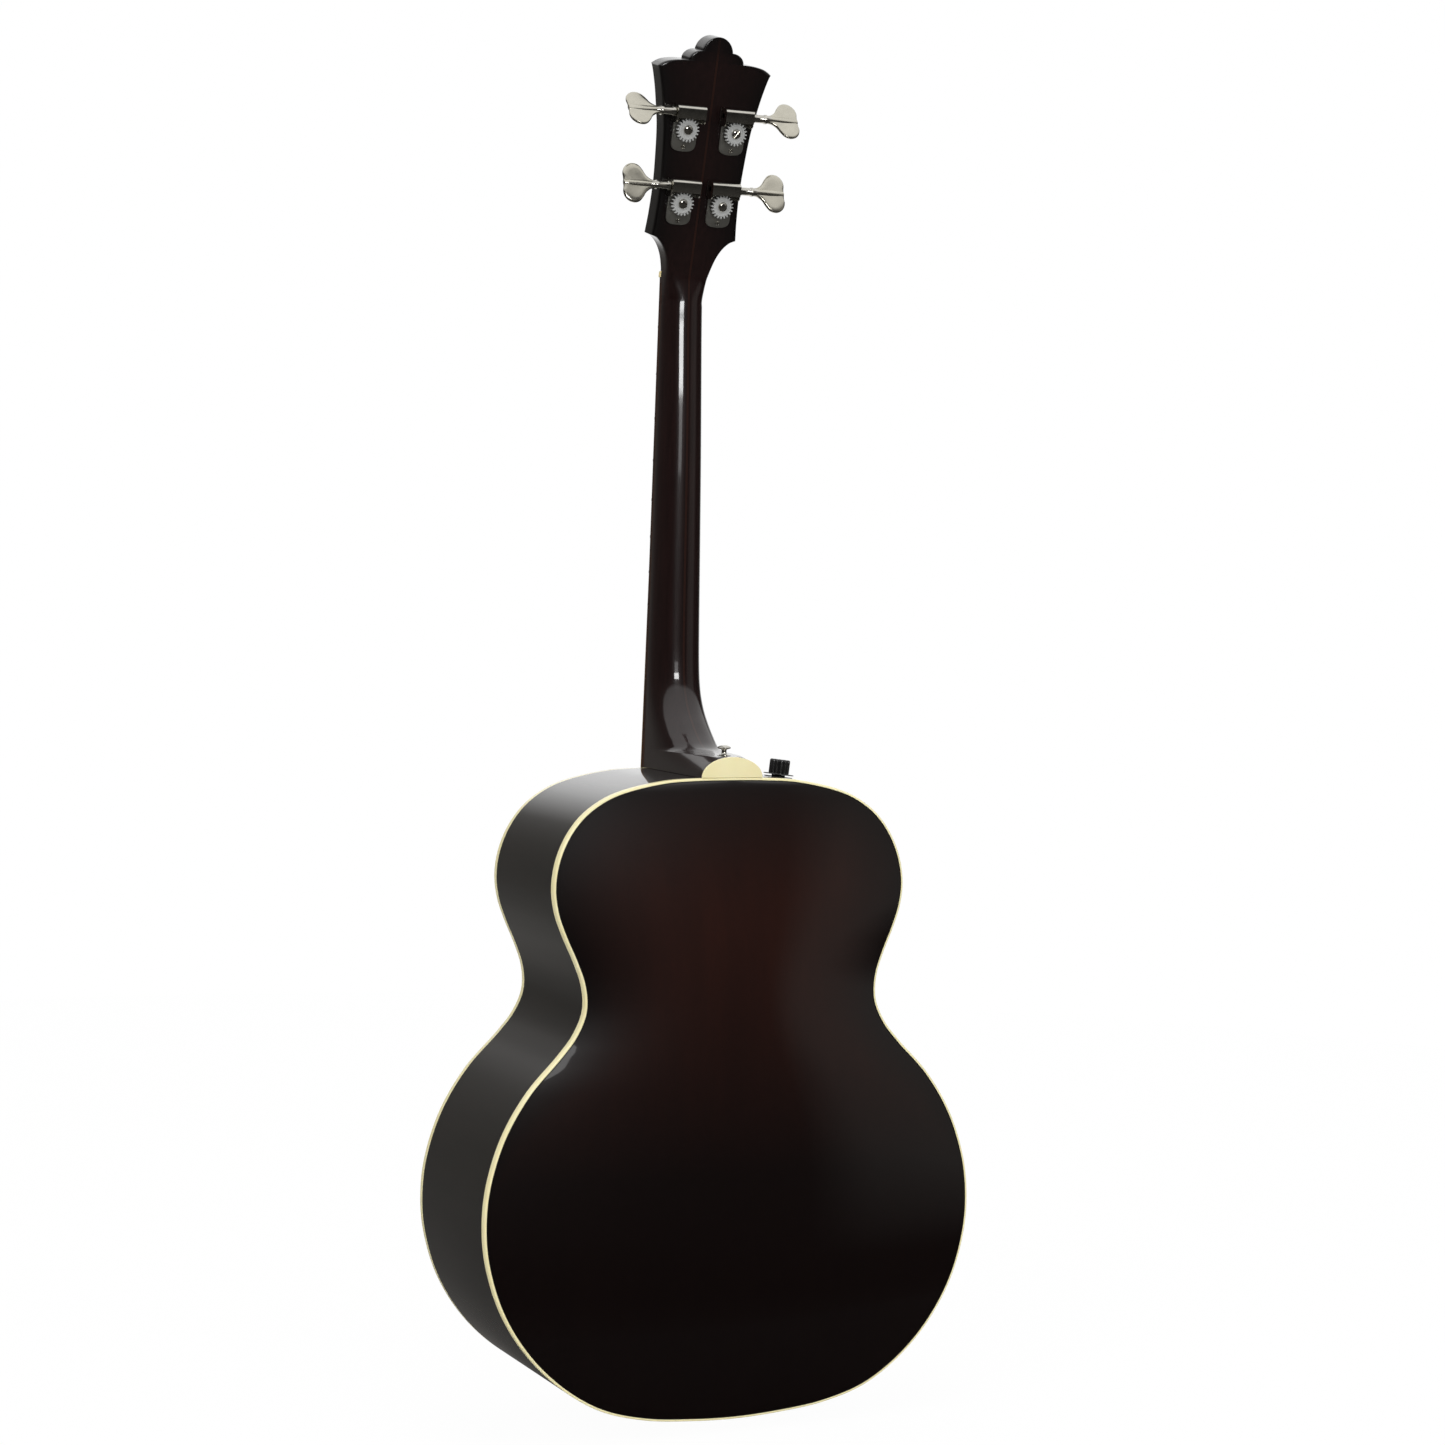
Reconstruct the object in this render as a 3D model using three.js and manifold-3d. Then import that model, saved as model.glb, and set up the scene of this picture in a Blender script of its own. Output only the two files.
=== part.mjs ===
// Acoustic bass guitar, built as separate pieces in one frame, in millimetres.
// +Z runs up the neck, the soundboard faces -Y, the back faces +Y and the treble side is +X.
// The origin is the centre of the end pin's outer face. Inside the instrument group y = 0 is the
// soundboard's outer plane and z = 0 is the tail end of the rim.
import * as THREE from 'three';
import { mergeVertices } from 'three/addons/utils/BufferGeometryUtils.js';
import Module from 'manifold-3d';

const wasm = await Module();
wasm.setup();

// Fits
const seam = 0.3; // gap between pieces that touch
const overrun = 4; // how far a cutting solid passes what it cuts
const quarterTurn = Math.PI / 2;
const fullTurn = 2 * Math.PI;

// Body box
const bodyLength = 544.4;
const bodyHalfWidth = 227.5;
const tailDepth = 167.7;
const neckEndDepth = 132.5;
const backArch = 14;
const archFlatness = 4; // power of the arch along the length
const soundboardThickness = 3.2;
const backThickness = 3;
const sideThickness = 2.6;
const bindingWidth = 1.8;
const bindingDepth = 6.5;
const liningWidth = 6.5;
const liningHeight = 15;
const soundHoleRadius = 50;
const rimSteps = 30; // stretches along half the outline
const rimSamplesPerStep = 24;
const bendWeight = 110; // length that counts as much as one radian of bend
const backStrips = 6; // strips across the back
const holeSides = 24;
const smallHoleSides = 8;

// Half outline from the tail to the neck end, as shares of the half width and of the length
const outlineShares = [
  [0, 0], [0.1846, 0.0031], [0.3692, 0.0116], [0.5468, 0.0327], [0.7046, 0.0735], [0.8356, 0.1284],
  [0.9327, 0.1943], [0.9881, 0.2682], [1, 0.3252], [0.9851, 0.3839], [0.9262, 0.4574],
  [0.8273, 0.5233], [0.6998, 0.5792], [0.6409, 0.6095], [0.6044, 0.6449], [0.6079, 0.6824],
  [0.6396, 0.7201], [0.68, 0.757], [0.7121, 0.7934], [0.7244, 0.831], [0.7112, 0.8701],
  [0.6743, 0.9074], [0.6171, 0.9394], [0.5433, 0.9631], [0.4585, 0.9792], [0.2774, 0.9956],
  [0.1385, 0.9993], [0, 1],
];

// Blocks and braces
const blockHalfWidth = 38;
const neckBlockLength = 74;
const tailBlockLength = 24;
const graftHalfWidth = 11; // the strip of the tail block that shows between the sides' ends
const braceWidth = 8;
const braceHeight = 15;
const braceEndHeight = 5;
const braceTaperLength = 45;
const crossingRise = 91.6; // from the saddle to where the two long braces cross
const crossLegShare = 0.93; // how far a long brace runs towards the lining below
const crossArmShare = 0.88; // and above
const braceEndClearance = 3;
const backBraceShares = [0.1478, 0.4055, 0.6743, 0.9588]; // of the way from block to block
const toneBarShares = [[-0.49, 0.62], [0.42, 0.42]]; // of the half width and of the saddle's height
const bridgePlateHalfWidth = 62;
const bridgePlateLength = 44;
const bridgePlateThickness = 3;

// Neck
const scaleLength = 781;
const bodyJointFret = 14;
const fretCount = 20;
const fretAt = (fret) => scaleLength * (1 - 2 ** (-fret / 12)); // from the nut
const nutHeight = bodyLength + fretAt(bodyJointFret);
const neckLength = nutHeight - bodyLength;
const neckSetback = 3.3; // how far the nut end lies behind the body joint
const boardHalfWidthAtNut = 18.5;
const boardHalfWidthAtBody = 24.2;
const boardThickness = 6;
const boardRadius = 305;
const boardEnd = 10; // past the last fret
const boardLength = fretAt(fretCount) + boardEnd;
const fretWidth = 2.4;
const fretCrownWidth = 1.2;
const fretHeight = 1.1;
const fretTang = 0.6;
const neckPoints = 12; // stretches round a neck section
const sectionPower = 2.3; // roundness of the shaft: 2 is an ellipse

const neckDepthAtNut = 17.6; // behind the fingerboard

// The neck's back line and roundness: [share of the way from the heel's ledge to the nut, share of
// the depth from the shaft to the heel, power]
const neckShares = [
  [0, 0.9434, 2.3], [0.001, 0.8042, 2.4], [0.0034, 0.6301, 2.6], [0.0077, 0.517, 2.8],
  [0.0154, 0.4474, 3], [0.0286, 0.3777, 3.1], [0.0419, 0.322, 3.05], [0.0587, 0.2628, 2.9],
  [0.078, 0.2019, 2.75], [0.0972, 0.1567, 2.6], [0.1189, 0.1218, 2.45], [0.1454, 0.0957, 2.35],
  [0.1863, 0.0766, sectionPower], [0.2585, 0.0644, sectionPower], [0.439, 0.0522, sectionPower],
  [0.6436, 0.0366, sectionPower], [0.788, 0.0174, sectionPower], [0.8842, 0, sectionPower],
  [0.9396, 0, sectionPower],
];

// Heel
const capHalfWidth = 28.5;
const capLength = 18;
const capShares = [0, 0.3, 0.55, 0.75, 0.88, 0.96]; // of its length, where the heel has a section
const ledgeDrop = 0.4; // how far the heel's ledge lies below the cap's tip
const capThickness = 2;
const heelPower = 4; // squareness of the heel at the body
const ledgePower = 2.3; // and at its top edge
const headPower = 12; // and of the last section before the headstock
const tenonHalfWidth = 14;
const tenonLength = 18;
const tenonFront = bindingDepth + seam;
const tenonCover = 20.5; // what the heel keeps behind its tenon
const tenonBack = neckEndDepth - tenonCover;

// Headstock, in its own frame: x across, y towards the back, z along it from the nut line
const headTilt = 14.55 * Math.PI / 180;
const headSetback = 0.55;
const headBack = 20.17;
const headFront = 4.2;
const veneerThickness = 2;
const headTransition = 5.5; // where the headstock's own faces begin
const headHalfWidth = 53.8;
const headLength = 212.2;
const crownRadiusPoints = 8;

// Half outline of the headstock from the lower corner to the crown, as shares of half width and length
const headOutlineShares = [
  [0.752, 0.1817], [0.728, 0.257], [0.713, 0.3795], [0.73, 0.4878], [0.774, 0.6243], [0.828, 0.7015],
  [0.903, 0.7915], [0.986, 0.862], [1, 0.8665], [0.931, 0.8785], [0.85, 0.888], [0.677, 0.8965],
  [0.485, 0.8985],
];
const shoulderShare = [0.485, 0.8985]; // outer end of the shoulder lobe
const lobeShare = [0.272, 0.9405]; // where the shoulder lobe meets the crown lobe
// Half outline from the shaft to the lower corner: [share of the way out, share of the way up]
const flareShares = [
  [0.01, 0.16], [0.045, 0.34], [0.12, 0.54], [0.26, 0.72], [0.48, 0.865], [0.75, 0.96], [1, 1],
];
const flareStart = -22;

// Truss rod
const rodRadius = 2.6;
const rodDepth = 8.5; // behind the fingerboard's plane
const channelHalfWidth = 3.2;
const channelDepth = 12;
const channelStart = 12; // above the body joint
const pocketHalfWidth = 5.5;
const pocketLength = 26;
const trussNutRadius = 3.9;
const trussNutLength = 10;
const trussNutStart = 7; // above the nut line
const coverThickness = 1.8;
const coverHalfWidth = 11;
const coverLength = 34;
const coverStart = 8;
const coverTipShare = 0.9; // where its round end begins

// Nut and strings
const nutThickness = 5.2;
const nutRise = 2.6; // how far the nut stands past the fingerboard
const stringRadii = [1.3, 1.08, 0.83, 0.57];
const stringHalfSpreadAtNut = 15;
const stringHalfSpreadAtBridge = 28.5;
const stringLiftAtNut = 1.6; // lowest side of a string above the board
const stringLiftAtSaddle = 13.6; // lowest side of a string in front of the soundboard
const stringSides = 6;
const stepsPerTurn = 16;
const windingGap = 0.5;
const stringNearShare = 0.01; // of the string's length, the next point beside the nut or the saddle
const stringTuckShare = 0.6; // of the way up from inside the bridge
const stringRiseShare = 0.6; // of its radius, how much lower it lies just before the saddle
const stringRunShares = [0.06, 0.7]; // of the way from the nut to the post

// Bridge
const saddleCompensation = 1.9; // how much the strings shorten against the scale
const saddleHeight = nutHeight - scaleLength + saddleCompensation;
const saddleSlant = 2.2;
const saddleHalfLength = 39;
const saddleThickness = 3;
const saddleSeatDepth = 4.5;
const bridgeHalfWidth = 82;
const bridgeLength = 40;
const bridgeThickness = 9;
const bridgeWingThickness = 4;
const bridgeAboveSaddle = 12;
const bridgeWingStart = 46;
const bridgeChamfer = 1.2;
// The bridge's outline from an end inwards: [share of its half width, share of its length each way]
const bridgeShares = [[1, 0.34], [0.985, 0.42], [0.62, 0.5]];
const pinSetback = 17; // from the saddle to the pins
const pinRadius = 2.7;
const pinHeadRadius = 4.1;
const pinHeadHeight = 2.6;
const pinLength = 20;
const pinTaperShare = 0.85; // of a pin's radius, at its lower end
const pinHeadShares = [[0, 1], [0.7, 0.8], [1, 0.3], [0.8, 0]]; // of the head's radius and height
const stringTuckLength = 6.5;

// Places on the soundboard that follow the neck and the bridge
const soundHoleGap = 7.5; // from the fingerboard's end to the hole
const soundHoleHeight = nutHeight - boardLength - soundHoleGap - soundHoleRadius;
const crossingHeight = saddleHeight + crossingRise;
const transverseHeight = (soundHoleHeight + soundHoleRadius + bodyLength - neckBlockLength) / 2;

// Pickguard, as shares of its length from its lowest point
const pickguardThickness = 1.6;
const pickguardAcross = 38;
const pickguardGap = 31.6; // from the bridge to its lowest point
const pickguardRise = 17; // from the sound hole's centre to its highest point
const pickguardFoot = saddleHeight + bridgeAboveSaddle + pickguardGap;
const pickguardLength = soundHoleHeight + pickguardRise - pickguardFoot;
const pickguardShares = [
  [0.02, 0.1], [0.2, 0], [0.42, 0.05], [0.58, 0.22], [0.62, 0.45], [0.55, 0.7], [0.44, 0.9],
  [0.33, 0.98], [0.24, 0.97], [0.3, 0.82], [0.27, 0.68], [0.15, 0.58], [0.03, 0.54],
];

// End pin with the output socket
const pinHeadLength = 12;
const pinFlangeRadius = 8.2;
const pinWaistRadius = 5.6;
const pinFlangeThickness = 2.6;
const pinBarrelRadius = 6;
const pinBarrelLength = 48;
const socketRadius = 3.3;
const socketDepth = 34;
const roundSides = 16;

// Strap button
const buttonDepthShare = 0.8604; // of the heel's depth
const buttonDepth = neckEndDepth * buttonDepthShare;
const buttonSink = 0.6; // how far its seat lies below the cap's tip
const buttonSeat = capLength - buttonSink;
const buttonHeight = 9.5;
const buttonRadius = 5.8;
const buttonFootShare = 0.8; // of its radius, where it meets its seat
// Its waist and flange: [share of its radius, share of its height]
const buttonShares = [[0.5, 0.32], [0.5, 0.72], [1, 0.86], [0.9, 1], [0, 1]];
const buttonShank = 1.7;
const buttonShankLength = 16;

// Volume control on the bass shoulder
const potAcross = -62.7;
const potDepthShare = 0.7019; // of the body's depth at the neck
const potDepth = neckEndDepth * potDepthShare;
const potCanRadius = 8.5;
const potCanLength = 10;
const potBushingRadius = 3.4;
const potBushingLength = 5.4;
const potShaftRadius = 2.2;
const potShaftLength = 12;
const potWasherRadius = 12.3;
const potWasherThickness = 0.8;
const potNutRadius = 6;
const potNutThickness = 1.1;
const knobRadius = 9;
const knobFluteDepth = 0.8;
const knobHeight = 13.3;
const knobFlutes = 14;
const skirtRadius = 13.3;
const skirtThickness = 1;
const knobLift = 2.5; // from the rim to the skirt

// Tuners: [side, across, along, key twist in degrees, string, wound turns]
const tunerUpper = [22.8, 132.2];
const tunerLower = [19, 68.8];
const tunerPlaces = [
  { side: -1, place: tunerLower, twist: 27, turns: 1.25, level: -6.9 },
  { side: -1, place: tunerUpper, twist: 40, turns: 1.25, level: -12.6 },
  { side: 1, place: tunerUpper, twist: 48, turns: 1.5, level: -10 },
  { side: 1, place: tunerLower, twist: 24, turns: 1.75, level: -6 },
];
const gearTeeth = 20;
const gearRadius = 10.3; // pitch circle
const gearTipRadius = 10.8;
const gearRootRadius = 8.7;
const toothTipWidth = 0.9;
const gearThickness = 3;
const gearStand = 5.2; // from the headstock's back face to the gear
const screwHeadRadius = 4.2;
const screwHeadHeight = 2.2;
const wormPitch = fullTurn * gearRadius / gearTeeth;
const wormRadius = 4.4;
const wormTipRadius = 4.9;
const wormCoreRadius = 3.4;
const wormSink = 0.4; // how far the thread is rooted in its core
const wormHalfLength = 5.9;
const wormTurns = 3;
const wormSteps = 8;
const threadRootHalf = 0.8;
const postRadius = 6.35;
const postWaistRadius = 4.6;
const postTop = 19.6; // in front of the nut line's plane
const postTopFlange = 4;
const postWaistEnd = 1;
const postSides = 12;
const postFaceShare = 0.86; // of its radius, the flat of its end
const postNeckShare = 1.4; // of its flange, where the waist begins
const screwDomeShare = 0.8; // of the screw head, where its dome begins
const plateThickness = 1.2;
const plateHalfWidth = 11.6;
const plateBelow = 19.3;
const plateCornerRise = 3;
const plateFootShares = [0.9, 0.45]; // of its half width, the points of its pointed foot
const hoodHalfWidth = 13.4;
const hoodWall = 0.9;
const hoodBelow = 9; // from the shaft to the ears' lower edge
const hoodFaceBelow = 4.6; // from the shaft to the back face's lower edge
const hoodReach = 6.4;
const hoodRound = 3.2;
const journalRadius = 2.4;
const collarRadius = 4.05;
const collarLength = 14.4;
const keyLength = 30.4;
const keyHalfSpan = 17.4;
const keyThickness = 3.2;
const keySides = 8;
const bushingFlangeRadius = 10;
const bushingFlange = 1.5;
const bushingRadius = 8.7;
const bushingLength = 8;
// Half outline of a key from its stem outwards, as shares of its length and half span
const keyShares = [
  [0, 0.2], [0.12, 0.24], [0.27, 0.42], [0.38, 0.7], [0.5, 0.92], [0.65, 1], [0.81, 0.94],
  [0.94, 0.74], [0.99, 0.48], [0.975, 0.24],
];

const finishes = {
  back: { color: 0x1c0e0b, roughness: 0.12, metalness: 0 },
  side: { color: 0x120f0d, roughness: 0.16, metalness: 0 },
  top: { color: 0x8a4a1c, roughness: 0.2, metalness: 0 },
  binding: { color: 0xe6dca8, roughness: 0.35, metalness: 0 },
  inside: { color: 0xb98f5e, roughness: 0.8, metalness: 0 },
  neck: { color: 0x1d100d, roughness: 0.12, metalness: 0 },
  ebony: { color: 0x14100e, roughness: 0.5, metalness: 0 },
  bone: { color: 0xe8dcb0, roughness: 0.4, metalness: 0 },
  chrome: { color: 0xd8d6cf, roughness: 0.12, metalness: 1 },
  gear: { color: 0xb8b9b8, roughness: 0.35, metalness: 1 },
  steel: { color: 0x9a9a98, roughness: 0.35, metalness: 1 },
  black: { color: 0x0c0c0d, roughness: 0.4, metalness: 0 },
  bronze: { color: 0xb08d57, roughness: 0.4, metalness: 1 },
};

const point = (x, y, z) => new THREE.Vector3(x, y, z);
const blend = THREE.MathUtils.lerp;

// A closed surface from loose points and triangles: doubles merged, slivers dropped, faces outwards
function closedSurface(points, triangles) {
  const raw = new THREE.BufferGeometry();
  raw.setAttribute('position', new THREE.Float32BufferAttribute(points.flatMap((p) => p.toArray()), 3));
  raw.setIndex(triangles.flat());
  const merged = mergeVertices(raw);
  const at = (i) => new THREE.Vector3().fromBufferAttribute(merged.attributes.position, i);
  const kept = [];
  let volume = 0;
  for (let i = 0; i < merged.index.count; i += 3) {
    const [a, b, c] = [0, 1, 2].map((k) => merged.index.getX(i + k));
    if (a === b || b === c || c === a) continue;
    kept.push([a, b, c]);
    volume += at(a).dot(at(b).cross(at(c)));
  }
  merged.setIndex((volume < 0 ? kept.map(([a, b, c]) => [a, c, b]) : kept).flat());
  return merged;
}

// Joins sections of equal count, each a closed ring, and caps the two ends unless the sweep is closed
function sweep(sections, closed = false) {
  const count = sections[0].length;
  const triangles = [];
  const spans = closed ? sections.length : sections.length - 1;
  for (let s = 0; s < spans; s += 1) {
    const here = s * count;
    const next = ((s + 1) % sections.length) * count;
    for (let i = 0; i < count; i += 1) {
      const j = (i + 1) % count;
      triangles.push([here + i, here + j, next + j], [here + i, next + j, next + i]);
    }
  }
  if (!closed) {
    const last = (sections.length - 1) * count;
    for (let i = 1; i < count - 1; i += 1) {
      triangles.push([0, i + 1, i], [last, last + i, last + i + 1]);
    }
  }
  return closedSurface(sections.flat(), triangles);
}

function toSolid(geometry) {
  const bare = geometry.index ? geometry.toNonIndexed() : geometry.clone();
  bare.deleteAttribute('normal');
  bare.deleteAttribute('uv');
  const merged = mergeVertices(bare);
  const solid = new wasm.Manifold(new wasm.Mesh({
    numProp: 3,
    vertProperties: merged.attributes.position.array,
    triVerts: new Uint32Array(merged.index.array),
  }));
  return solid;
}

function fromSolid(solid) {
  const mesh = solid.getMesh();
  const geometry = new THREE.BufferGeometry();
  geometry.setAttribute('position', new THREE.Float32BufferAttribute(mesh.vertProperties, 3));
  geometry.setIndex(Array.from(mesh.triVerts));
  return geometry;
}

const joined = (...parts) => fromSolid(parts.map(toSolid).reduce((a, b) => a.add(b)));
const cut = (body, ...tools) => fromSolid(
  tools.map(toSolid).reduce((a, b) => a.subtract(b), toSolid(body)),
);

// An outline in x and z, extruded along y
function slab(outline, from, to, holes = []) {
  const shape = new THREE.Shape(outline);
  shape.holes = holes.map((hole) => new THREE.Path(hole));
  const geometry = new THREE.ExtrudeGeometry(shape, { depth: to - from, bevelEnabled: false });
  return geometry.rotateX(quarterTurn).translate(0, to, 0);
}

// An outline in y and z, extruded along x
function slabAcross(outline, from, to) {
  const options = { depth: to - from, bevelEnabled: false };
  const geometry = new THREE.ExtrudeGeometry(new THREE.Shape(outline), options);
  const turn = new THREE.Matrix4().makeBasis(point(0, 1, 0), point(0, 0, 1), point(1, 0, 0));
  return geometry.applyMatrix4(turn).translate(from, 0, 0);
}

function box(x0, x1, y0, y1, z0, z1) {
  const geometry = new THREE.BoxGeometry(x1 - x0, y1 - y0, z1 - z0);
  return geometry.translate((x0 + x1) / 2, (y0 + y1) / 2, (z0 + z1) / 2);
}

function circle(x, z, radius, sides) {
  return Array.from({ length: sides }, (_, i) => new THREE.Vector2(
    x + radius * Math.cos(fullTurn * i / sides),
    z + radius * Math.sin(fullTurn * i / sides),
  ));
}

// A turned solid about the y axis from [radius, height] pairs; it closes on the axis or on itself
function turned(profile, sides) {
  const ring = profile.map(([r, h]) => new THREE.Vector2(r, h));
  const geometry = new THREE.LatheGeometry(ring, sides);
  geometry.deleteAttribute('normal');
  geometry.deleteAttribute('uv');
  const points = [];
  const triangles = [];
  for (let i = 0; i < geometry.attributes.position.count; i += 1) {
    points.push(new THREE.Vector3().fromBufferAttribute(geometry.attributes.position, i));
  }
  for (let i = 0; i < geometry.index.count; i += 3) {
    triangles.push([0, 1, 2].map((k) => geometry.index.getX(i + k)));
  }
  return closedSurface(points, triangles);
}

const upright = (geometry) => geometry.rotateX(quarterTurn); // y axis to z axis
const outwards = (geometry, side) => geometry.rotateZ(-side * quarterTurn); // y axis to the side's x axis

// A tube along a list of points, its section carried along without twist
function tube(path, radius, sides) {
  const directions = path.map((p, i) => {
    const before = path[Math.max(i - 1, 0)];
    const after = path[Math.min(i + 1, path.length - 1)];
    return after.clone().sub(before).normalize();
  });
  let across = point(1, 0, 0).projectOnPlane(directions[0]).normalize();
  const sections = path.map((p, i) => {
    across = across.clone().projectOnPlane(directions[i]).normalize();
    const other = directions[i].clone().cross(across);
    return Array.from({ length: sides }, (_, k) => {
      const angle = fullTurn * k / sides;
      return p.clone().addScaledVector(across, radius * Math.cos(angle))
        .addScaledVector(other, radius * Math.sin(angle));
    });
  });
  return sweep(sections);
}

const instrument = new THREE.Group();
const headstock = new THREE.Group();
headstock.position.set(0, headSetback, nutHeight);
headstock.rotation.x = -headTilt;
headstock.updateMatrix();
instrument.add(headstock);

function add(group, name, geometry, finish) {
  const shown = geometry.index ? geometry.toNonIndexed() : geometry;
  shown.computeVertexNormals();
  const mesh = new THREE.Mesh(shown, new THREE.MeshStandardMaterial(finishes[finish]));
  mesh.name = name;
  group.add(mesh);
  return mesh;
}

// The rim's outline and its insets
function makeRim() {
  const half = outlineShares.map(([x, z]) => point(x * bodyHalfWidth, 0, z * bodyLength));
  const mirrored = half.slice(1, -1).reverse().map((p) => point(-p.x, 0, p.z));
  const curve = new THREE.CatmullRomCurve3([...half, ...mirrored], true, 'centripetal');
  // points stand closer where the outline bends more: equal shares of length plus turning
  const samples = rimSteps * rimSamplesPerStep;
  curve.arcLengthDivisions = samples * 2;
  const spots = Array.from({ length: samples + 1 }, (_, i) => curve.getPointAt(i / samples / 2));
  const headings = spots.map((_, i) => curve.getTangentAt(i / samples / 2));
  const stepLength = spots[0].distanceTo(spots[1]);
  const weights = [0];
  headings.slice(1).forEach((heading, i) => {
    weights.push(weights.at(-1) + stepLength + bendWeight * heading.angleTo(headings[i]));
  });
  const right = Array.from({ length: rimSteps + 1 }, (_, i) => {
    const spot = weights.findIndex((w) => w >= weights.at(-1) * i / rimSteps - seam / samples);
    return new THREE.Vector2(i % rimSteps === 0 ? 0 : spots[spot].x, spots[spot].z);
  });
  const left = right.slice(1, -1).reverse().map((p) => new THREE.Vector2(-p.x, p.y));
  return [...right, ...left];
}
const rim = makeRim();
const rimNormals = rim.map((p, i) => {
  const along = rim[(i + 1) % rim.length].clone().sub(rim.at(i - 1)).normalize();
  return new THREE.Vector2(along.y, -along.x);
});
const rimInset = (inset) => rim.map((p, i) => p.clone().addScaledVector(rimNormals[i], -inset));
const backPlane = (z) => blend(tailDepth, neckEndDepth, z / bodyLength);

// Half width of the body at a height, inside an inset
function halfWidthAt(z, inset = 0) {
  const side = rimInset(inset).slice(0, rimSteps + 1);
  for (let i = 0; i < rimSteps; i += 1) {
    const [a, b] = [side[i], side[i + 1]];
    if (z >= a.y && z <= b.y) return blend(a.x, b.x, (z - a.y) / (b.y - a.y));
  }
  return 0;
}

// Height of the back's outer face behind the rim's plane
function archAt(acrossShare, z) {
  const along = 1 - Math.abs(2 * z / bodyLength - 1) ** archFlatness;
  return backArch * (1 - acrossShare ** 2) * Math.max(along, 0);
}

const innerRim = sideThickness + seam;
const liningInner = innerRim + liningWidth;
const backUnderside = (z) => backPlane(z) - backThickness - seam;

// A band that follows the rim between two insets, from one depth to another
function rimBand(outer, inner, front, back, closed = true) {
  const outside = rimInset(outer);
  const inside = rimInset(inner);
  const sections = outside.map((o, i) => {
    const n = inside[i];
    return [
      point(o.x, front(o.y), o.y), point(o.x, back(o.y), o.y),
      point(n.x, back(n.y), n.y), point(n.x, front(n.y), n.y),
    ];
  });
  return sweep(closed ? sections : sections.slice(0, rimSteps + 1), closed);
}

// Half of the rim with square ends a little off the centre line
function sideHalf(side) {
  const sections = [];
  const outside = rimInset(0);
  const inside = rimInset(sideThickness);
  const front = bindingDepth + seam;
  for (let i = 0; i <= rimSteps; i += 1) {
    const end = i % rimSteps === 0;
    const [o, n] = [outside[i], inside[i]];
    const x = (p) => side * (end ? seam / 2 : p.x);
    const back = (z) => backPlane(z) - bindingDepth - seam;
    sections.push([
      point(x(o), front, o.y), point(x(o), back(o.y), o.y),
      point(x(n), back(n.y), n.y), point(x(n), front, n.y),
    ]);
  }
  return sweep(sections);
}

// Everything that passes through the rim: the tenon, the end pin's barrel and the control's bushing
const tenonTop = bodyLength + seam;
function tenon(gap = 0) {
  return box(
    -tenonHalfWidth - gap, tenonHalfWidth + gap, tenonFront - gap, tenonBack + gap,
    bodyLength - tenonLength - gap, tenonTop + (gap ? overrun : seam),
  );
}
const pinCentre = tailDepth / 2;
function pinBore(radius) {
  const length = pinBarrelLength + overrun;
  const bore = upright(new THREE.CylinderGeometry(radius, radius, length + overrun, roundSides));
  return bore.translate(0, pinCentre, (length - overrun) / 2);
}

// The control's axis stands square to the rim
const potOutward = new THREE.Group();
function potFrame() {
  const z = (x) => rim.slice(0, rimSteps + 1).reduce((best, p, i, side) => {
    const q = side[i + 1];
    const spans = q && p.x >= x && q.x < x && p.y > bodyLength / 2;
    return spans ? blend(q.y, p.y, (x - q.x) / (p.x - q.x)) : best;
  }, bodyLength);
  const x = Math.abs(potAcross);
  const slope = (z(x + potWasherRadius) - z(x - potWasherRadius)) / (2 * potWasherRadius);
  const lift = Math.max(
    z(x), ...[-1, 1].map((s) => z(x + s * potWasherRadius) - s * potWasherRadius * slope),
  );
  potOutward.position.set(potAcross, potDepth, lift);
  // the group's y axis points out of the rim
  const out = point(-Math.sin(Math.atan(-slope)), 0, Math.cos(Math.atan(slope)));
  potOutward.quaternion.setFromUnitVectors(point(0, 1, 0), out);
  potOutward.updateMatrix();
}
potFrame();
instrument.add(potOutward);

function buildBody() {
  const noFront = () => 0;
  const bindingInner = bindingWidth + seam / 2;
  const plateOutline = rimInset(bindingInner);
  const holes = pinPlaces.map(({ x, z }) => circle(x, z, pinRadius + seam, smallHoleSides));
  const soundHole = circle(0, soundHoleHeight, soundHoleRadius, holeSides);
  add(instrument, 'soundboard', slab(plateOutline, 0, soundboardThickness, [soundHole, ...holes]), 'top');
  add(instrument, 'back_plate', backPlate(plateOutline), 'back');
  add(instrument, 'top_binding', rimBand(0, bindingWidth, noFront, () => bindingDepth), 'binding');
  add(
    instrument, 'back_binding',
    rimBand(0, bindingWidth, (z) => backPlane(z) - bindingDepth, backPlane), 'binding',
  );
  const bushing = new THREE.CylinderGeometry(
    potBushingRadius + seam, potBushingRadius + seam, potBushingLength * 2, smallHoleSides,
  ).applyMatrix4(potOutward.matrix);
  for (const [name, side] of [['side_treble', 1], ['side_bass', -1]]) {
    const tools = [tenon(seam), graftSpace(graftHalfWidth + seam / 2)];
    if (side < 0) tools.push(bushing);
    add(instrument, name, cut(sideHalf(side), ...tools), 'side');
  }
  add(instrument, 'top_lining', cut(topLining(), tenon(seam)), 'inside');
  add(instrument, 'back_lining', backLining(), 'inside');
}

function topLining(gap = 0) {
  const front = soundboardThickness + seam - gap;
  const back = soundboardThickness + seam + liningHeight + gap;
  return rimBand(innerRim - gap, liningInner + gap, () => front, () => back);
}

function backLining(gap = 0) {
  const front = (z) => backUnderside(z) - liningHeight - gap;
  return rimBand(innerRim - gap, liningInner + gap, front, (z) => backUnderside(z) + gap);
}

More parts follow.
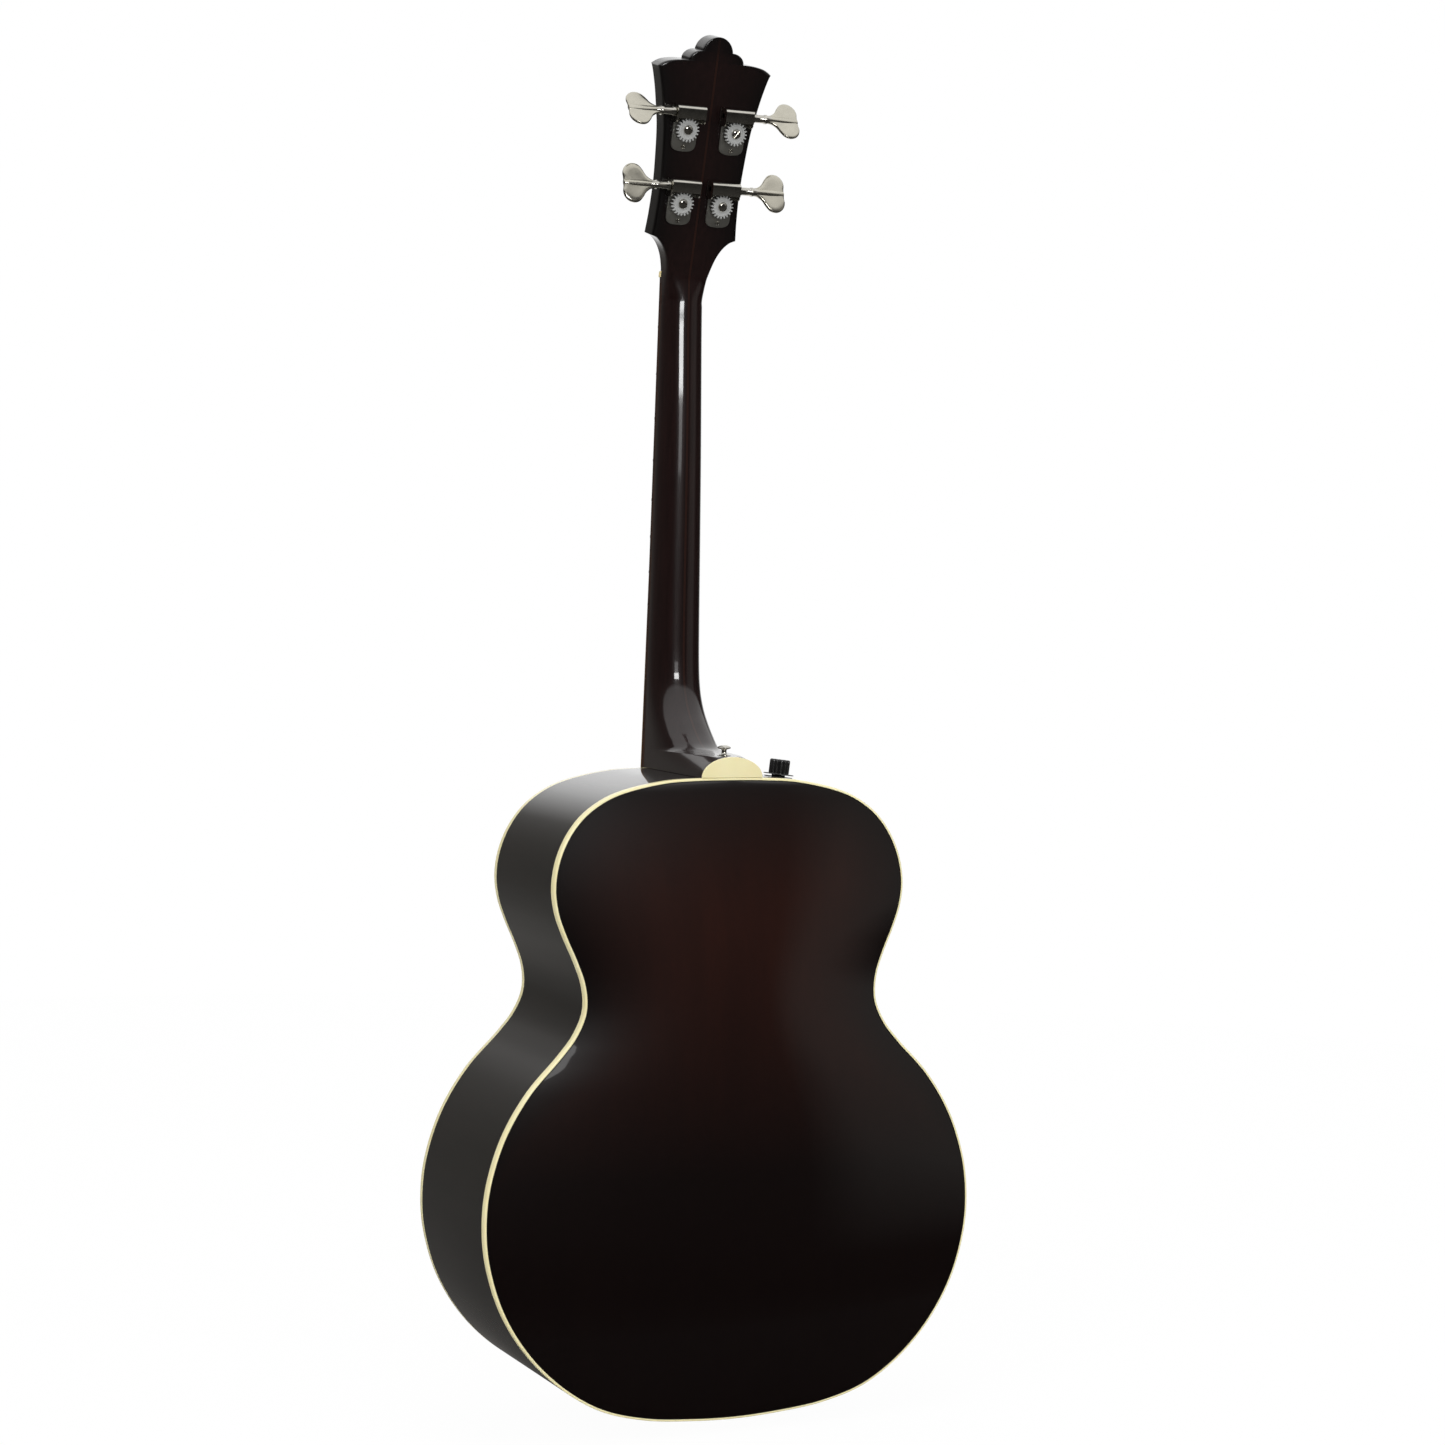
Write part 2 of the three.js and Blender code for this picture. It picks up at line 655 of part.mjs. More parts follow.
// The back is a grid of rows across the body, one row for each rim point, outer face and inner face
function backPlate(outline, thickness = backThickness) {
  const sections = outline.slice(0, rimSteps + 1).map((p, i) => {
    // the first and the last row close to a single edge on the centre line, so they have no arch
    const arched = i % rimSteps !== 0;
    const row = Array.from({ length: backStrips + 1 }, (_, k) => 1 - 2 * k / backStrips);
    const outer = row.map((u) => point(
      u * p.x, backPlane(p.y) + (arched ? archAt(u, p.y) : 0), p.y,
    ));
    const inner = outer.map((q) => point(q.x, q.y - thickness, q.z)).reverse();
    return [...outer, ...inner];
  });
  return sweep(sections);
}

const backInner = (x, z) => backUnderside(z) + archAt(x / halfWidthAt(z), z);

// A block fills the rim from the soundboard to the back, notched round both linings
function block(from, to) {
  const inner = slab(rimInset(innerRim), soundboardThickness + seam, tailDepth);
  const plane = soundboardThickness + seam;
  const space = slabAcross([
    new THREE.Vector2(plane, from), new THREE.Vector2(plane, to),
    new THREE.Vector2(backUnderside(to), to), new THREE.Vector2(backUnderside(from), from),
  ], -blockHalfWidth, blockHalfWidth);
  const core = fromSolid(toSolid(inner).intersect(toSolid(space)));
  return cut(core, topLining(seam), backLining(seam));
}

// Where the two sides would meet at the tail, the block fills the gap between their ends
function graftSpace(half) {
  return box(-half, half, -overrun, tailDepth + overrun, -overrun, innerRim + seam);
}

function tailBlock() {
  const back = backPlane(innerRim + seam) - bindingDepth - seam;
  const strip = toSolid(slab(rimInset(0), bindingDepth + seam, back));
  const graft = strip.intersect(toSolid(graftSpace(graftHalfWidth - seam / 2)));
  const whole = fromSolid(toSolid(block(0, tailBlockLength)).add(graft));
  return cut(whole, topLining(seam), backLining(seam), pinBore(pinBarrelRadius + seam));
}

// A straight brace between two places on the plan, tapered at both ends
function brace(from, to, foot, rise) {
  const along = to.clone().sub(from);
  const length = along.length();
  along.normalize();
  const across = new THREE.Vector2(-along.y, along.x).multiplyScalar(braceWidth / 2);
  const stations = [0, braceTaperLength, length - braceTaperLength, length];
  const heights = [braceEndHeight, braceHeight, braceHeight, braceEndHeight];
  return sweep(stations.map((s, i) => {
    const c = from.clone().addScaledVector(along, s);
    const [a, b] = [c.clone().add(across), c.clone().sub(across)];
    return [
      point(a.x, foot(a.x, a.y), a.y), point(b.x, foot(b.x, b.y), b.y),
      point(b.x, foot(b.x, b.y) + rise * heights[i], b.y),
      point(a.x, foot(a.x, a.y) + rise * heights[i], a.y),
    ];
  }));
}

function backBrace(z) {
  const widths = [-1, 1].map((s) => halfWidthAt(z + s * braceWidth / 2, liningInner));
  const half = Math.min(...widths) - braceEndClearance;
  const [low, high] = [z - braceWidth / 2, z + braceWidth / 2];
  const raised = sweep(Array.from({ length: backStrips + 1 }, (_, i) => {
    const x = blend(-half, half, i / backStrips);
    const edge = Math.min(1, (half - Math.abs(x)) / braceTaperLength);
    const foot = backInner(x, z) - blend(braceEndHeight, braceHeight, edge);
    const top = backInner(x, z) + backThickness / 2;
    return [point(x, top, low), point(x, top, high), point(x, foot, high), point(x, foot, low)];
  }));
  return cut(raised, backPlate(rimInset(bindingWidth + seam / 2), backThickness + seam));
}

const pinHeight = saddleHeight - pinSetback;
const pinPlaces = stringRadii.map((_, i) => ({
  x: blend(-stringHalfSpreadAtBridge, stringHalfSpreadAtBridge, i / (stringRadii.length - 1)),
  z: pinHeight,
}));

// How far a line at 45 degrees from the crossing runs before it meets the lining
function crossingRoom(up) {
  const steps = rimSteps * rimSamplesPerStep;
  const reaches = Array.from({ length: steps }, (_, i) => bodyHalfWidth * (steps - i) / steps);
  const inside = (z) => halfWidthAt(z, liningInner) - braceEndClearance;
  return reaches.find((reach) => reach < inside(crossingHeight + up * reach));
}

function buildInside() {
  const under = () => soundboardThickness + seam;
  const leg = crossLegShare * crossingRoom(-1);
  const arm = crossArmShare * Math.min(crossingRoom(1), transverseHeight - braceWidth - crossingHeight);
  const ends = (side) => [
    new THREE.Vector2(side * leg, crossingHeight - leg),
    new THREE.Vector2(-side * arm, crossingHeight + arm),
  ];
  // the two braces share a halving joint: each keeps half of its height where they cross
  const half = braceHeight / 2;
  const reach = braceWidth;
  const notch = (low, high) => box(
    -reach, reach, under() + low, under() + high, crossingHeight - reach, crossingHeight + reach,
  );
  add(
    instrument, 'x_brace_treble',
    cut(brace(...ends(1), under, 1), notch(half - seam / 2, braceHeight + overrun)), 'inside',
  );
  const bassNotch = notch(-overrun, half + seam / 2);
  add(instrument, 'x_brace_bass', cut(brace(...ends(-1), under, 1), bassNotch), 'inside');
  const barHalf = halfWidthAt(transverseHeight, liningInner) - braceEndClearance;
  add(instrument, 'transverse_brace', brace(
    new THREE.Vector2(-barHalf, transverseHeight), new THREE.Vector2(barHalf, transverseHeight), under, 1,
  ), 'inside');
  const [toneLeft, toneRight] = toneBarShares.map(
    ([x, z]) => new THREE.Vector2(x * bodyHalfWidth, z * saddleHeight),
  );
  add(instrument, 'tone_bar', brace(toneLeft, toneRight, under, 1), 'inside');
  const plateLow = pinHeight - bridgePlateLength / 2;
  const plate = [[-1, 0], [1, 0], [1, 1], [-1, 1]].map(([x, z]) => new THREE.Vector2(
    x * bridgePlateHalfWidth, plateLow + z * bridgePlateLength,
  ));
  const holes = pinPlaces.map(({ x, z }) => circle(x, z, pinRadius + seam, smallHoleSides));
  add(instrument, 'bridge_plate', slab(plate, under(), under() + bridgePlateThickness, holes), 'inside');
  backBraceShares.forEach((share, i) => {
    const z = blend(tailBlockLength, bodyLength - neckBlockLength, share);
    add(instrument, `back_brace_${i + 1}`, backBrace(z), 'inside');
  });
  const neckBlock = block(bodyLength - neckBlockLength, bodyLength);
  add(instrument, 'neck_block', cut(neckBlock, tenon(seam)), 'inside');
  add(instrument, 'tail_block', tailBlock(), 'inside');
}

// The fingerboard's glue plane runs back a little from the body joint to the nut
const boardPlane = (z) => neckSetback * (z - bodyLength) / neckLength - seam;
const boardHalfWidth = (z) => blend(
  boardHalfWidthAtBody, boardHalfWidthAtNut, (z - bodyLength) / neckLength,
);
const boardTop = (x, z) => boardPlane(z) - boardThickness + x ** 2 / (2 * boardRadius);

function fingerboard() {
  const acrossShares = [-1, 0, 1];
  const low = nutHeight - boardLength;
  const high = nutHeight - seam;
  const section = (z) => {
    const w = boardHalfWidth(z);
    const top = acrossShares.map((s) => point(s * w, boardTop(s * w, z), z));
    return [...top, point(w, boardPlane(z), z), point(-w, boardPlane(z), z)];
  };
  const board = sweep([section(low), section(high)]);
  const frets = Array.from({ length: fretCount }, (_, i) => {
    const z = nutHeight - fretAt(i + 1);
    const w = boardHalfWidth(z);
    return sweep([-w, 0, w].map((x) => {
      const top = boardTop(x, z);
      return [
        point(x, top + fretTang, z - fretWidth / 2), point(x, top - fretHeight, z - fretCrownWidth / 2),
        point(x, top - fretHeight, z + fretCrownWidth / 2), point(x, top + fretTang, z + fretWidth / 2),
      ];
    }));
  });
  return joined(board, ...frets);
}

// One neck section between a front point and a back point, as a flat-fronted superellipse
function neckSection(front, back, halfWidth, power, flare = 0, flat = Infinity) {
  const deep = back.clone().sub(front);
  const depth = deep.length();
  deep.normalize();
  return Array.from({ length: neckPoints + 1 }, (_, i) => {
    const angle = Math.PI * i / neckPoints;
    const [c, s] = [Math.cos(angle), Math.sin(angle)];
    const d = Math.min(depth * Math.max(s, 0) ** (2 / power), flat);
    const x = halfWidth * Math.sign(c) * Math.abs(c) ** (2 / power);
    return front.clone().addScaledVector(deep, i % neckPoints ? d : 0)
      .add(point(x * (1 + flare * d / neckEndDepth), 0, 0));
  });
}

const toHead = (p) => p.applyMatrix4(headstock.matrix);

function headHalfOutline() {
  const [cornerX, cornerZ] = headOutlineShares[0];
  const low = [cornerX * headHalfWidth, cornerZ * headLength];
  const flare = flareShares.map(([x, z]) => [
    blend(boardHalfWidthAtNut, low[0], x), blend(flareStart, low[1], z),
  ]);
  const lobe = lobeShare.map((s, i) => s * [headHalfWidth, headLength][i]);
  const shoulder = shoulderShare.map((s, i) => s * [headHalfWidth, headLength][i]);
  // the shoulder lobe rises from its outer end and meets the crown lobe square
  const shoulderArc = Array.from({ length: crownRadiusPoints / 2 }, (_, i) => {
    const angle = quarterTurn * (i + 1) / (crownRadiusPoints / 2);
    return [
      blend(shoulder[0], lobe[0], 1 - Math.cos(angle)), blend(shoulder[1], lobe[1], Math.sin(angle)),
    ];
  });
  // the crown lobe is an arc from its foot to the tip
  const rise = headLength - lobe[1];
  const radius = (rise ** 2 + lobe[0] ** 2) / (2 * rise);
  const start = Math.asin(Math.min(1, lobe[0] / radius));
  const crown = Array.from({ length: crownRadiusPoints / 2 }, (_, i) => {
    const angle = start * (1 - (i + 1) / (crownRadiusPoints / 2));
    return [radius * Math.sin(angle), headLength - radius + radius * Math.cos(angle)];
  });
  const plate = headOutlineShares.map(([x, z]) => [x * headHalfWidth, z * headLength]);
  return { flare, plate: [...plate, ...shoulderArc, ...crown] };
}

// Half width of the widening shaft at a distance from the nut line
function flareWidthAt(flare, place) {
  return flare.reduce((best, [x, z], i) => {
    const [nextX, nextZ] = flare[i + 1] ?? [x, z];
    return z <= place && nextZ > place ? blend(x, nextX, (place - z) / (nextZ - z)) : best;
  }, flare[0][0]);
}

function headOutline(from = headTransition) {
  const { flare, plate } = headHalfOutline();
  const kept = flare.filter(([, z]) => z > from);
  const half = [[flareWidthAt(flare, from), from], ...kept.slice(0, -1), ...plate]
    .map(([x, z]) => new THREE.Vector2(x, z));
  half.at(-1).x = 0;
  const other = half.slice(0, -1).reverse().map((p) => new THREE.Vector2(-p.x, p.y));
  return [...half, ...other];
}

function neckSolid() {
  const heelBack = neckEndDepth - capThickness - seam;
  const flareShare = (capHalfWidth - boardHalfWidthAtBody) / boardHalfWidthAtBody;
  const heel = capShares.map((share) => {
    const z = bodyLength + seam + share * (capLength - seam);
    const backShare = Math.sqrt(1 - share ** 2);
    const power = blend(heelPower, ledgePower, share);
    const reachShare = Math.max(1 - backShare ** power, 1 / neckEndDepth) ** (1 / power);
    const depth = (heelBack - boardPlane(z)) / reachShare;
    const front = point(0, boardPlane(z) + seam, z);
    return neckSection(
      front, point(0, front.y + depth, z), boardHalfWidth(z), power, flareShare, heelBack - front.y,
    );
  });
  const ledge = bodyLength + capLength - ledgeDrop;
  const shaft = neckShares.map(([along, deep, power]) => {
    const z = blend(ledge, nutHeight, along);
    const front = point(0, boardPlane(z) + seam, z);
    const back = point(0, front.y + blend(neckDepthAtNut, neckEndDepth, deep), z);
    return neckSection(front, back, boardHalfWidth(z), power, flareShare);
  });
  // the shaft turns into the headstock: sections lean over and square up
  const { flare } = headHalfOutline();
  const last = shaft.at(-1)[0].z;
  const faceStart = headTransition - seam;
  const stations = [...flare.slice(0, -1), [flareWidthAt(flare, faceStart), faceStart]];
  stations.sort(([, low], [, high]) => low - high);
  const lean = stations.map(([x, z], i) => {
    const share = (i + 1) / stations.length;
    const power = blend(sectionPower, headPower, share ** 2);
    const frontHead = toHead(point(0, headFront, z));
    const frontShaft = point(0, boardPlane(nutHeight + z) + seam, nutHeight + z);
    const front = z >= faceStart ? frontHead : frontShaft;
    // the back is the shaft's until the headstock's own back face lies further out
    const backHead = toHead(point(0, headBack, z));
    const backShaft = frontShaft.clone().add(point(0, neckDepthAtNut, 0));
    const back = z < faceStart && backShaft.y > backHead.y ? backShaft : backHead;
    return neckSection(front, back, x, power);
  }).filter((section) => section[0].z > last);
  const blank = slab(headOutline(flare.at(-3)[1]), headFront, headBack).applyMatrix4(headstock.matrix);
  return joined(sweep([...heel, ...shaft, ...lean]), blank, tenon());
}

function buildNeck() {
  const channelTop = nutHeight + trussNutStart;
  const channelLow = bodyLength + channelStart;
  const channelSection = (z, halfWidth, deep) => {
    const y = boardPlane(z);
    return [
      point(-halfWidth, y - overrun, z), point(halfWidth, y - overrun, z),
      point(halfWidth, y + deep, z), point(-halfWidth, y + deep, z),
    ];
  };
  const channel = sweep(
    [channelLow, channelTop].map((z) => channelSection(z, channelHalfWidth, channelDepth)),
  );
  const pocketTop = channelTop + pocketLength - trussNutLength / 2;
  const pocket = sweep([channelTop - seam, pocketTop].map(
    (z) => channelSection(z, pocketHalfWidth, channelDepth + seam),
  ));
  const veneerPocket = slab(
    [[-1, 0], [1, 0], [1, 1], [-1, 1]].map(([x, z]) => new THREE.Vector2(
      x * pocketHalfWidth, coverStart + z * (coverLength - pocketHalfWidth * 2),
    )), -overrun, headFront + overrun,
  ).applyMatrix4(headstock.matrix);
  const postHoles = tunerPlaces.map(({ side, place: [x, z] }) => new THREE.CylinderGeometry(
    bushingRadius + seam, bushingRadius + seam, headBack * 4, holeSides / 2,
  ).translate(side * x, 0, z).applyMatrix4(headstock.matrix));
  const screwBore = upright(new THREE.CylinderGeometry(
    buttonShank + seam, buttonShank + seam, buttonShankLength * 2, smallHoleSides,
  )).translate(0, buttonDepth, bodyLength + buttonSeat);
  const seat = upright(new THREE.CylinderGeometry(
    buttonRadius + seam, buttonRadius + seam, buttonHeight, roundSides,
  )).translate(0, buttonDepth, bodyLength + buttonSeat + buttonHeight / 2);
  const capSpace = box(
    -capHalfWidth * 2, capHalfWidth * 2, neckEndDepth - capThickness - seam, neckEndDepth * 2,
    bodyLength - overrun, bodyLength + capLength + overrun,
  );
  add(
    instrument, 'neck',
    cut(neckSolid(), channel, pocket, veneerPocket, ...postHoles, screwBore, seat, capSpace), 'neck',
  );
  add(instrument, 'fingerboard', fingerboard(), 'ebony');
  add(instrument, 'truss_rod', trussRod(channelLow + seam, channelTop - seam), 'steel');
  add(instrument, 'nut', nutPiece(), 'bone');
  const capArc = Array.from({ length: roundSides + 1 }, (_, i) => {
    const angle = Math.PI * i / roundSides;
    return new THREE.Vector2(
      capHalfWidth * Math.cos(angle), bodyLength + seam + (capLength - seam) * Math.sin(angle),
    );
  });
  add(instrument, 'heel_cap', slab(capArc, neckEndDepth - capThickness, neckEndDepth), 'binding');
  const veneerBack = headFront - seam;
  const veneer = slab(headOutline(), veneerBack - veneerThickness, veneerBack);
  const local = (tool) => tool.clone().applyMatrix4(headstock.matrix.clone().invert());
  add(headstock, 'headstock_veneer', cut(veneer, local(veneerPocket), ...postHoles.map(local)), 'black');
  const coverFront = veneerBack - veneerThickness - seam - coverThickness;
  const coverSpread = coverHalfWidth / 2;
  const cover = [
    [coverHalfWidth, coverStart - seam], [coverHalfWidth, coverStart + coverLength / 2],
    [coverSpread, coverStart + coverLength * coverTipShare], [0, coverStart + coverLength],
    [-coverSpread, coverStart + coverLength * coverTipShare],
    [-coverHalfWidth, coverStart + coverLength / 2],
    [-coverHalfWidth, coverStart - seam],
  ].map(([x, z]) => new THREE.Vector2(x, z));
  add(headstock, 'truss_rod_cover', slab(cover, coverFront, coverFront + coverThickness), 'black');
}

function trussRod(low, high) {
  return sweep([low, high].map((z) => circle(0, boardPlane(z) + rodDepth, rodRadius, smallHoleSides)
    .map((p) => point(p.x, p.y, z))));
}

function nutPiece() {
  const low = nutHeight;
  const high = nutHeight + nutThickness;
  const w = boardHalfWidth(nutHeight);
  const section = (z, drop) => {
    const base = boardPlane(nutHeight) + seam / 2;
    const top = boardTop(0, nutHeight) - nutRise + drop;
    return [point(-w, top, z), point(w, top, z), point(w, base, z), point(-w, base, z)];
  };
  const body = sweep([section(low, 0), section(low + nutThickness / 2, 0), section(high, nutRise / 2)]);
  const slots = stringPaths.map(
    (s) => tube(s.path.slice(s.nutFrom, s.nutTo), s.radius + seam, stringSides),
  );
  return cut(body, ...slots);
}

// Strings: from the bridge over the saddle and the nut, then round a post
function stringRoute(i) {
  const radius = stringRadii[i];
  const share = i / (stringRadii.length - 1);
  const { side, place: [postX, postZ], turns, level } = tunerPlaces[i];
  const bridgeX = blend(-stringHalfSpreadAtBridge, stringHalfSpreadAtBridge, share);
  const nutX = blend(-stringHalfSpreadAtNut, stringHalfSpreadAtNut, share);
  const saddleZ = saddleHeight + blend(-saddleSlant, saddleSlant, share);
  const saddle = point(bridgeX, -stringLiftAtSaddle - radius, saddleZ);
  const crown = boardTop(nutX, nutHeight) - stringLiftAtNut - radius;
  const nutLow = point(nutX, crown, nutHeight);
  const nutMid = point(nutX, crown, nutHeight + nutThickness / 2);
  const tuck = point(bridgeX, -bridgeThickness + radius, pinHeight + pinRadius + seam * 2 + radius);
  const start = tuck.clone().add(point(0, stringTuckLength, 0));
  const onSaddle = [
    start, start.clone().lerp(tuck, stringTuckShare), tuck.clone().add(point(0, -radius, radius)),
    saddle.clone().add(point(0, radius * stringRiseShare, -saddleThickness)), saddle,
    saddle.clone().lerp(nutLow, stringNearShare),
  ];
  // headstock stretch, worked out in the headstock's own frame
  const intoHead = headstock.matrix.clone().invert();
  const wrap = postWaistRadius + seam + radius;
  const leave = nutMid.clone().applyMatrix4(intoHead);
  const post = new THREE.Vector2(side * postX, postZ);
  const toNut = new THREE.Vector2(leave.x, leave.z).sub(post);
  const swing = Math.acos(wrap / toNut.length());
  const startAngle = Math.atan2(toNut.y, toNut.x) - side * swing;
  const pitch = 2 * radius + windingGap;
  const steps = Math.round(turns * stepsPerTurn);
  const coil = Array.from({ length: steps + 1 }, (_, k) => {
    const turn = k / stepsPerTurn;
    const angle = startAngle + side * fullTurn * turn;
    return point(
      post.x + wrap * Math.cos(angle), level + pitch * turn, post.y + wrap * Math.sin(angle),
    );
  });
  const first = coil[0];
  const run = stringRunShares.map((s) => leave.clone().lerp(first, s));
  const endDirection = coil.at(-1).clone().sub(coil.at(-2)).normalize();
  const end = coil.at(-1).clone().addScaledVector(endDirection, 2 * radius);
  const head = [...run, ...coil, end].map((p) => p.applyMatrix4(headstock.matrix));
  const path = [...onSaddle, nutLow.clone().lerp(saddle, stringNearShare), nutLow, nutMid, ...head];
  return { radius, path, nutFrom: onSaddle.length, nutTo: onSaddle.length + 4 };
}
const stringPaths = stringRadii.map((_, i) => stringRoute(i));

// Least gap of a wound string to itself, measured on its centre line less its thickness
function leastGap({ path, radius }) {
  const coil = path.slice(-stepsPerTurn * 2);
  let least = Infinity;
  coil.forEach((p, i) => coil.slice(i + stepsPerTurn / 2).forEach((q) => {
    least = Math.min(least, p.distanceTo(q) - 2 * radius);
  }));
  return least;
}

function buildStrings() {
  stringPaths.forEach((s, i) => {
    add(instrument, `string_${i + 1}`, tube(s.path, s.radius, stringSides), 'bronze');
    console.log(`string_${i + 1}: least gap between turns ${leastGap(s).toFixed(2)} mm`);
  });
}

function buildBridge() {
  const low = saddleHeight + bridgeAboveSaddle - bridgeLength;
  const high = low + bridgeLength;
  const outer = -bridgeThickness;
  const wing = -bridgeWingThickness;
  const profile = [
    ...bridgeShares.map(([share, spread]) => [-share, wing, spread]),
    [-bridgeWingStart / bridgeHalfWidth, outer, bridgeShares.at(-1)[1]],
  ];
  const stations = [...profile, ...profile.map(([x, y, s]) => [-x, y, s]).reverse()];
  const middle = (low + high) / 2;
  const body = sweep(stations.map(([share, front, spread]) => {
    const x = share * bridgeHalfWidth;
    const half = spread * bridgeLength;
    return [
      point(x, -seam, middle - half), point(x, front + bridgeChamfer, middle - half),
      point(x, front, middle - half + bridgeChamfer), point(x, front, middle + half - bridgeChamfer),
      point(x, front + bridgeChamfer, middle + half), point(x, -seam, middle + half),
    ];
  }));
  const slot = saddleSolid(seam, overrun);
  const bores = pinPlaces.map(({ x, z }) => new THREE.CylinderGeometry(
    pinRadius + seam, pinRadius + seam, bridgeThickness * 4, smallHoleSides,
  ).translate(x, 0, z));
  const grooves = stringPaths.map((s) => tube(s.path.slice(0, 4), s.radius + seam, stringSides));
  add(instrument, 'bridge', cut(body, slot, ...bores, ...grooves), 'ebony');
  add(instrument, 'saddle', saddleSolid(0, 0), 'bone');
  const headFrontY = -bridgeThickness - seam;
  pinPlaces.forEach(({ x, z }, i) => {
    const pin = turned([
      ...pinHeadShares.map(([r, h]) => [pinHeadRadius * r, headFrontY - pinHeadHeight * h]),
      [pinRadius, headFrontY], [pinRadius * pinTaperShare, headFrontY + pinLength],
      [0, headFrontY + pinLength],
    ], smallHoleSides);
    add(instrument, `bridge_pin_${i + 1}`, cut(pin.translate(x, 0, z), grooves[i]), 'ebony');
  });
}

function saddleSolid(gap, over) {
  const top = -stringLiftAtSaddle + seam - over;
  const foot = -bridgeThickness + saddleSeatDepth + gap;
  return sweep([-1, 1].map((s) => {
    const x = s * (saddleHalfLength + gap);
    const z = saddleHeight + s * saddleSlant * saddleHalfLength / stringHalfSpreadAtBridge;
    const half = saddleThickness / 2 + gap;
    return [
      point(x, top, z - half), point(x, top, z + half),
      point(x, foot, z + half), point(x, foot, z - half),
    ];
  }));
}

function buildHardware() {
  const guard = new THREE.CatmullRomCurve3(pickguardShares.map(([x, z]) => point(
    pickguardAcross + x * pickguardLength, pickguardFoot + z * pickguardLength, 0,
  )), true, 'centripetal').getPoints(holeSides).slice(0, -1).map((p) => new THREE.Vector2(p.x, p.y));
  add(instrument, 'pickguard', slab(guard, -pickguardThickness - seam, -seam), 'black');

  const pin = turned([
    [socketRadius, -pinHeadLength], [pinFlangeRadius, -pinHeadLength],
    [pinFlangeRadius, -pinHeadLength + pinFlangeThickness],
    [pinWaistRadius, -pinHeadLength + pinFlangeThickness * 2],
    [pinFlangeRadius, -seam],
    [pinBarrelRadius, -seam], [pinBarrelRadius, pinBarrelLength], [0, pinBarrelLength],
    [0, socketDepth - pinHeadLength], [socketRadius, socketDepth - pinHeadLength],
    [socketRadius, -pinHeadLength],
  ], roundSides);
  add(instrument, 'end_pin_jack', upright(pin).translate(0, pinCentre, 0), 'chrome');

  const button = turned([
    [0, -buttonShankLength + seam * 2], [buttonShank, -buttonShankLength + seam * 2], [buttonShank, seam],
    [buttonRadius * buttonFootShare, seam],
    ...buttonShares.map(([r, h]) => [buttonRadius * r, buttonHeight * h]),
  ], roundSides);
  const buttonBody = upright(button).translate(0, buttonDepth, bodyLength + buttonSeat);
  add(instrument, 'strap_button', buttonBody, 'chrome');

  buildControl();
}

function buildControl() {
  const inside = -sideThickness - seam * 2;
  const can = turned([
    [0, inside - potCanLength], [potCanRadius, inside - potCanLength], [potCanRadius, inside],
    [potBushingRadius, inside], [potBushingRadius, potBushingLength + inside],
    [potShaftRadius + seam, potBushingLength + inside], [potShaftRadius + seam, inside - potCanLength / 2],
    [0, inside - potCanLength / 2],
  ], roundSides);
  add(potOutward, 'volume_pot', can, 'steel');
  const washer = turned([
    [potBushingRadius + seam, seam], [potWasherRadius, seam], [potWasherRadius, seam + potWasherThickness],
    [potNutRadius, seam + potWasherThickness], [potNutRadius, seam + potWasherThickness + potNutThickness],
    [potBushingRadius + seam, seam + potWasherThickness + potNutThickness], [potBushingRadius + seam, seam],
  ], roundSides + 4);
  add(potOutward, 'pot_nut', washer, 'black');
  const shaftFoot = inside - potCanLength / 2 + seam;
  const shaftTop = shaftFoot + potShaftLength + potBushingLength;
  add(potOutward, 'pot_shaft', turned([
    [0, shaftFoot], [potShaftRadius, shaftFoot], [potShaftRadius, shaftTop], [0, shaftTop],
  ], smallHoleSides), 'steel');
  const steps = knobFlutes * 2;
  const flute = Array.from({ length: steps }, (_, i) => {
    const radius = knobRadius - (i % 2 ? knobFluteDepth : 0);
    const angle = fullTurn * (i + 0.5) / steps;
    return new THREE.Vector2(radius * Math.cos(angle), radius * Math.sin(angle));
  });
  const grip = slab(flute, knobLift + skirtThickness, knobLift + knobHeight);
  const skirt = new THREE.CylinderGeometry(skirtRadius, skirtRadius, skirtThickness * 2, roundSides + 4)
    .translate(0, knobLift + skirtThickness, 0);
  const bore = new THREE.CylinderGeometry(
    potShaftRadius + seam, potShaftRadius + seam, (shaftTop - knobLift + seam) * 2, smallHoleSides,
  ).translate(0, knobLift, 0);
  add(potOutward, 'volume_knob', cut(joined(grip, skirt), bore), 'black');
}

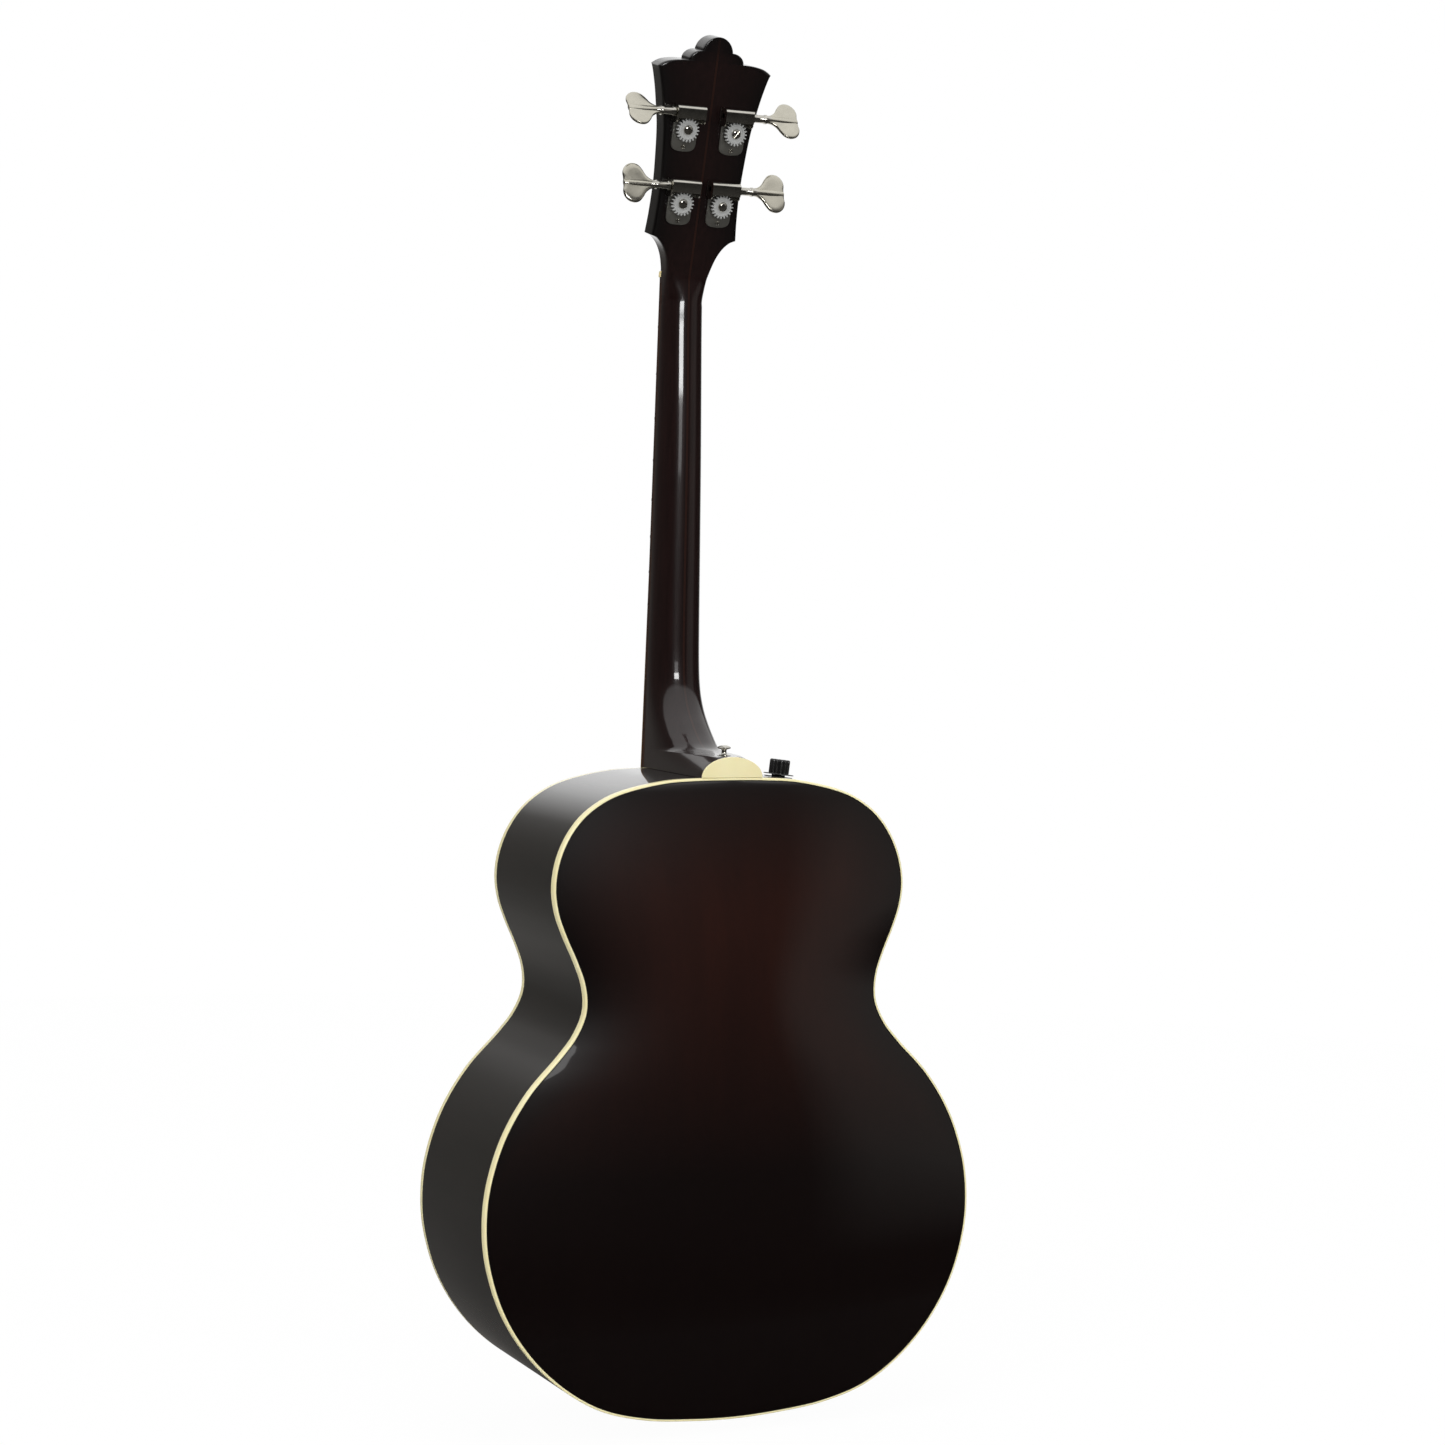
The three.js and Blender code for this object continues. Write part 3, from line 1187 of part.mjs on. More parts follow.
// One tuner in the headstock's frame: plate with its hood, bushing, key with its worm, gear with its post
function buildTuner(index) {
  const { side, place: [acrossPlace, alongPlace], twist } = tunerPlaces[index];
  const x = side * acrossPlace;
  const number = index + 1;
  const plateFace = headBack + seam;
  const plateTop = plateFace + plateThickness;
  const gearMiddle = headBack + gearStand + gearThickness / 2;
  const shaftPlace = alongPlace + gearRadius + wormRadius;

  const [footCorner, footBend] = plateFootShares.map((share) => share * plateHalfWidth);
  const outline = [
    [-footCorner, plateCornerRise - plateBelow], [-footBend, plateCornerRise / 5 - plateBelow],
    [0, -plateBelow], [footBend, plateCornerRise / 5 - plateBelow],
    [footCorner, plateCornerRise - plateBelow],
    [plateHalfWidth, gearRadius + wormRadius - hoodBelow],
    [hoodHalfWidth, gearRadius + wormRadius - hoodBelow],
    [hoodHalfWidth, gearRadius + wormRadius + hoodReach],
    [-hoodHalfWidth, gearRadius + wormRadius + hoodReach],
    [-hoodHalfWidth, gearRadius + wormRadius - hoodBelow],
    [-plateHalfWidth, gearRadius + wormRadius - hoodBelow],
  ].map(([px, pz]) => new THREE.Vector2(x + px, alongPlace + pz));
  const base = slab(outline, plateFace, plateTop);
  const rounded = (reach, radius) => Array.from({ length: 4 }, (_, i) => {
    const angle = quarterTurn * i / 3;
    return new THREE.Vector2(
      gearMiddle + reach - radius + radius * Math.cos(angle),
      shaftPlace + reach - radius + radius * Math.sin(angle),
    );
  });
  const shell = slabAcross([
    new THREE.Vector2(plateFace, shaftPlace - hoodBelow),
    new THREE.Vector2(gearMiddle + hoodReach, shaftPlace - hoodBelow),
    ...rounded(hoodReach, hoodRound), new THREE.Vector2(plateFace, shaftPlace + hoodReach),
  ], x - hoodHalfWidth, x + hoodHalfWidth);
  const cavityReach = hoodReach - hoodWall;
  const cavity = slabAcross([
    new THREE.Vector2(plateTop, shaftPlace - hoodBelow - overrun),
    new THREE.Vector2(gearMiddle + hoodReach + overrun, shaftPlace - hoodBelow - overrun),
    new THREE.Vector2(gearMiddle + hoodReach + overrun, shaftPlace - hoodFaceBelow),
    new THREE.Vector2(gearMiddle + cavityReach, shaftPlace - hoodFaceBelow),
    ...rounded(cavityReach, hoodRound - hoodWall), new THREE.Vector2(plateTop, shaftPlace + cavityReach),
  ], x - hoodHalfWidth + hoodWall, x + hoodHalfWidth - hoodWall);
  const shaftBore = outwards(new THREE.CylinderGeometry(
    journalRadius + seam, journalRadius + seam, hoodHalfWidth * 4, smallHoleSides,
  ), side).translate(x, gearMiddle, shaftPlace);
  const postBore = new THREE.CylinderGeometry(
    postRadius + seam, postRadius + seam, plateThickness * 4, postSides,
  ).translate(x, plateFace, alongPlace);
  const plateBody = cut(joined(base, cut(shell, cavity)), shaftBore, postBore);
  add(headstock, `tuner_plate_${number}`, plateBody, 'chrome');

  const bushingBack = headFront - seam - veneerThickness - seam;
  const bushing = turned([
    [postRadius + seam, bushingBack - bushingFlange], [bushingFlangeRadius, bushingBack - bushingFlange],
    [bushingFlangeRadius, bushingBack], [bushingRadius, bushingBack],
    [bushingRadius, bushingBack + bushingLength],
    [postRadius + seam, bushingBack + bushingLength], [postRadius + seam, bushingBack - bushingFlange],
  ], postSides);
  add(headstock, `tuner_bushing_${number}`, bushing.translate(x, 0, alongPlace), 'chrome');

  const key = keySolid(side, twist).translate(x, gearMiddle, shaftPlace);
  add(headstock, `tuner_key_${number}`, key, 'chrome');

  const gearFront = gearMiddle - gearThickness / 2;
  const gearBack = gearMiddle + gearThickness / 2;
  const postFoot = bushingBack - bushingFlange - seam;
  const post = turned([
    [0, -postTop], [postRadius * postFaceShare, -postTop], [postRadius, -postTop + postTopFlange / 4],
    [postRadius, -postTop + postTopFlange],
    [postWaistRadius, -postTop + postTopFlange * postNeckShare],
    [postWaistRadius, postFoot - postWaistEnd], [postRadius, postFoot - postWaistEnd / 3],
    [postRadius, gearBack], [screwHeadRadius, gearBack],
    [screwHeadRadius * screwDomeShare, gearBack + screwHeadHeight * screwDomeShare],
    [0, gearBack + screwHeadHeight],
  ], postSides);
  const gear = slab(gearOutline(), gearFront, gearBack);
  add(headstock, `tuner_gear_post_${number}`, joined(post, gear).translate(x, 0, alongPlace), 'gear');
}

function gearOutline() {
  const pitchAngle = fullTurn / gearTeeth;
  const tipHalf = toothTipWidth / 2 / gearTipRadius;
  return Array.from({ length: gearTeeth }, (_, i) => {
    const middle = quarterTurn + i * pitchAngle;
    return [
      [gearRootRadius, -pitchAngle / 2], [gearTipRadius, -tipHalf], [gearTipRadius, tipHalf],
    ].map(([radius, offset]) => new THREE.Vector2(
      radius * Math.cos(middle + offset), radius * Math.sin(middle + offset),
    ));
  }).flat();
}

// Key, shaft and worm about the y axis, then laid along the side's x axis
function keySolid(side, twist) {
  const collarStart = hoodHalfWidth + seam;
  const collarEnd = collarStart + collarLength;
  const shaft = turned([
    [0, -hoodHalfWidth], [journalRadius, -hoodHalfWidth], [journalRadius, -wormHalfLength - threadRootHalf],
    [wormCoreRadius, -wormHalfLength], [wormCoreRadius, wormHalfLength],
    [journalRadius, wormHalfLength + threadRootHalf], [journalRadius, collarStart],
    [collarRadius, collarStart], [collarRadius, collarEnd], [keyThickness, collarEnd + keyThickness],
    [keyThickness / 3, collarEnd + keyLength / 3], [0, collarEnd + keyLength / 3],
  ], keySides);
  const steps = wormTurns * wormSteps;
  const thread = sweep(Array.from({ length: steps + 1 }, (_, i) => {
    const turn = i / wormSteps - wormTurns / 2;
    const fade = i === 0 || i === steps ? seam / threadRootHalf : 1;
    const angle = turn * fullTurn;
    const at = (radius, offset) => point(
      radius * Math.sin(angle), turn * wormPitch + offset * fade, radius * Math.cos(angle),
    );
    const tip = blend(wormCoreRadius, wormTipRadius, fade);
    const root = wormCoreRadius - wormSink;
    return [at(root, -threadRootHalf), at(tip, 0), at(root, threadRootHalf)];
  }));
  const edge = keyShares.map(([h, v]) => new THREE.Vector2(v * keyHalfSpan, collarEnd + h * keyLength));
  const other = edge.map((p) => new THREE.Vector2(-p.x, p.y)).reverse();
  const button = new THREE.ExtrudeGeometry(new THREE.Shape([...edge, ...other]), {
    depth: keyThickness, bevelEnabled: false,
  }).translate(0, 0, -keyThickness / 2).rotateY(quarterTurn + side * twist * Math.PI / 180);
  return outwards(joined(shaft, thread, button), side);
}

buildBody();
buildInside();
buildNeck();
buildBridge();
buildHardware();
buildStrings();
tunerPlaces.forEach((_, index) => buildTuner(index));

// The truss rod's adjusting nut sits in the headstock's pocket
function buildTrussNut() {
  const low = nutHeight + trussNutStart;
  const nut = sweep([low, low + trussNutLength].map((z) => circle(
    0, boardPlane(nutHeight) + rodDepth, trussNutRadius, 6,
  ).map((p) => point(p.x, p.y, z))));
  add(instrument, 'truss_rod_nut', nut, 'steel');
}
buildTrussNut();

instrument.position.set(0, -pinCentre, pinHeadLength);
const guitar = new THREE.Group();
guitar.add(instrument);

export default guitar;
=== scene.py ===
"""Acoustic bass guitar: finished pieces, finishes, stage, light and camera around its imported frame.

Lengths in the code are millimetres in the instrument's own frame, as in the part: z runs up the
neck from the tail end of the rim, y = 0 is the soundboard's outer plane, +y is the back.
"""
import math

import bmesh
import bpy
import numpy as np
from mathutils import Matrix, Vector


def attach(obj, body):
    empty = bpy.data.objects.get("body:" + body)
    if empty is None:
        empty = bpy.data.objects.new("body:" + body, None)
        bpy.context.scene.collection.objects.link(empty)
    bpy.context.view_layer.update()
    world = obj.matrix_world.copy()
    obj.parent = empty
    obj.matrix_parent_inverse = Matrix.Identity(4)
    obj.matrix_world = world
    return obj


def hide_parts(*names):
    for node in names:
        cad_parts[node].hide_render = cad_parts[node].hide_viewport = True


bl_info = {
    "name": "Acoustic bass guitar",
    "version": (1, 0, 0),
    "blender": (4, 5, 0),
    "location": "3D View > Sidebar > Bass",
    "description": "Builds the finished pieces of an acoustic bass guitar on its frame",
    "category": "Object",
}

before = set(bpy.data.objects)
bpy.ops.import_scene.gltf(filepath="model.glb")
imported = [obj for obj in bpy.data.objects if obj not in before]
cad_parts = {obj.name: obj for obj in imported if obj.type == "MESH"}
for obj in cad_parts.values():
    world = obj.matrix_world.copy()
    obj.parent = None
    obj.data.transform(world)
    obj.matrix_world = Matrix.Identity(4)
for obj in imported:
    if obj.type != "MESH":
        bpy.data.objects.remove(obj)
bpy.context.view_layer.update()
BODY_NAME = "instrument"

# Sizes of the hollow body
BODY_LENGTH = 544.4
BODY_HALF_WIDTH = 227.5
TAIL_DEPTH = 167.7
NECK_END_DEPTH = 132.5
SIDE_THICKNESS = 2.6
BACK_THICKNESS = 3.0
TOP_THICKNESS = 3.2
BACK_ARCH = 14.0
GRAFT_HALF_WIDTH = 11.0
BINDING_WIDTH = 1.95
BINDING_HEIGHT = 6.5
SOUND_HOLE = (0.0, 375.0, 50.0)
PIN_HEAD = 12.0
# What keeps a finished face off the face that it lies on
FACE_GAP = .02
# Points nearer than this are one, in metres
MERGE_DISTANCE = 2e-6
# Half the body's outline, as shares of its half width and its length
HALF_OUTLINE_SHARES = [
    (0, 0), (.1846, .0031), (.3692, .0116), (.5468, .0327), (.7046, .0735), (.8356, .1284),
    (.9327, .1943), (.9881, .2682), (1, .3252), (.9851, .3839), (.9262, .4574), (.8273, .5233),
    (.6998, .5792), (.6409, .6095), (.6044, .6449), (.6079, .6824), (.6396, .7201), (.68, .757),
    (.7121, .7934), (.7244, .831), (.7112, .8701), (.6743, .9074), (.6171, .9394),
    (.5433, .9631), (.4585, .9792), (.2774, .9956), (.1385, .9993), (0, 1),
]
OUTLINE_STEPS = 24
RIM_STEPS = 150
# How far the sprayed shading reaches in from the rim; and the painted shade that darkens the back towards the
# tail for the light falling off there: its share, and where and over what length it fades out going up
BACK_SHADING_REACH = 120
TOP_SHADING_REACH = 90
TAIL_PAINTED_SHADE_SHARE = .92
TAIL_PAINTED_SHADE_START = 210
TAIL_PAINTED_SHADE_LENGTH = 200
SHADING_SQUARE = 18

# Sizes of the board, the neck and the headstock
SCALE = 781.0
NUT_HEIGHT = 977.504
BOARD_THICKNESS = 6.0
BOARD_RADIUS = 305.0
BOARD_LENGTH = 545.0
BOARD_FALL = 3.3
BOARD_SINK = .3
JOINT_HALF_WIDTH = 24.2
NUT_HALF_WIDTH = 18.5
NUT_LENGTH = 5.2
FRET_COUNT = 20
HEEL_HALF_WIDTH = 28.5
HEEL_REACH = 17.7
HEEL_CAP_THICKNESS = 2.0
HEEL_BACK = NECK_END_DEPTH - HEEL_CAP_THICKNESS
HEEL_FLARE = (HEEL_HALF_WIDTH - JOINT_HALF_WIDTH) / JOINT_HALF_WIDTH
# Where the heel's flare has faded out up the neck, and over what length it fades
HEEL_FLARE_END = 380
HEEL_FLARE_FADE = 120
# Superellipse powers of the neck's section: at the body, along the shaft and on the headstock
HEEL_POWER = 4
SHAFT_POWER = 2.3
HEAD_POWER = 17.3
# The neck's depth behind the board's plane: height above the body, depth, superellipse power
NECK_PROFILE = [
    (17.6, 126, 2.3), (18, 110, 2.4), (19, 90, 2.6), (20.8, 77, 2.8), (24, 69, 3), (29.5, 61, 3.1),
    (35, 54.6, 3.05), (42, 47.8, 2.9), (50, 40.8, 2.75), (58, 35.6, 2.6), (67, 31.6, 2.45),
    (78, 28.6, 2.35), (95, 26.4, 2.3), (125, 25, 2.3), (200, 23.6, 2.3), (285, 21.8, 2.3),
    (345, 19.6, 2.3), (385, 17.9, 2.3), (408, 17.5, 2.3),
]
HEAD_TILT = math.radians(14.55)
HEAD_SETBACK = .55
HEAD_BACK = 20.17
HEAD_FRONT = 4.2
HEAD_LENGTH = 212.2
HEAD_HALF_WIDTH = 53.8
HEAD_SHADING_WIDTH = 30
BEND_SOFTNESS = 1.4
# The headstock's edge up to its lobe, as shares of its half width and length; the number of the
# point at its sharp corner; and where the lobe ends and the crown begins
HEAD_OUTLINE_SHARES = [
    (.752, .1817), (.728, .257), (.713, .3795), (.73, .4878), (.774, .6243), (.828, .7015),
    (.903, .7915), (.986, .862), (1, .8665), (.931, .8785), (.85, .888), (.677, .8965),
    (.485, .8985),
]
HEAD_CORNER = 8
LOBE_END_SHARES = (.272, .9405)
# How the shaft widens into the headstock, as shares of the way
FLARE_SHARES = [(0, 0), (.01, .16), (.045, .34), (.12, .54), (.26, .72), (.48, .865), (.75, .96), (1, 1)]
FLARE_START = -22.0

# The strings' places at the bridge and the nut
STRING_COUNT = 4
STRING_GAP = 19.0
BRIDGE_SPREAD = STRING_GAP * (STRING_COUNT - 1) / 2
NUT_SPREAD = 15.0
PIN_ROW = 181.4
BRIDGE_CROWN = 9.0
SADDLE_HEIGHT = 198.4
SADDLE_SLANT = 2.2
SADDLE_CREST = 13.3
SADDLE_NOTCH = .05
STRING_RADII = [1.3, 1.08, .83, .57]

# Tuners: side, across and along the headstock, turn of the key's blade in degrees
TUNERS = [(-1, 19.0, 68.8, 27), (-1, 22.8, 132.2, 40), (1, 22.8, 132.2, 48), (1, 19.0, 68.8, 24)]
TUNER_HALF_WIDTH = 13.4
TUNER_PLATE_TOP = HEAD_BACK + 1.5
GEAR_MIDDLE = HEAD_BACK + 6.7
GEAR_HALF_THICKNESS = 1.5
SHAFT_OFFSET = 14.7
POST_WAIST = 4.6

# Sizes of the control on the rim
POT_SEAT = (-62.7, 93.0, 541.407)
POT_AXIS = (-.113874, 0, .993495)
KNOB_RADIUS = 9.0

# The stage, in metres
FLOOR_FRONT = .42
FLOOR_BEHIND = 2.6
FLOOR_HALF_WIDTH = 2.4
FLOOR_SIDES = 96
FLOOR_WHITE_SHARE = .975
# What gloss mirrors: the walls by degrees from +x to +y, the ceiling and the ground by steepness
ROOM_WALLS = [
    (-180, .02), (-150, .03), (-128, .9), (-118, 1), (-100, 1), (-80, .16), (-62, .09), (-45, .06),
    (0, .05), (70, .02), (121, .014), (126, .2), (142, .26), (150, .24), (160, .03), (180, .02),
]
ROOM_CEILING = [(0, 0), (.36, 0), (.44, .85), (.7, .95), (1, 1)]
ROOM_GROUND = [(0, 0), (.2, 0), (.32, .04), (1, .04)]
# The photographer's side gets dark towards the ground: share kept, by steepness plus a half
ROOM_FADE = [(0, 0), (.34, 0), (.45, 1), (1, 1)]
# Lamps: name, place, target, size, watts, and whether the lacquer mirrors it
LAMPS = [
    ("key_softbox", (2.6, 1.6, 2.6), (0, 0, .6), (1.2, 1.6), 42, False),
    ("fill_softbox", (-2.4, 2.4, 1.6), (0, 0, .5), (1.4, 1.8), 22, False),
    ("crown_softbox", (.2, .2, 3.6), (0, 0, .6), (1.6, 1.2), 30, False),
    ("front_softbox", (-1.4, -2.6, 2.2), (0, 0, .6), (1.4, 1.8), 26, False),
    ("neck_highlight", (.09, 2.62, 1.32), (0, 0, .9), (.95, .24), 12, True),
    ("neck_glow", (.09, 2.62, 1.12), (0, 0, .9), (.7, .3), 1.3, True),
]
# The photograph's viewpoint: place in metres, yaw, pitch and roll in radians, lens in millimetres
CAMERA_PLACE = (1.1349095, 2.4211824, .7399541)
CAMERA_TURN = (-.44244757, -.05186233, .02333183)
CAMERA_LENS = 77.04
SENSOR_WIDTH = 36


# Small mathematics
def centripetal(points, per, closed=False):
    """A smooth curve through points: per steps in each stretch, ends included when it is open."""
    p = np.asarray(points, float)
    n = len(p)
    spans = n if closed else n - 1
    out = []
    for i in range(spans):
        if closed:
            a, b, c, d = (p[(i + k) % n] for k in (-1, 0, 1, 2))
        else:
            b, c = p[i], p[i + 1]
            a = p[i - 1] if i else 2 * b - c
            d = p[i + 2] if i + 2 < n else 2 * c - b
        t0, t1, t2 = (max(np.linalg.norm(v - u), 1e-9) ** .5 for u, v in ((a, b), (b, c), (c, d)))
        m1 = ((b - a) / t0 - (c - a) / (t0 + t1) + (c - b) / t1) * t1
        m2 = ((c - b) / t1 - (d - b) / (t1 + t2) + (d - c) / t2) * t1
        for k in range(per):
            t = k / per
            square = (3 * c - 3 * b - 2 * m1 - m2) * t * t
            cube = (2 * b - 2 * c + m1 + m2) * t ** 3
            out.append(b + m1 * t + square + cube)
    if not closed:
        out.append(p[-1])
    return np.array(out)


def evenly(points, count):
    """The same line cut into count equal steps."""
    p = np.asarray(points, float)
    run = np.concatenate([[0], np.cumsum(np.linalg.norm(np.diff(p, axis=0), axis=1))])
    at = np.linspace(0, run[-1], count + 1)
    return np.stack([np.interp(at, run, p[:, k]) for k in range(p.shape[1])], axis=1)


def between(value, low=0, high=1):
    """The value, held between low and high."""
    return min(max(value, low), high)


def round_turn(count):
    """The angles of count even steps round a full turn."""
    return [2 * math.pi * k / count for k in range(count)]


def rim_half():
    """Half of the outline, from the tail to the neck end, as x and z."""
    half = [(x * BODY_HALF_WIDTH, z * BODY_LENGTH) for x, z in HALF_OUTLINE_SHARES]
    mirrored = [(-x, z) for x, z in half[1:-1]][::-1]
    whole = centripetal(half + mirrored, OUTLINE_STEPS, closed=True)
    side = evenly(whole[:(len(half) - 1) * OUTLINE_STEPS + 1], RIM_STEPS)
    side[0, 0] = side[-1, 0] = 0
    return side


def rim_normals(rim):
    """Outward directions at the points of the closed outline."""
    along = np.roll(rim, -1, axis=0) - np.roll(rim, 1, axis=0)
    along /= np.linalg.norm(along, axis=1)[:, None]
    return np.stack([along[:, 1], -along[:, 0]], axis=1)


RIM_HALF = rim_half()
RIM = np.vstack([RIM_HALF, RIM_HALF[1:-1][::-1] * [-1, 1]])
RIM_NORMALS = rim_normals(RIM)
RIM_STEP = float(np.linalg.norm(RIM_HALF[1] - RIM_HALF[0]))


def inset(distance):
    """The outline, moved inwards."""
    return RIM - RIM_NORMALS * distance


def back_plane(z):
    """Depth of the back's edge."""
    return TAIL_DEPTH + (NECK_END_DEPTH - TAIL_DEPTH) * z / BODY_LENGTH


def arch(u, z):
    """How far the back swells past its edge, u being the share of the half width."""
    return BACK_ARCH * (1 - u ** 2) * max(1 - abs(2 * z / BODY_LENGTH - 1) ** 4, 0)


def up_the_neck(z):
    """0 where the neck joins the body, 1 at the nut."""
    return (z - BODY_LENGTH) / (NUT_HEIGHT - BODY_LENGTH)


def board_plane(z):
    """Depth of the plane between the board and the neck."""
    return BOARD_FALL * up_the_neck(z) - BOARD_SINK


def board_half_width(z):
    """Half the width of the board and the neck."""
    return JOINT_HALF_WIDTH + (NUT_HALF_WIDTH - JOINT_HALF_WIDTH) * up_the_neck(z)


def board_sag(x):
    """How far the board's round top has dropped at x from the middle."""
    return BOARD_RADIUS - math.sqrt(BOARD_RADIUS ** 2 - x ** 2)


def board_top(x, z):
    """Depth of the board's round playing face."""
    return board_plane(z) - BOARD_THICKNESS + board_sag(x)


def fret_height(fret):
    """Place of a fret by the rule of the twelfth root of two; 0 is the nut."""
    return NUT_HEIGHT - SCALE * (1 - 2 ** (-fret / 12))


def string_x(number, spread):
    """Place of a string (0 to 3) in a row that reaches spread to each side."""
    return -spread + 2 * spread * number / (STRING_COUNT - 1)


HEAD = Matrix.Translation((0, HEAD_SETBACK, NUT_HEIGHT)) @ Matrix.Rotation(-HEAD_TILT, 4, "X")
POT = Matrix.Translation(POT_SEAT) @ Vector(POT_AXIS).to_track_quat("Y", "X").to_matrix().to_4x4()


# Meshes
def to_metres(p):
    """A place in millimetres as metres in the frame's own axes."""
    return p.x / 1000, (p.y - TAIL_DEPTH / 2) / 1000, (p.z + PIN_HEAD) / 1000


def to_millimetres(p):
    """A mesh point as a place in millimetres."""
    return Vector((p.x * 1000, p.y * 1000 + TAIL_DEPTH / 2, p.z * 1000 - PIN_HEAD))


def closed_mesh(name, points, faces):
    """A mesh from points in metres, merged where they meet and facing outwards."""
    mesh = bpy.data.meshes.new(name)
    mesh.from_pydata(points, [], [tuple(int(i) for i in f) for f in faces])
    work = bmesh.new()
    work.from_mesh(mesh)
    bmesh.ops.remove_doubles(work, verts=work.verts, dist=MERGE_DISTANCE)
    bmesh.ops.recalc_face_normals(work, faces=work.faces)
    work.to_mesh(mesh)
    work.free()
    return mesh


def new_piece(name, shape, material, smooth=35, matrix=None, body=BODY_NAME, slot=None, replaces=()):
    """A piece from a shape's points in millimetres and faces; it sits at the origin."""
    points, faces = shape
    if matrix is not None:
        points, faces = moved(shape, matrix)
    mesh = closed_mesh(name, [to_metres(Vector(p)) for p in points], faces)
    obj = bpy.data.objects.new(name, mesh)
    bpy.context.collection.objects.link(obj)
    return dress(obj, material, smooth, body, replaces)


def dress(obj, material, smooth, body, replaces=()):
    """Material, shading, the body it moves with and the nodes it stands for."""
    mesh = obj.data
    mesh.materials.clear()
    mesh.materials.append(material)
    mesh.shade_smooth()
    mesh.set_sharp_from_angle(angle=math.radians(smooth))
    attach(obj, body)
    if replaces:
        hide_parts(*replaces)
    return obj


def evaluated_mesh(obj):
    """A plain mesh of an object as its curve settings or its node tree make it."""
    bpy.context.view_layer.update()
    return bpy.data.meshes.new_from_object(obj.evaluated_get(bpy.context.evaluated_depsgraph_get()))


def store(mesh, name, values):
    """A number for each point of a mesh, which its material reads."""
    mesh.attributes.new(name, "FLOAT", "POINT").data.foreach_set("value", values)


def loft(sections, closed=False):
    """Points and faces of a skin over rings of equal count, capped at both ends unless it closes."""
    count = len(sections[0])
    points = [p for s in sections for p in s]
    faces = []
    for s in range(len(sections) if closed else len(sections) - 1):
        here, there = s * count, (s + 1) % len(sections) * count
        for i in range(count):
            j = (i + 1) % count
            faces.append((here + i, here + j, there + j, there + i))
    if not closed:
        faces.append(tuple(range(count))[::-1])
        faces.append(tuple(range(len(points) - count, len(points))))
    return points, faces


def turned(profile, sides=64, axis="Y"):
    """A form turned about the Y or Z axis from (radius, height) pairs, closed at both ends."""
    rings = []
    for a in round_turn(sides):
        c, s = math.cos(a), math.sin(a)
        rings.append([(r * c, h, r * s) if axis == "Y" else (r * c, r * s, h) for r, h in profile])
    return loft(rings, closed=True)


def rounded(profile, radius, steps=3):
    """The same (radius, height) profile with its inner corners rounded by a small radius."""
    p = [Vector(q) for q in profile]
    out = [tuple(p[0])]
    for i in range(1, len(p) - 1):
        before, after = p[i - 1] - p[i], p[i + 1] - p[i]
        r = min(radius, before.length * .45, after.length * .45)
        a, b = p[i] + before.normalized() * r, p[i] + after.normalized() * r
        for k in range(steps + 1):
            t = k / steps
            out.append(tuple(a * (1 - t) ** 2 + p[i] * 2 * t * (1 - t) + b * t * t))
    out.append(tuple(p[-1]))
    return out


def plate(name, outlines, low, high, bevel, material, steps=3, **more):
    """A flat piece from outlines in x and z (the first is the edge, the rest are holes), with
    eased edges."""
    curve = bpy.data.curves.new(name + "_outline", "CURVE")
    curve.dimensions = "2D"
    curve.fill_mode = "BOTH"
    curve.extrude = (high - low) / 2 - bevel
    curve.bevel_depth = bevel
    curve.bevel_resolution = steps
    curve.offset = -bevel
    for outline in outlines:
        spline = curve.splines.new("POLY")
        spline.points.add(len(outline) - 1)
        for point, (x, z) in zip(spline.points, outline):
            point.co = (x, z, 0, 1)
        spline.use_cyclic_u = True
    flat = bpy.data.objects.new(name + "_outline", curve)
    bpy.context.collection.objects.link(flat)
    mesh = evaluated_mesh(flat)
    middle = (low + high) / 2
    points = [(v.co.x, v.co.z + middle, v.co.y) for v in mesh.vertices]
    faces = [tuple(f.vertices) for f in mesh.polygons]
    bpy.data.objects.remove(flat)
    bpy.data.curves.remove(curve)
    bpy.data.meshes.remove(mesh)
    return new_piece(name, (points, faces), material, **more)


def circle(x, z, radius, sides=64):
    """The outline of a round hole."""
    return [(x + radius * math.cos(a), z + radius * math.sin(a)) for a in round_turn(sides)]


def tube(path, radius, sides):
    """A round section carried along a path."""
    p = [Vector(q) for q in path]
    across = Vector((1, 0, 0))
    rings = []
    for i, q in enumerate(p):
        along = (p[min(i + 1, len(p) - 1)] - p[max(i - 1, 0)]).normalized()
        across = (across - along * across.dot(along)).normalized()
        other = along.cross(across)
        rings.append([q + across * radius * math.cos(a) + other * radius * math.sin(a)
                      for a in round_turn(sides)])
    return loft(rings)


def together(*shapes):
    """Several shells as one piece."""
    points, faces = [], []
    for some_points, some_faces in shapes:
        start = len(points)
        points += list(some_points)
        faces += [tuple(i + start for i in f) for f in some_faces]
    return points, faces


def moved(shape, matrix):
    """The same shape, put in place by a matrix."""
    points, faces = shape
    return [matrix @ Vector(p) for p in points], faces


# Colour and nodes
def colour(code):
    """An sRGB hex value as linear red, green, blue and alpha."""
    parts = [int(code.lstrip("#")[i:i + 2], 16) / 255 for i in (0, 2, 4)]
    return tuple(c / 12.92 if c <= .04045 else ((c + .055) / 1.055) ** 2.4 for c in parts) + (1.0,)


def darker(value, share):
    """The same linear colour at a share of its brightness."""
    return tuple(c * share for c in tuple(value)[:3]) + (1.0,)


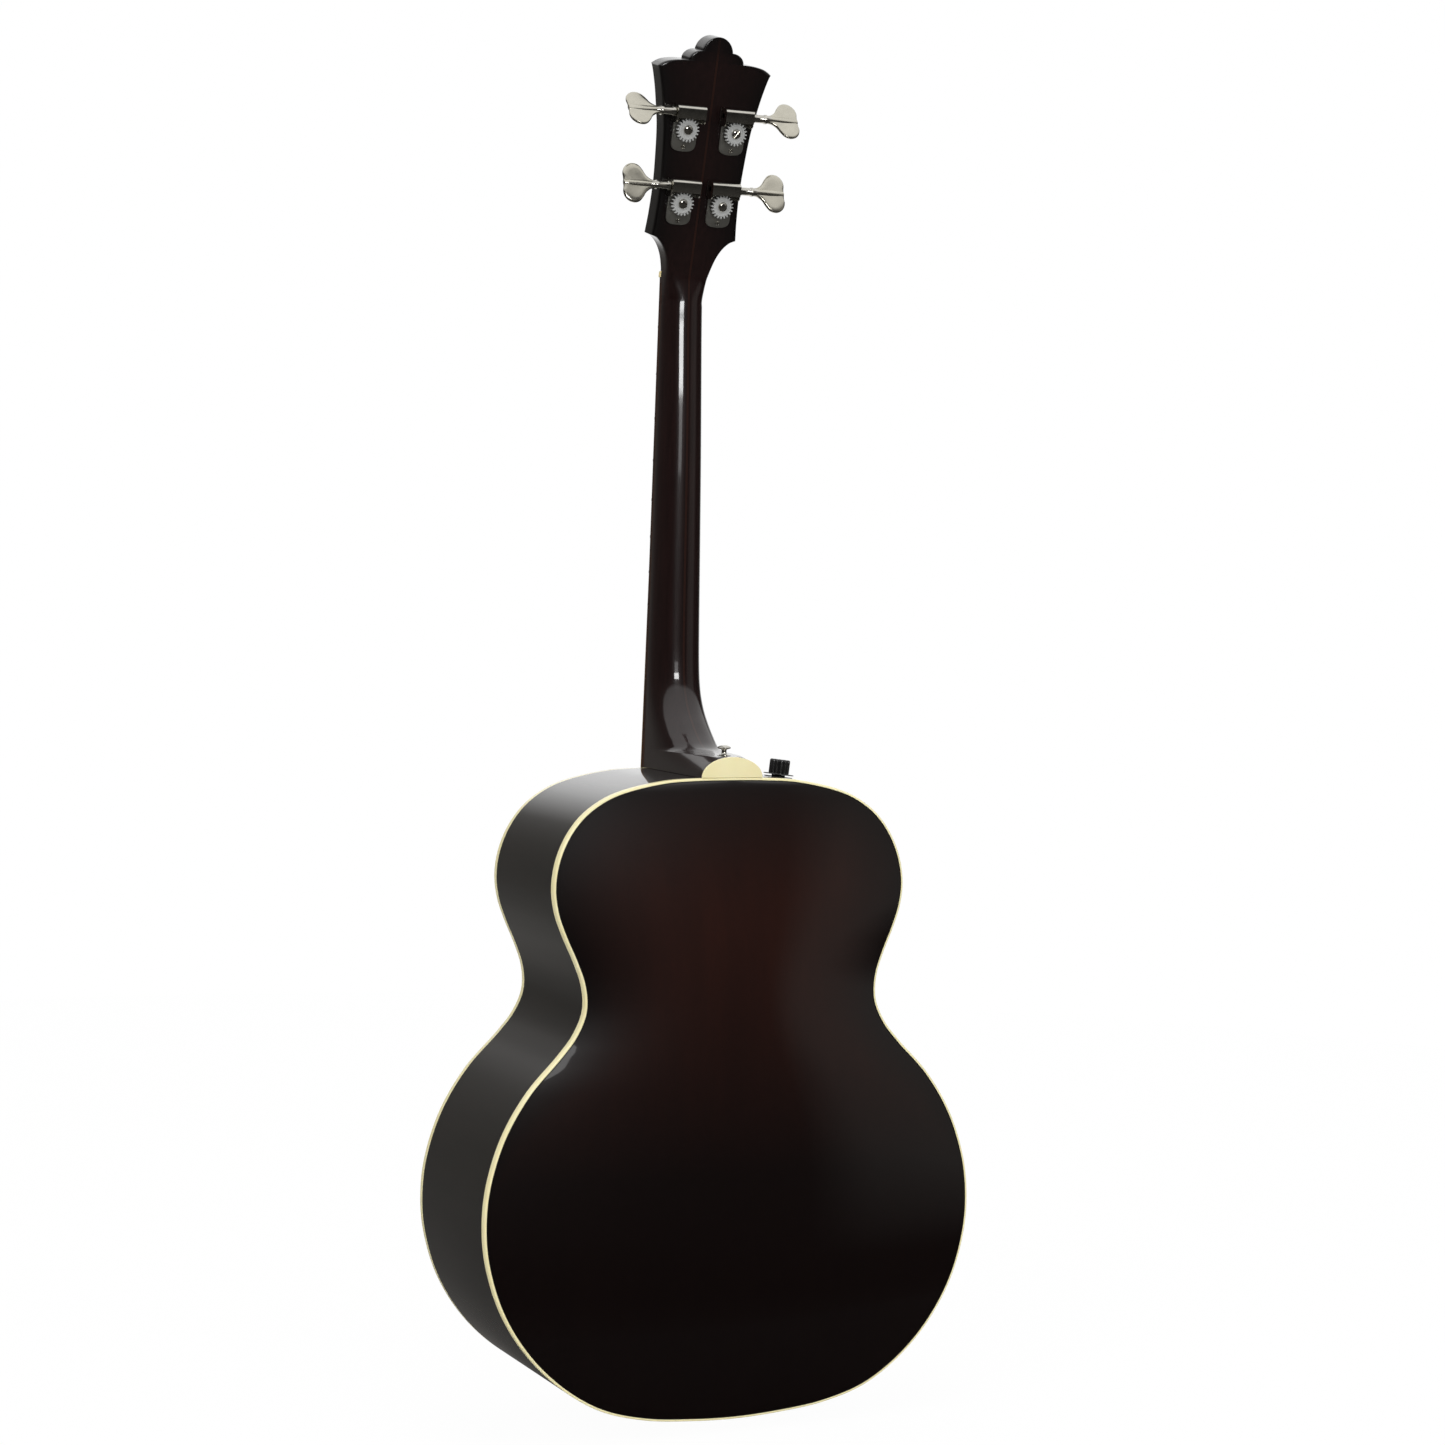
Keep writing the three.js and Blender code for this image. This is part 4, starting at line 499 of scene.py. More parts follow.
def node(tree, kind, inputs=(), stops=(), **settings):
    """Adds a node with its settings, its colour stops, and a value or a link for each input."""
    made = tree.nodes.new(kind)
    for key, value in settings.items():
        setattr(made, key, value)
    elements = made.color_ramp.elements if stops else ()
    while len(elements) < len(stops):
        elements.new(.5)
    for element, (place, value) in zip(elements, stops):
        element.position = place
        element.color = value
    for key, value in dict(inputs).items():
        source = value.outputs[0] if isinstance(value, bpy.types.Node) else value
        if isinstance(source, bpy.types.NodeSocket):
            tree.links.new(source, made.inputs[key])
        else:
            made.inputs[key].default_value = source
    return made


def drawn(tree, x, y, z):
    """Object coordinates in which one step of a pattern is x, y and z millimetres long."""
    place = node(tree, "ShaderNodeTexCoord").outputs["Object"]
    return node(tree, "ShaderNodeMapping", {"Vector": place, "Scale": (1000 / x, 1000 / y, 1000 / z)})


def new_material(name):
    """A material with an empty tree, and that tree."""
    material = bpy.data.materials.new(name)
    material.use_nodes = True
    material.node_tree.nodes.clear()
    return material, material.node_tree


def lacquer(tree, base, wave, roughness, gloss, depth):
    """Ends a tree as wood under a clear coat, with the coat's slow waviness (depth in millimetres)."""
    relief = node(tree, "ShaderNodeBump", {"Height": wave, "Distance": depth / 1000, "Strength": .6})
    shader = node(tree, "ShaderNodeBsdfPrincipled", {
        "Base Color": base, "Roughness": roughness, "IOR": 1.5, "Specular IOR Level": .2,
        "Coat Weight": 1.0, "Coat Roughness": gloss, "Coat IOR": 1.5, "Coat Normal": relief})
    node(tree, "ShaderNodeOutputMaterial", {"Surface": shader})


# Finishes
def lacquered_back(colours):
    """Maple, stained dark and sprayed with nitrocellulose, then buffed: a mirror over a grain that
    hardly shows, red-brown up the middle and sprayed almost to black at the edge; towards the tail
    it is darkened further by painted shade."""
    material, tree = new_material("nitro_lacquered_maple_back")
    figure = node(tree, "ShaderNodeTexNoise", {
        "Vector": drawn(tree, 26, 26, 260), "Scale": 1.0, "Detail": 4.0, "Roughness": .55, "Distortion": .4})
    pores = node(tree, "ShaderNodeTexNoise", {
        "Vector": drawn(tree, 1.6, 1.6, 24), "Scale": 1.0, "Detail": 2.0})
    figure_share = node(tree, "ShaderNodeMath", {0: figure, 1: .5}, operation="MULTIPLY")
    wood = node(tree, "ShaderNodeMix", {0: figure_share, 6: colours.back_middle, 7: colours.back_edge},
                data_type="RGBA").outputs[2]
    pore_share = node(tree, "ShaderNodeMath", {0: pores, 1: .25}, operation="MULTIPLY")
    wood = node(tree, "ShaderNodeMix", {0: pore_share, 6: wood, 7: colours.back_edge},
                data_type="RGBA").outputs[2]
    # the rim's sprayed shading and, towards the tail, painted shade, both mixed in as the dark edge colour
    shade = node(tree, "ShaderNodeAttribute", attribute_name="shade").outputs["Fac"]
    wood = node(tree, "ShaderNodeMix", {0: shade, 6: wood, 7: colours.back_edge},
                data_type="RGBA").outputs[2]
    wave = node(tree, "ShaderNodeTexNoise", {
        "Vector": drawn(tree, 60, 60, 80), "Scale": 1.0, "Detail": 2.0})
    lacquer(tree, wood, wave, .32, .03, .04)
    return material


def lacquered_rim(colours):
    """Bent maple sides, near black under the same lacquer, rubbed out a little less brightly."""
    material, tree = new_material("nitro_lacquered_maple_rim")
    figure = node(tree, "ShaderNodeTexNoise", {
        "Vector": drawn(tree, 18, 120, 18), "Scale": 1.0, "Detail": 4.0, "Roughness": .55, "Distortion": .3})
    wood = node(tree, "ShaderNodeValToRGB", {"Fac": figure}, [
        (.25, darker(colours.rim, .55)), (.75, tuple(colours.rim))])
    wave = node(tree, "ShaderNodeTexNoise", {
        "Vector": drawn(tree, 40, 70, 40), "Scale": 1.0, "Detail": 2.0})
    lacquer(tree, wood, wave, .34, .07, .05)
    return material


def tail_block_wood(colours):
    """Mahogany block, left bare inside; its strip between the sides' ends is dark and lacquered."""
    material, tree = new_material("mahogany_tail_block")
    place = node(tree, "ShaderNodeTexCoord").outputs["Object"]
    grain = node(tree, "ShaderNodeTexNoise", {
        "Vector": drawn(tree, 2, 60, 12), "Scale": 1.0, "Detail": 4.0})
    bare = node(tree, "ShaderNodeValToRGB", {"Fac": grain}, [
        (.3, colour("#7c4a2b")), (.7, colour("#9a6440"))])
    height = node(tree, "ShaderNodeSeparateXYZ", {"Vector": place}).outputs["Z"]
    outside = node(tree, "ShaderNodeMath", {0: height, 1: (PIN_HEAD + SIDE_THICKNESS) / 1000},
                   operation="LESS_THAN")
    wood = node(tree, "ShaderNodeMix", {0: outside, 6: bare, 7: colours.rim}, data_type="RGBA").outputs[2]
    dull = node(tree, "ShaderNodeMath", {0: outside, 1: -.6, 2: .75}, operation="MULTIPLY_ADD")
    shader = node(tree, "ShaderNodeBsdfPrincipled", {"Base Color": wood, "Roughness": dull, "IOR": 1.5})
    node(tree, "ShaderNodeOutputMaterial", {"Surface": shader})
    return material


def lacquered_neck(colours):
    """Maple neck in dark gloss lacquer: brown-black, with a redder lamination along its middle
    between two thin black glue lines."""
    strip_half_width = 1.2
    glue_middle = 1.4
    glue_half_width = .25
    material, tree = new_material("nitro_lacquered_maple_neck")
    place = node(tree, "ShaderNodeTexCoord").outputs["Object"]
    grain = node(tree, "ShaderNodeTexNoise", {
        "Vector": drawn(tree, 2.2, 2.2, 55), "Scale": 1.0, "Detail": 4.0, "Roughness": .55, "Distortion": .2})
    wood = node(tree, "ShaderNodeValToRGB", {"Fac": grain}, [
        (.3, darker(colours.neck, .55)), (.7, tuple(colours.neck))])
    across = node(tree, "ShaderNodeSeparateXYZ", {"Vector": place}).outputs["X"]
    aside = node(tree, "ShaderNodeMath", {0: across}, operation="ABSOLUTE")
    off = node(tree, "ShaderNodeMath", {0: aside, 1: 1000.0}, operation="MULTIPLY")
    strip = node(tree, "ShaderNodeMath", {0: off, 1: strip_half_width}, operation="LESS_THAN")
    line = node(tree, "ShaderNodeMath", {0: off, 1: glue_middle, 2: glue_half_width},
                operation="COMPARE")
    wood = node(tree, "ShaderNodeMix", {0: strip, 6: wood, 7: colours.neck_strip},
                data_type="RGBA").outputs[2]
    wood = node(tree, "ShaderNodeMix", {0: line, 6: wood, 7: colour("#080404")},
                data_type="RGBA").outputs[2]
    # the face of the headstock is sprayed darker from its middle out to its edges
    shade = node(tree, "ShaderNodeAttribute", attribute_name="shade").outputs["Fac"]
    wood = node(tree, "ShaderNodeMix", {0: shade, 6: wood, 7: colours.neck_edge},
                data_type="RGBA").outputs[2]
    wave = node(tree, "ShaderNodeTexNoise", {
        "Vector": drawn(tree, 30, 30, 60), "Scale": 1.0, "Detail": 2.0})
    lacquer(tree, wood, wave, .32, .05, .02)
    return material


def lacquered_spruce(colours, sizes):
    """Quarter-sawn spruce, sprayed from amber to dark at the edge: fine straight annual lines
    under gloss, with an inlaid ring of dark and pale lines round the sound hole."""
    line_gap = 1.2
    # the inlay's rings: offset of the middle, half the width, colour
    rings = ((0, 5.5, "#1a120d"), (0, 3.6, "#d9c48c"), (0, 2.9, "#2a1810"), (0, .5, "#d9c48c"),
             (8.5, .8, "#1a120d"), (-5.9, .45, "#d9c48c"))
    material, tree = new_material("nitro_lacquered_spruce_top")
    place = node(tree, "ShaderNodeTexCoord").outputs["Object"]
    bend = node(tree, "ShaderNodeTexNoise", {
        "Vector": drawn(tree, 90, 90, 400), "Scale": 1.0, "Detail": 2.0})
    parts = node(tree, "ShaderNodeSeparateXYZ", {"Vector": place})
    straight = node(tree, "ShaderNodeMath", {0: parts.outputs["X"], 1: 1000 / line_gap},
                    operation="MULTIPLY")
    count = node(tree, "ShaderNodeMath", {0: bend, 1: 8.0, 2: straight}, operation="MULTIPLY_ADD")
    ring = node(tree, "ShaderNodeMath", {0: count}, operation="FRACT")
    lines = node(tree, "ShaderNodeMath", {0: ring, 1: 3.0}, operation="POWER")
    silk = node(tree, "ShaderNodeTexNoise", {
        "Vector": drawn(tree, 9, 9, 1.5), "Scale": 1.0, "Detail": 3.0, "Roughness": .6})
    line_share = node(tree, "ShaderNodeMath", {0: lines, 1: .45}, operation="MULTIPLY")
    wood = node(tree, "ShaderNodeMix", {0: line_share, 6: colours.top_middle, 7: colours.top_line},
                data_type="RGBA").outputs[2]
    silk_share = node(tree, "ShaderNodeMath", {0: silk, 1: .18}, operation="MULTIPLY")
    wood = node(tree, "ShaderNodeMix", {0: silk_share, 6: wood, 7: colour("#e0a45e")},
                data_type="RGBA").outputs[2]
    shade = node(tree, "ShaderNodeAttribute", attribute_name="shade").outputs["Fac"]
    wood = node(tree, "ShaderNodeMix", {0: shade, 6: wood, 7: colours.top_edge},
                data_type="RGBA").outputs[2]
    above = node(tree, "ShaderNodeMath", {
        0: parts.outputs["Z"], 1: (SOUND_HOLE[1] + PIN_HEAD) / 1000}, operation="SUBTRACT")
    from_hole = node(tree, "ShaderNodeCombineXYZ", {"X": parts.outputs["X"], "Y": above})
    reach = node(tree, "ShaderNodeVectorMath", {0: from_hole}, operation="LENGTH").outputs["Value"]
    radius = node(tree, "ShaderNodeMath", {0: reach, 1: 1000.0}, operation="MULTIPLY")
    middle = sizes.rosette_radius * 1000
    for offset, half_width, code in rings:
        inlay = node(tree, "ShaderNodeMath", {0: radius, 1: middle + offset, 2: half_width},
                     operation="COMPARE")
        wood = node(tree, "ShaderNodeMix", {0: inlay, 6: wood, 7: colour(code)},
                    data_type="RGBA").outputs[2]
    lacquer(tree, wood, lines, .35, .04, .01)
    return material


def aged_celluloid(colours):
    """Cream celluloid binding, scraped and polished, yellowed by its lacquer: even, slightly waxy."""
    material, tree = new_material("aged_cream_celluloid")
    cloud = node(tree, "ShaderNodeTexNoise", {
        "Vector": drawn(tree, 30, 30, 30), "Scale": 1.0, "Detail": 3.0})
    yellowed = tuple(c * share for c, share in zip(colours.binding, (.95, .93, .86, 1)))
    cream = node(tree, "ShaderNodeValToRGB", {"Fac": cloud}, [(.3, yellowed), (.7, tuple(colours.binding))])
    scrape = node(tree, "ShaderNodeTexNoise", {
        "Vector": drawn(tree, 2, 2, 14), "Scale": 1.0, "Detail": 2.0})
    relief = node(tree, "ShaderNodeBump", {"Height": scrape, "Distance": .00001, "Strength": .25})
    shader = node(tree, "ShaderNodeBsdfPrincipled", {
        "Base Color": cream, "Roughness": .3, "IOR": 1.5, "Coat Weight": .6, "Coat Roughness": .1,
        "Subsurface Weight": .1, "Subsurface Radius": (.0012, .0008, .0004), "Subsurface Scale": 1.0,
        "Normal": relief})
    node(tree, "ShaderNodeOutputMaterial", {"Surface": shader})
    return material


def dark_wood(name, code, line_code):
    """Ebony or rosewood, planed and oiled: satin, nearly black, with fine open pores along it."""
    material, tree = new_material(name)
    streak = node(tree, "ShaderNodeTexNoise", {
        "Vector": drawn(tree, 3.2, 3.2, 70), "Scale": 1.0, "Detail": 5.0, "Roughness": .6, "Distortion": .3})
    pores = node(tree, "ShaderNodeTexNoise", {
        "Vector": drawn(tree, .9, .9, 9), "Scale": 1.0, "Detail": 2.0})
    wood = node(tree, "ShaderNodeValToRGB", {"Fac": streak}, [
        (.3, colour(code)), (.7, colour(line_code))])
    dots = node(tree, "ShaderNodeValToRGB", {"Fac": pores}, [(.34, (0, 0, 0, 1)), (.42, (1, 1, 1, 1))])
    wood = node(tree, "ShaderNodeMix", {0: .6, 6: wood, 7: dots}, data_type="RGBA",
                blend_type="MULTIPLY").outputs[2]
    rough = node(tree, "ShaderNodeMath", {0: pores, 1: .2, 2: .32}, operation="MULTIPLY_ADD")
    relief = node(tree, "ShaderNodeBump", {"Height": pores, "Distance": .00003, "Strength": .5})
    shader = node(tree, "ShaderNodeBsdfPrincipled", {
        "Base Color": wood, "Roughness": rough, "IOR": 1.45, "Specular IOR Level": .4,
        "Normal": relief})
    node(tree, "ShaderNodeOutputMaterial", {"Surface": shader})
    return material


def raw_wood(name, code, line_code):
    """Spruce or mahogany left bare and sanded, as inside a guitar: matt with clear straight lines."""
    material, tree = new_material(name)
    lines = node(tree, "ShaderNodeTexNoise", {
        "Vector": drawn(tree, 2, 12, 60), "Scale": 1.0, "Detail": 4.0, "Roughness": .6, "Distortion": .2})
    wood = node(tree, "ShaderNodeValToRGB", {"Fac": lines}, [
        (.3, colour(code)), (.7, colour(line_code))])
    relief = node(tree, "ShaderNodeBump", {"Height": lines, "Distance": .00005, "Strength": .4})
    shader = node(tree, "ShaderNodeBsdfPrincipled", {
        "Base Color": wood, "Roughness": .75, "IOR": 1.45, "Specular IOR Level": .3, "Normal": relief})
    node(tree, "ShaderNodeOutputMaterial", {"Surface": shader})
    return material


def polished_bone():
    """Bleached bone, shaped and buffed: warm off-white, faint lengthwise pores, soft gloss."""
    material, tree = new_material("polished_bone")
    pores = node(tree, "ShaderNodeTexNoise", {
        "Vector": drawn(tree, 5, 1.2, 1.2), "Scale": 1.0, "Detail": 3.0, "Roughness": .6})
    bone = node(tree, "ShaderNodeValToRGB", {"Fac": pores}, [
        (.35, colour("#cdb67a")), (.6, colour("#ecdfae"))])
    relief = node(tree, "ShaderNodeBump", {"Height": pores, "Distance": .00001, "Strength": .4})
    shader = node(tree, "ShaderNodeBsdfPrincipled", {
        "Base Color": bone, "Roughness": .3, "IOR": 1.55, "Subsurface Weight": .15,
        "Subsurface Radius": (.001, .0007, .0004), "Subsurface Scale": 1.0, "Normal": relief})
    node(tree, "ShaderNodeOutputMaterial", {"Surface": shader})
    return material


def plated_nickel(name, code, gloss, dulling, bright=1.0):
    """Nickel plate on pressed steel, buffed: bright and a little warm, with faint polishing lines
    and duller patches where hands have been."""
    material, tree = new_material(name)
    patches = node(tree, "ShaderNodeTexNoise", {
        "Vector": drawn(tree, 7, 7, 7), "Scale": 1.0, "Detail": 4.0, "Roughness": .6})
    lines = node(tree, "ShaderNodeTexNoise", {
        "Vector": drawn(tree, .6, .6, 9), "Scale": 1.0, "Detail": 2.0})
    metal = node(tree, "ShaderNodeValToRGB", {"Fac": patches}, [
        (.3, darker(colour(code), .88)), (.65, colour(code))])
    rough = node(tree, "ShaderNodeMath", {0: patches, 1: dulling, 2: gloss}, operation="MULTIPLY_ADD")
    relief = node(tree, "ShaderNodeBump", {"Height": lines, "Distance": .000004, "Strength": .25})
    shader = node(tree, "ShaderNodeBsdfPrincipled", {
        "Base Color": metal, "Metallic": bright, "Roughness": rough, "Normal": relief})
    node(tree, "ShaderNodeOutputMaterial", {"Surface": shader})
    return material


def machined_steel(name, code, gloss, bright=1.0):
    """Cut steel gear stock or turned rod, tumbled and thinly plated: satin with fine turning marks."""
    material, tree = new_material(name)
    marks = node(tree, "ShaderNodeTexNoise", {
        "Vector": drawn(tree, .5, 6, .5), "Scale": 1.0, "Detail": 3.0})
    metal = node(tree, "ShaderNodeValToRGB", {"Fac": marks}, [
        (.3, darker(colour(code), .8)), (.7, colour(code))])
    rough = node(tree, "ShaderNodeMath", {0: marks, 1: .16, 2: gloss}, operation="MULTIPLY_ADD")
    relief = node(tree, "ShaderNodeBump", {"Height": marks, "Distance": .00001, "Strength": .3})
    shader = node(tree, "ShaderNodeBsdfPrincipled", {
        "Base Color": metal, "Metallic": bright, "Roughness": rough, "Normal": relief})
    node(tree, "ShaderNodeOutputMaterial", {"Surface": shader})
    return material


def moulded_black(name, code, gloss, coat):
    """Phenolic, fibre or lacquered black stock: deep black with a very fine skin texture."""
    material, tree = new_material(name)
    skin = node(tree, "ShaderNodeTexNoise", {
        "Vector": drawn(tree, .7, .7, .7), "Scale": 1.0, "Detail": 2.0})
    black = node(tree, "ShaderNodeValToRGB", {"Fac": skin}, [
        (.2, darker(colour(code), .75)), (.8, colour(code))])
    rough = node(tree, "ShaderNodeMath", {0: skin, 1: .12, 2: gloss}, operation="MULTIPLY_ADD")
    relief = node(tree, "ShaderNodeBump", {"Height": skin, "Distance": .00001, "Strength": .35})
    shader = node(tree, "ShaderNodeBsdfPrincipled", {
        "Base Color": black, "Roughness": rough, "IOR": 1.5, "Coat Weight": coat,
        "Coat Roughness": .04, "Normal": relief})
    node(tree, "ShaderNodeOutputMaterial", {"Surface": shader})
    return material


def shell_celluloid():
    """Mottled celluloid sheet, polished: translucent brown cells on amber, as on a pickguard."""
    material, tree = new_material("mottled_celluloid_sheet")
    drift = node(tree, "ShaderNodeTexNoise", {
        "Vector": drawn(tree, 16, 16, 16), "Scale": 1.0, "Detail": 3.0, "Roughness": .6, "Distortion": 1.5})
    shell = node(tree, "ShaderNodeValToRGB", {"Fac": drift}, [
        (.36, colour("#120806")), (.5, colour("#3a160a")), (.62, colour("#8a4315"))])
    shader = node(tree, "ShaderNodeBsdfPrincipled", {
        "Base Color": shell, "Roughness": .2, "IOR": 1.5, "Coat Weight": 1.0, "Coat Roughness": .03})
    node(tree, "ShaderNodeOutputMaterial", {"Surface": shader})
    return material


def wound_bronze(number, pitch):
    """Phosphor bronze wound on a steel core: ridges across the string, one for each turn of the wrap,
    each with a painted highlight on its crest and painted shade in the groove. Real wraps are 0.3
    to 0.9 mm wide, and the finer ones are drawn coarser so they show."""
    material, tree = new_material(f"wound_phosphor_bronze_{number}")
    run = node(tree, "ShaderNodeAttribute", attribute_name="run").outputs["Fac"]
    angle = node(tree, "ShaderNodeMath", {0: run, 1: 2 * math.pi / pitch}, operation="MULTIPLY")
    wave = node(tree, "ShaderNodeMath", {0: angle}, operation="SINE")
    ridge = node(tree, "ShaderNodeMath", {0: wave, 1: .5, 2: .5}, operation="MULTIPLY_ADD")
    # painted shade in the grooves between turns and a painted highlight on each crest
    metal = node(tree, "ShaderNodeValToRGB", {"Fac": ridge}, [
        (0, colour("#3d2814")), (.55, colour("#a5773f")), (1, colour("#d3a765"))])
    relief = node(tree, "ShaderNodeBump", {"Height": ridge, "Distance": .00012, "Strength": .8})
    shader = node(tree, "ShaderNodeBsdfPrincipled", {
        "Base Color": metal, "Metallic": 1.0, "Roughness": .3, "Normal": relief})
    node(tree, "ShaderNodeOutputMaterial", {"Surface": shader})
    return material


def mother_of_pearl():
    """Mother of pearl, sawn and polished: pale, with slow bands of green and pink."""
    material, tree = new_material("polished_mother_of_pearl")
    bands = node(tree, "ShaderNodeTexNoise", {
        "Vector": drawn(tree, 6, 6, 3), "Scale": 1.0, "Detail": 3.0, "Distortion": 1.0})
    pearl = node(tree, "ShaderNodeValToRGB", {"Fac": bands}, [
        (.3, colour("#c9d6cc")), (.5, colour("#eee9e2")), (.7, colour("#e0c9cf"))])
    shader = node(tree, "ShaderNodeBsdfPrincipled", {
        "Base Color": pearl, "Roughness": .18, "IOR": 1.53})
    node(tree, "ShaderNodeOutputMaterial", {"Surface": shader})
    return material


# Every finish by a short name, filled by make_finishes
FINISH = {}


def make_finishes(colours, sizes):
    """Makes each finish once, from the user's colours."""
    FINISH.update({
        "back": lacquered_back(colours), "rim": lacquered_rim(colours), "neck": lacquered_neck(colours),
        "tail_block": tail_block_wood(colours), "top": lacquered_spruce(colours, sizes),
        "binding": aged_celluloid(colours),
        "ebony": dark_wood("oiled_ebony", "#0b0908", "#241a15"),
        "rosewood": dark_wood("oiled_rosewood", "#1c0f0a", "#3a2013"),
        "spruce": raw_wood("bare_spruce_braces", "#c49a63", "#dcbb86"),
        "mahogany": raw_wood("bare_mahogany_blocks", "#7c4a2b", "#9a6440"),
        "bone": polished_bone(),
        "nickel": plated_nickel("buffed_nickel_plate", "#d2cfc6", .1, .1),
        "key": plated_nickel("worn_nickel_keys", "#cfcbbd", .16, .14),
        "plate": plated_nickel("tarnished_nickel_plate", "#93918a", .2, .25, .88),
        "gear": machined_steel("plated_cut_gear_steel", "#c9cac8", .28, .35),
        "steel": machined_steel("plain_turned_steel", "#8f8f8d", .3),
        "knob": moulded_black("moulded_phenolic_knob", "#101011", .28, .7),
        "nut_black": moulded_black("blackened_steel_nut", "#0e0e0f", .3, 0.0),
        "purfling": moulded_black("black_fibre_purfling", "#0a0807", .25, .8),
        "veneer": moulded_black("black_lacquered_holly_face", "#0a0909", .2, 1.0),
        "pickguard": shell_celluloid(), "dot": mother_of_pearl(),
    })


# Body
def shade_attribute(obj, reach, tail_painted_shade=0.0):
    """Stores how deep the sprayed shading is: 1 at the rim, 0 at reach millimetres inside it, and
    at least tail_painted_shade towards the tail, where it is painted shade for the light falling off there."""
    values = []
    for v in obj.data.vertices:
        p = to_millimetres(v.co)
        to_rim = np.sqrt(((RIM - (p.x, p.z)) ** 2).sum(axis=1)).min()
        near = max(0.0, 1 - to_rim / reach) ** 1.6
        # painted shade: darker towards the tail, for the light falling off there
        low = tail_painted_shade * (1 - between((p.z - TAIL_PAINTED_SHADE_START) / TAIL_PAINTED_SHADE_LENGTH))
        values.append(max(near, low))
    store(obj.data, "shade", values)


def cut_in_squares(obj, step):
    """Cuts a flat piece along x and z every step millimetres, so that a value at its points is
    smooth."""
    work = bmesh.new()
    work.from_mesh(obj.data)
    cuts = [((x / 1000, 0, 0), (1, 0, 0))
            for x in np.arange(step - BODY_HALF_WIDTH, BODY_HALF_WIDTH, step)]
    cuts += [((0, 0, (z + PIN_HEAD) / 1000), (0, 0, 1)) for z in np.arange(step, BODY_LENGTH, step)]
    for place, facing in cuts:
        bmesh.ops.bisect_plane(work, geom=[*work.verts, *work.edges, *work.faces], plane_co=place,
                               plane_no=facing)
    work.to_mesh(obj.data)
    work.free()


def build_back(sizes):
    """The arched back plate inside its binding, and the dark line between the two."""
    line_depth = 1.2
    plate_edge = BINDING_WIDTH + sizes.purfling_width * 1000
    across = [math.cos(a) for a in np.linspace(0, math.pi, 45)]
    sections = []
    for i, (x, z) in enumerate(inset(plate_edge)[:RIM_STEPS + 1]):
        swell = 0 if i in (0, RIM_STEPS) else 1
        outer = [(u * x, back_plane(z) + swell * arch(u, z), z) for u in across]
        inner = [(u * x, back_plane(z) - BACK_THICKNESS + swell * arch(u, z), z) for u in across]
        sections.append(outer + inner[::-1])
    back = new_piece("back_lacquered_plate", loft(sections), FINISH["back"], 30, slot="back_lacquer",
                     replaces=("back_plate",))
    # the last value is the painted shade that darkens the back towards the tail
    shade_attribute(back, BACK_SHADING_REACH, TAIL_PAINTED_SHADE_SHARE)

    sections = []
    for (ox, oz), (nx, nz) in zip(inset(BINDING_WIDTH), inset(plate_edge)):
        outer = [(ox, back_plane(oz) - line_depth, oz), (ox, back_plane(oz) + FACE_GAP, oz)]
        inner = [(nx, back_plane(nz) + FACE_GAP, nz), (nx, back_plane(nz) - line_depth, nz)]
        sections.append(outer + inner)
    new_piece("back_purfling_line", loft(sections, closed=True), FINISH["purfling"],
              slot="black_plastic")


def build_sides():
    """Both bent sides, from the strip at the tail round to the neck, between the two bindings."""
    graft_edge = GRAFT_HALF_WIDTH + .03
    outside = inset(0)[:RIM_STEPS + 1]
    inside = inset(SIDE_THICKNESS)[:RIM_STEPS + 1]
    for name, side, node_name in (("rim_treble_side", 1, "side_treble"),
                                  ("rim_bass_side", -1, "side_bass")):
        sections = []
        for (ox, oz), (nx, nz) in zip(outside, inside):
            at_tail = oz < BODY_LENGTH / 2
            if at_tail and ox < GRAFT_HALF_WIDTH - RIM_STEP:
                continue
            if at_tail and ox < GRAFT_HALF_WIDTH:
                ox = nx = graft_edge
            levels = np.linspace(BINDING_HEIGHT, back_plane(oz) - BINDING_HEIGHT, 7)
            ring = [(side * ox, y, oz) for y in levels]
            ring += [(side * nx, y, nz) for y in (back_plane(nz) - BINDING_HEIGHT, BINDING_HEIGHT)]
            sections.append(ring)
        new_piece(name, loft(sections), FINISH["rim"], slot="rim_lacquer", replaces=(node_name,))


def build_bindings():
    """The cream strips round both edges, with their outer corner rounded."""
    corner = 1.3
    lines = [(BINDING_WIDTH, -BINDING_HEIGHT), (0, -BINDING_HEIGHT)]
    for a in np.linspace(0, math.pi / 2, 5):
        lines.append((corner - corner * math.cos(a), -corner + corner * math.sin(a)))
    lines.append((BINDING_WIDTH, 0))
    insets = [inset(distance) for distance, _ in lines]
    for name, face, sign, node_name in (
            ("back_binding_strip", back_plane, 1, "back_binding"),
            ("top_binding_strip", lambda z: 0.0, -1, "top_binding")):
        sections = []
        for i in range(len(RIM)):
            spots = [line[i] for line in insets]
            sections.append([(x, face(z) + sign * level, z)
                             for (x, z), (_, level) in zip(spots, lines)])
        new_piece(name, loft(sections, closed=True), FINISH["binding"], 40, slot="binding",
                  replaces=(node_name,))


def build_soundboard():
    """The flat spruce plate with the sound hole and the holes of the bridge pins."""
    pin_hole = 2.9
    edge_ease = .15
    holes = [circle(*SOUND_HOLE, 160)]
    holes += [circle(string_x(i, BRIDGE_SPREAD), PIN_ROW, pin_hole, 24) for i in range(STRING_COUNT)]
    top = plate("soundboard_spruce_plate", [inset(BINDING_WIDTH)] + holes, 0, TOP_THICKNESS,
                edge_ease, FINISH["top"], 2, slot="top_lacquer", replaces=("soundboard",))
    cut_in_squares(top, SHADING_SQUARE)
    shade_attribute(top, TOP_SHADING_REACH)


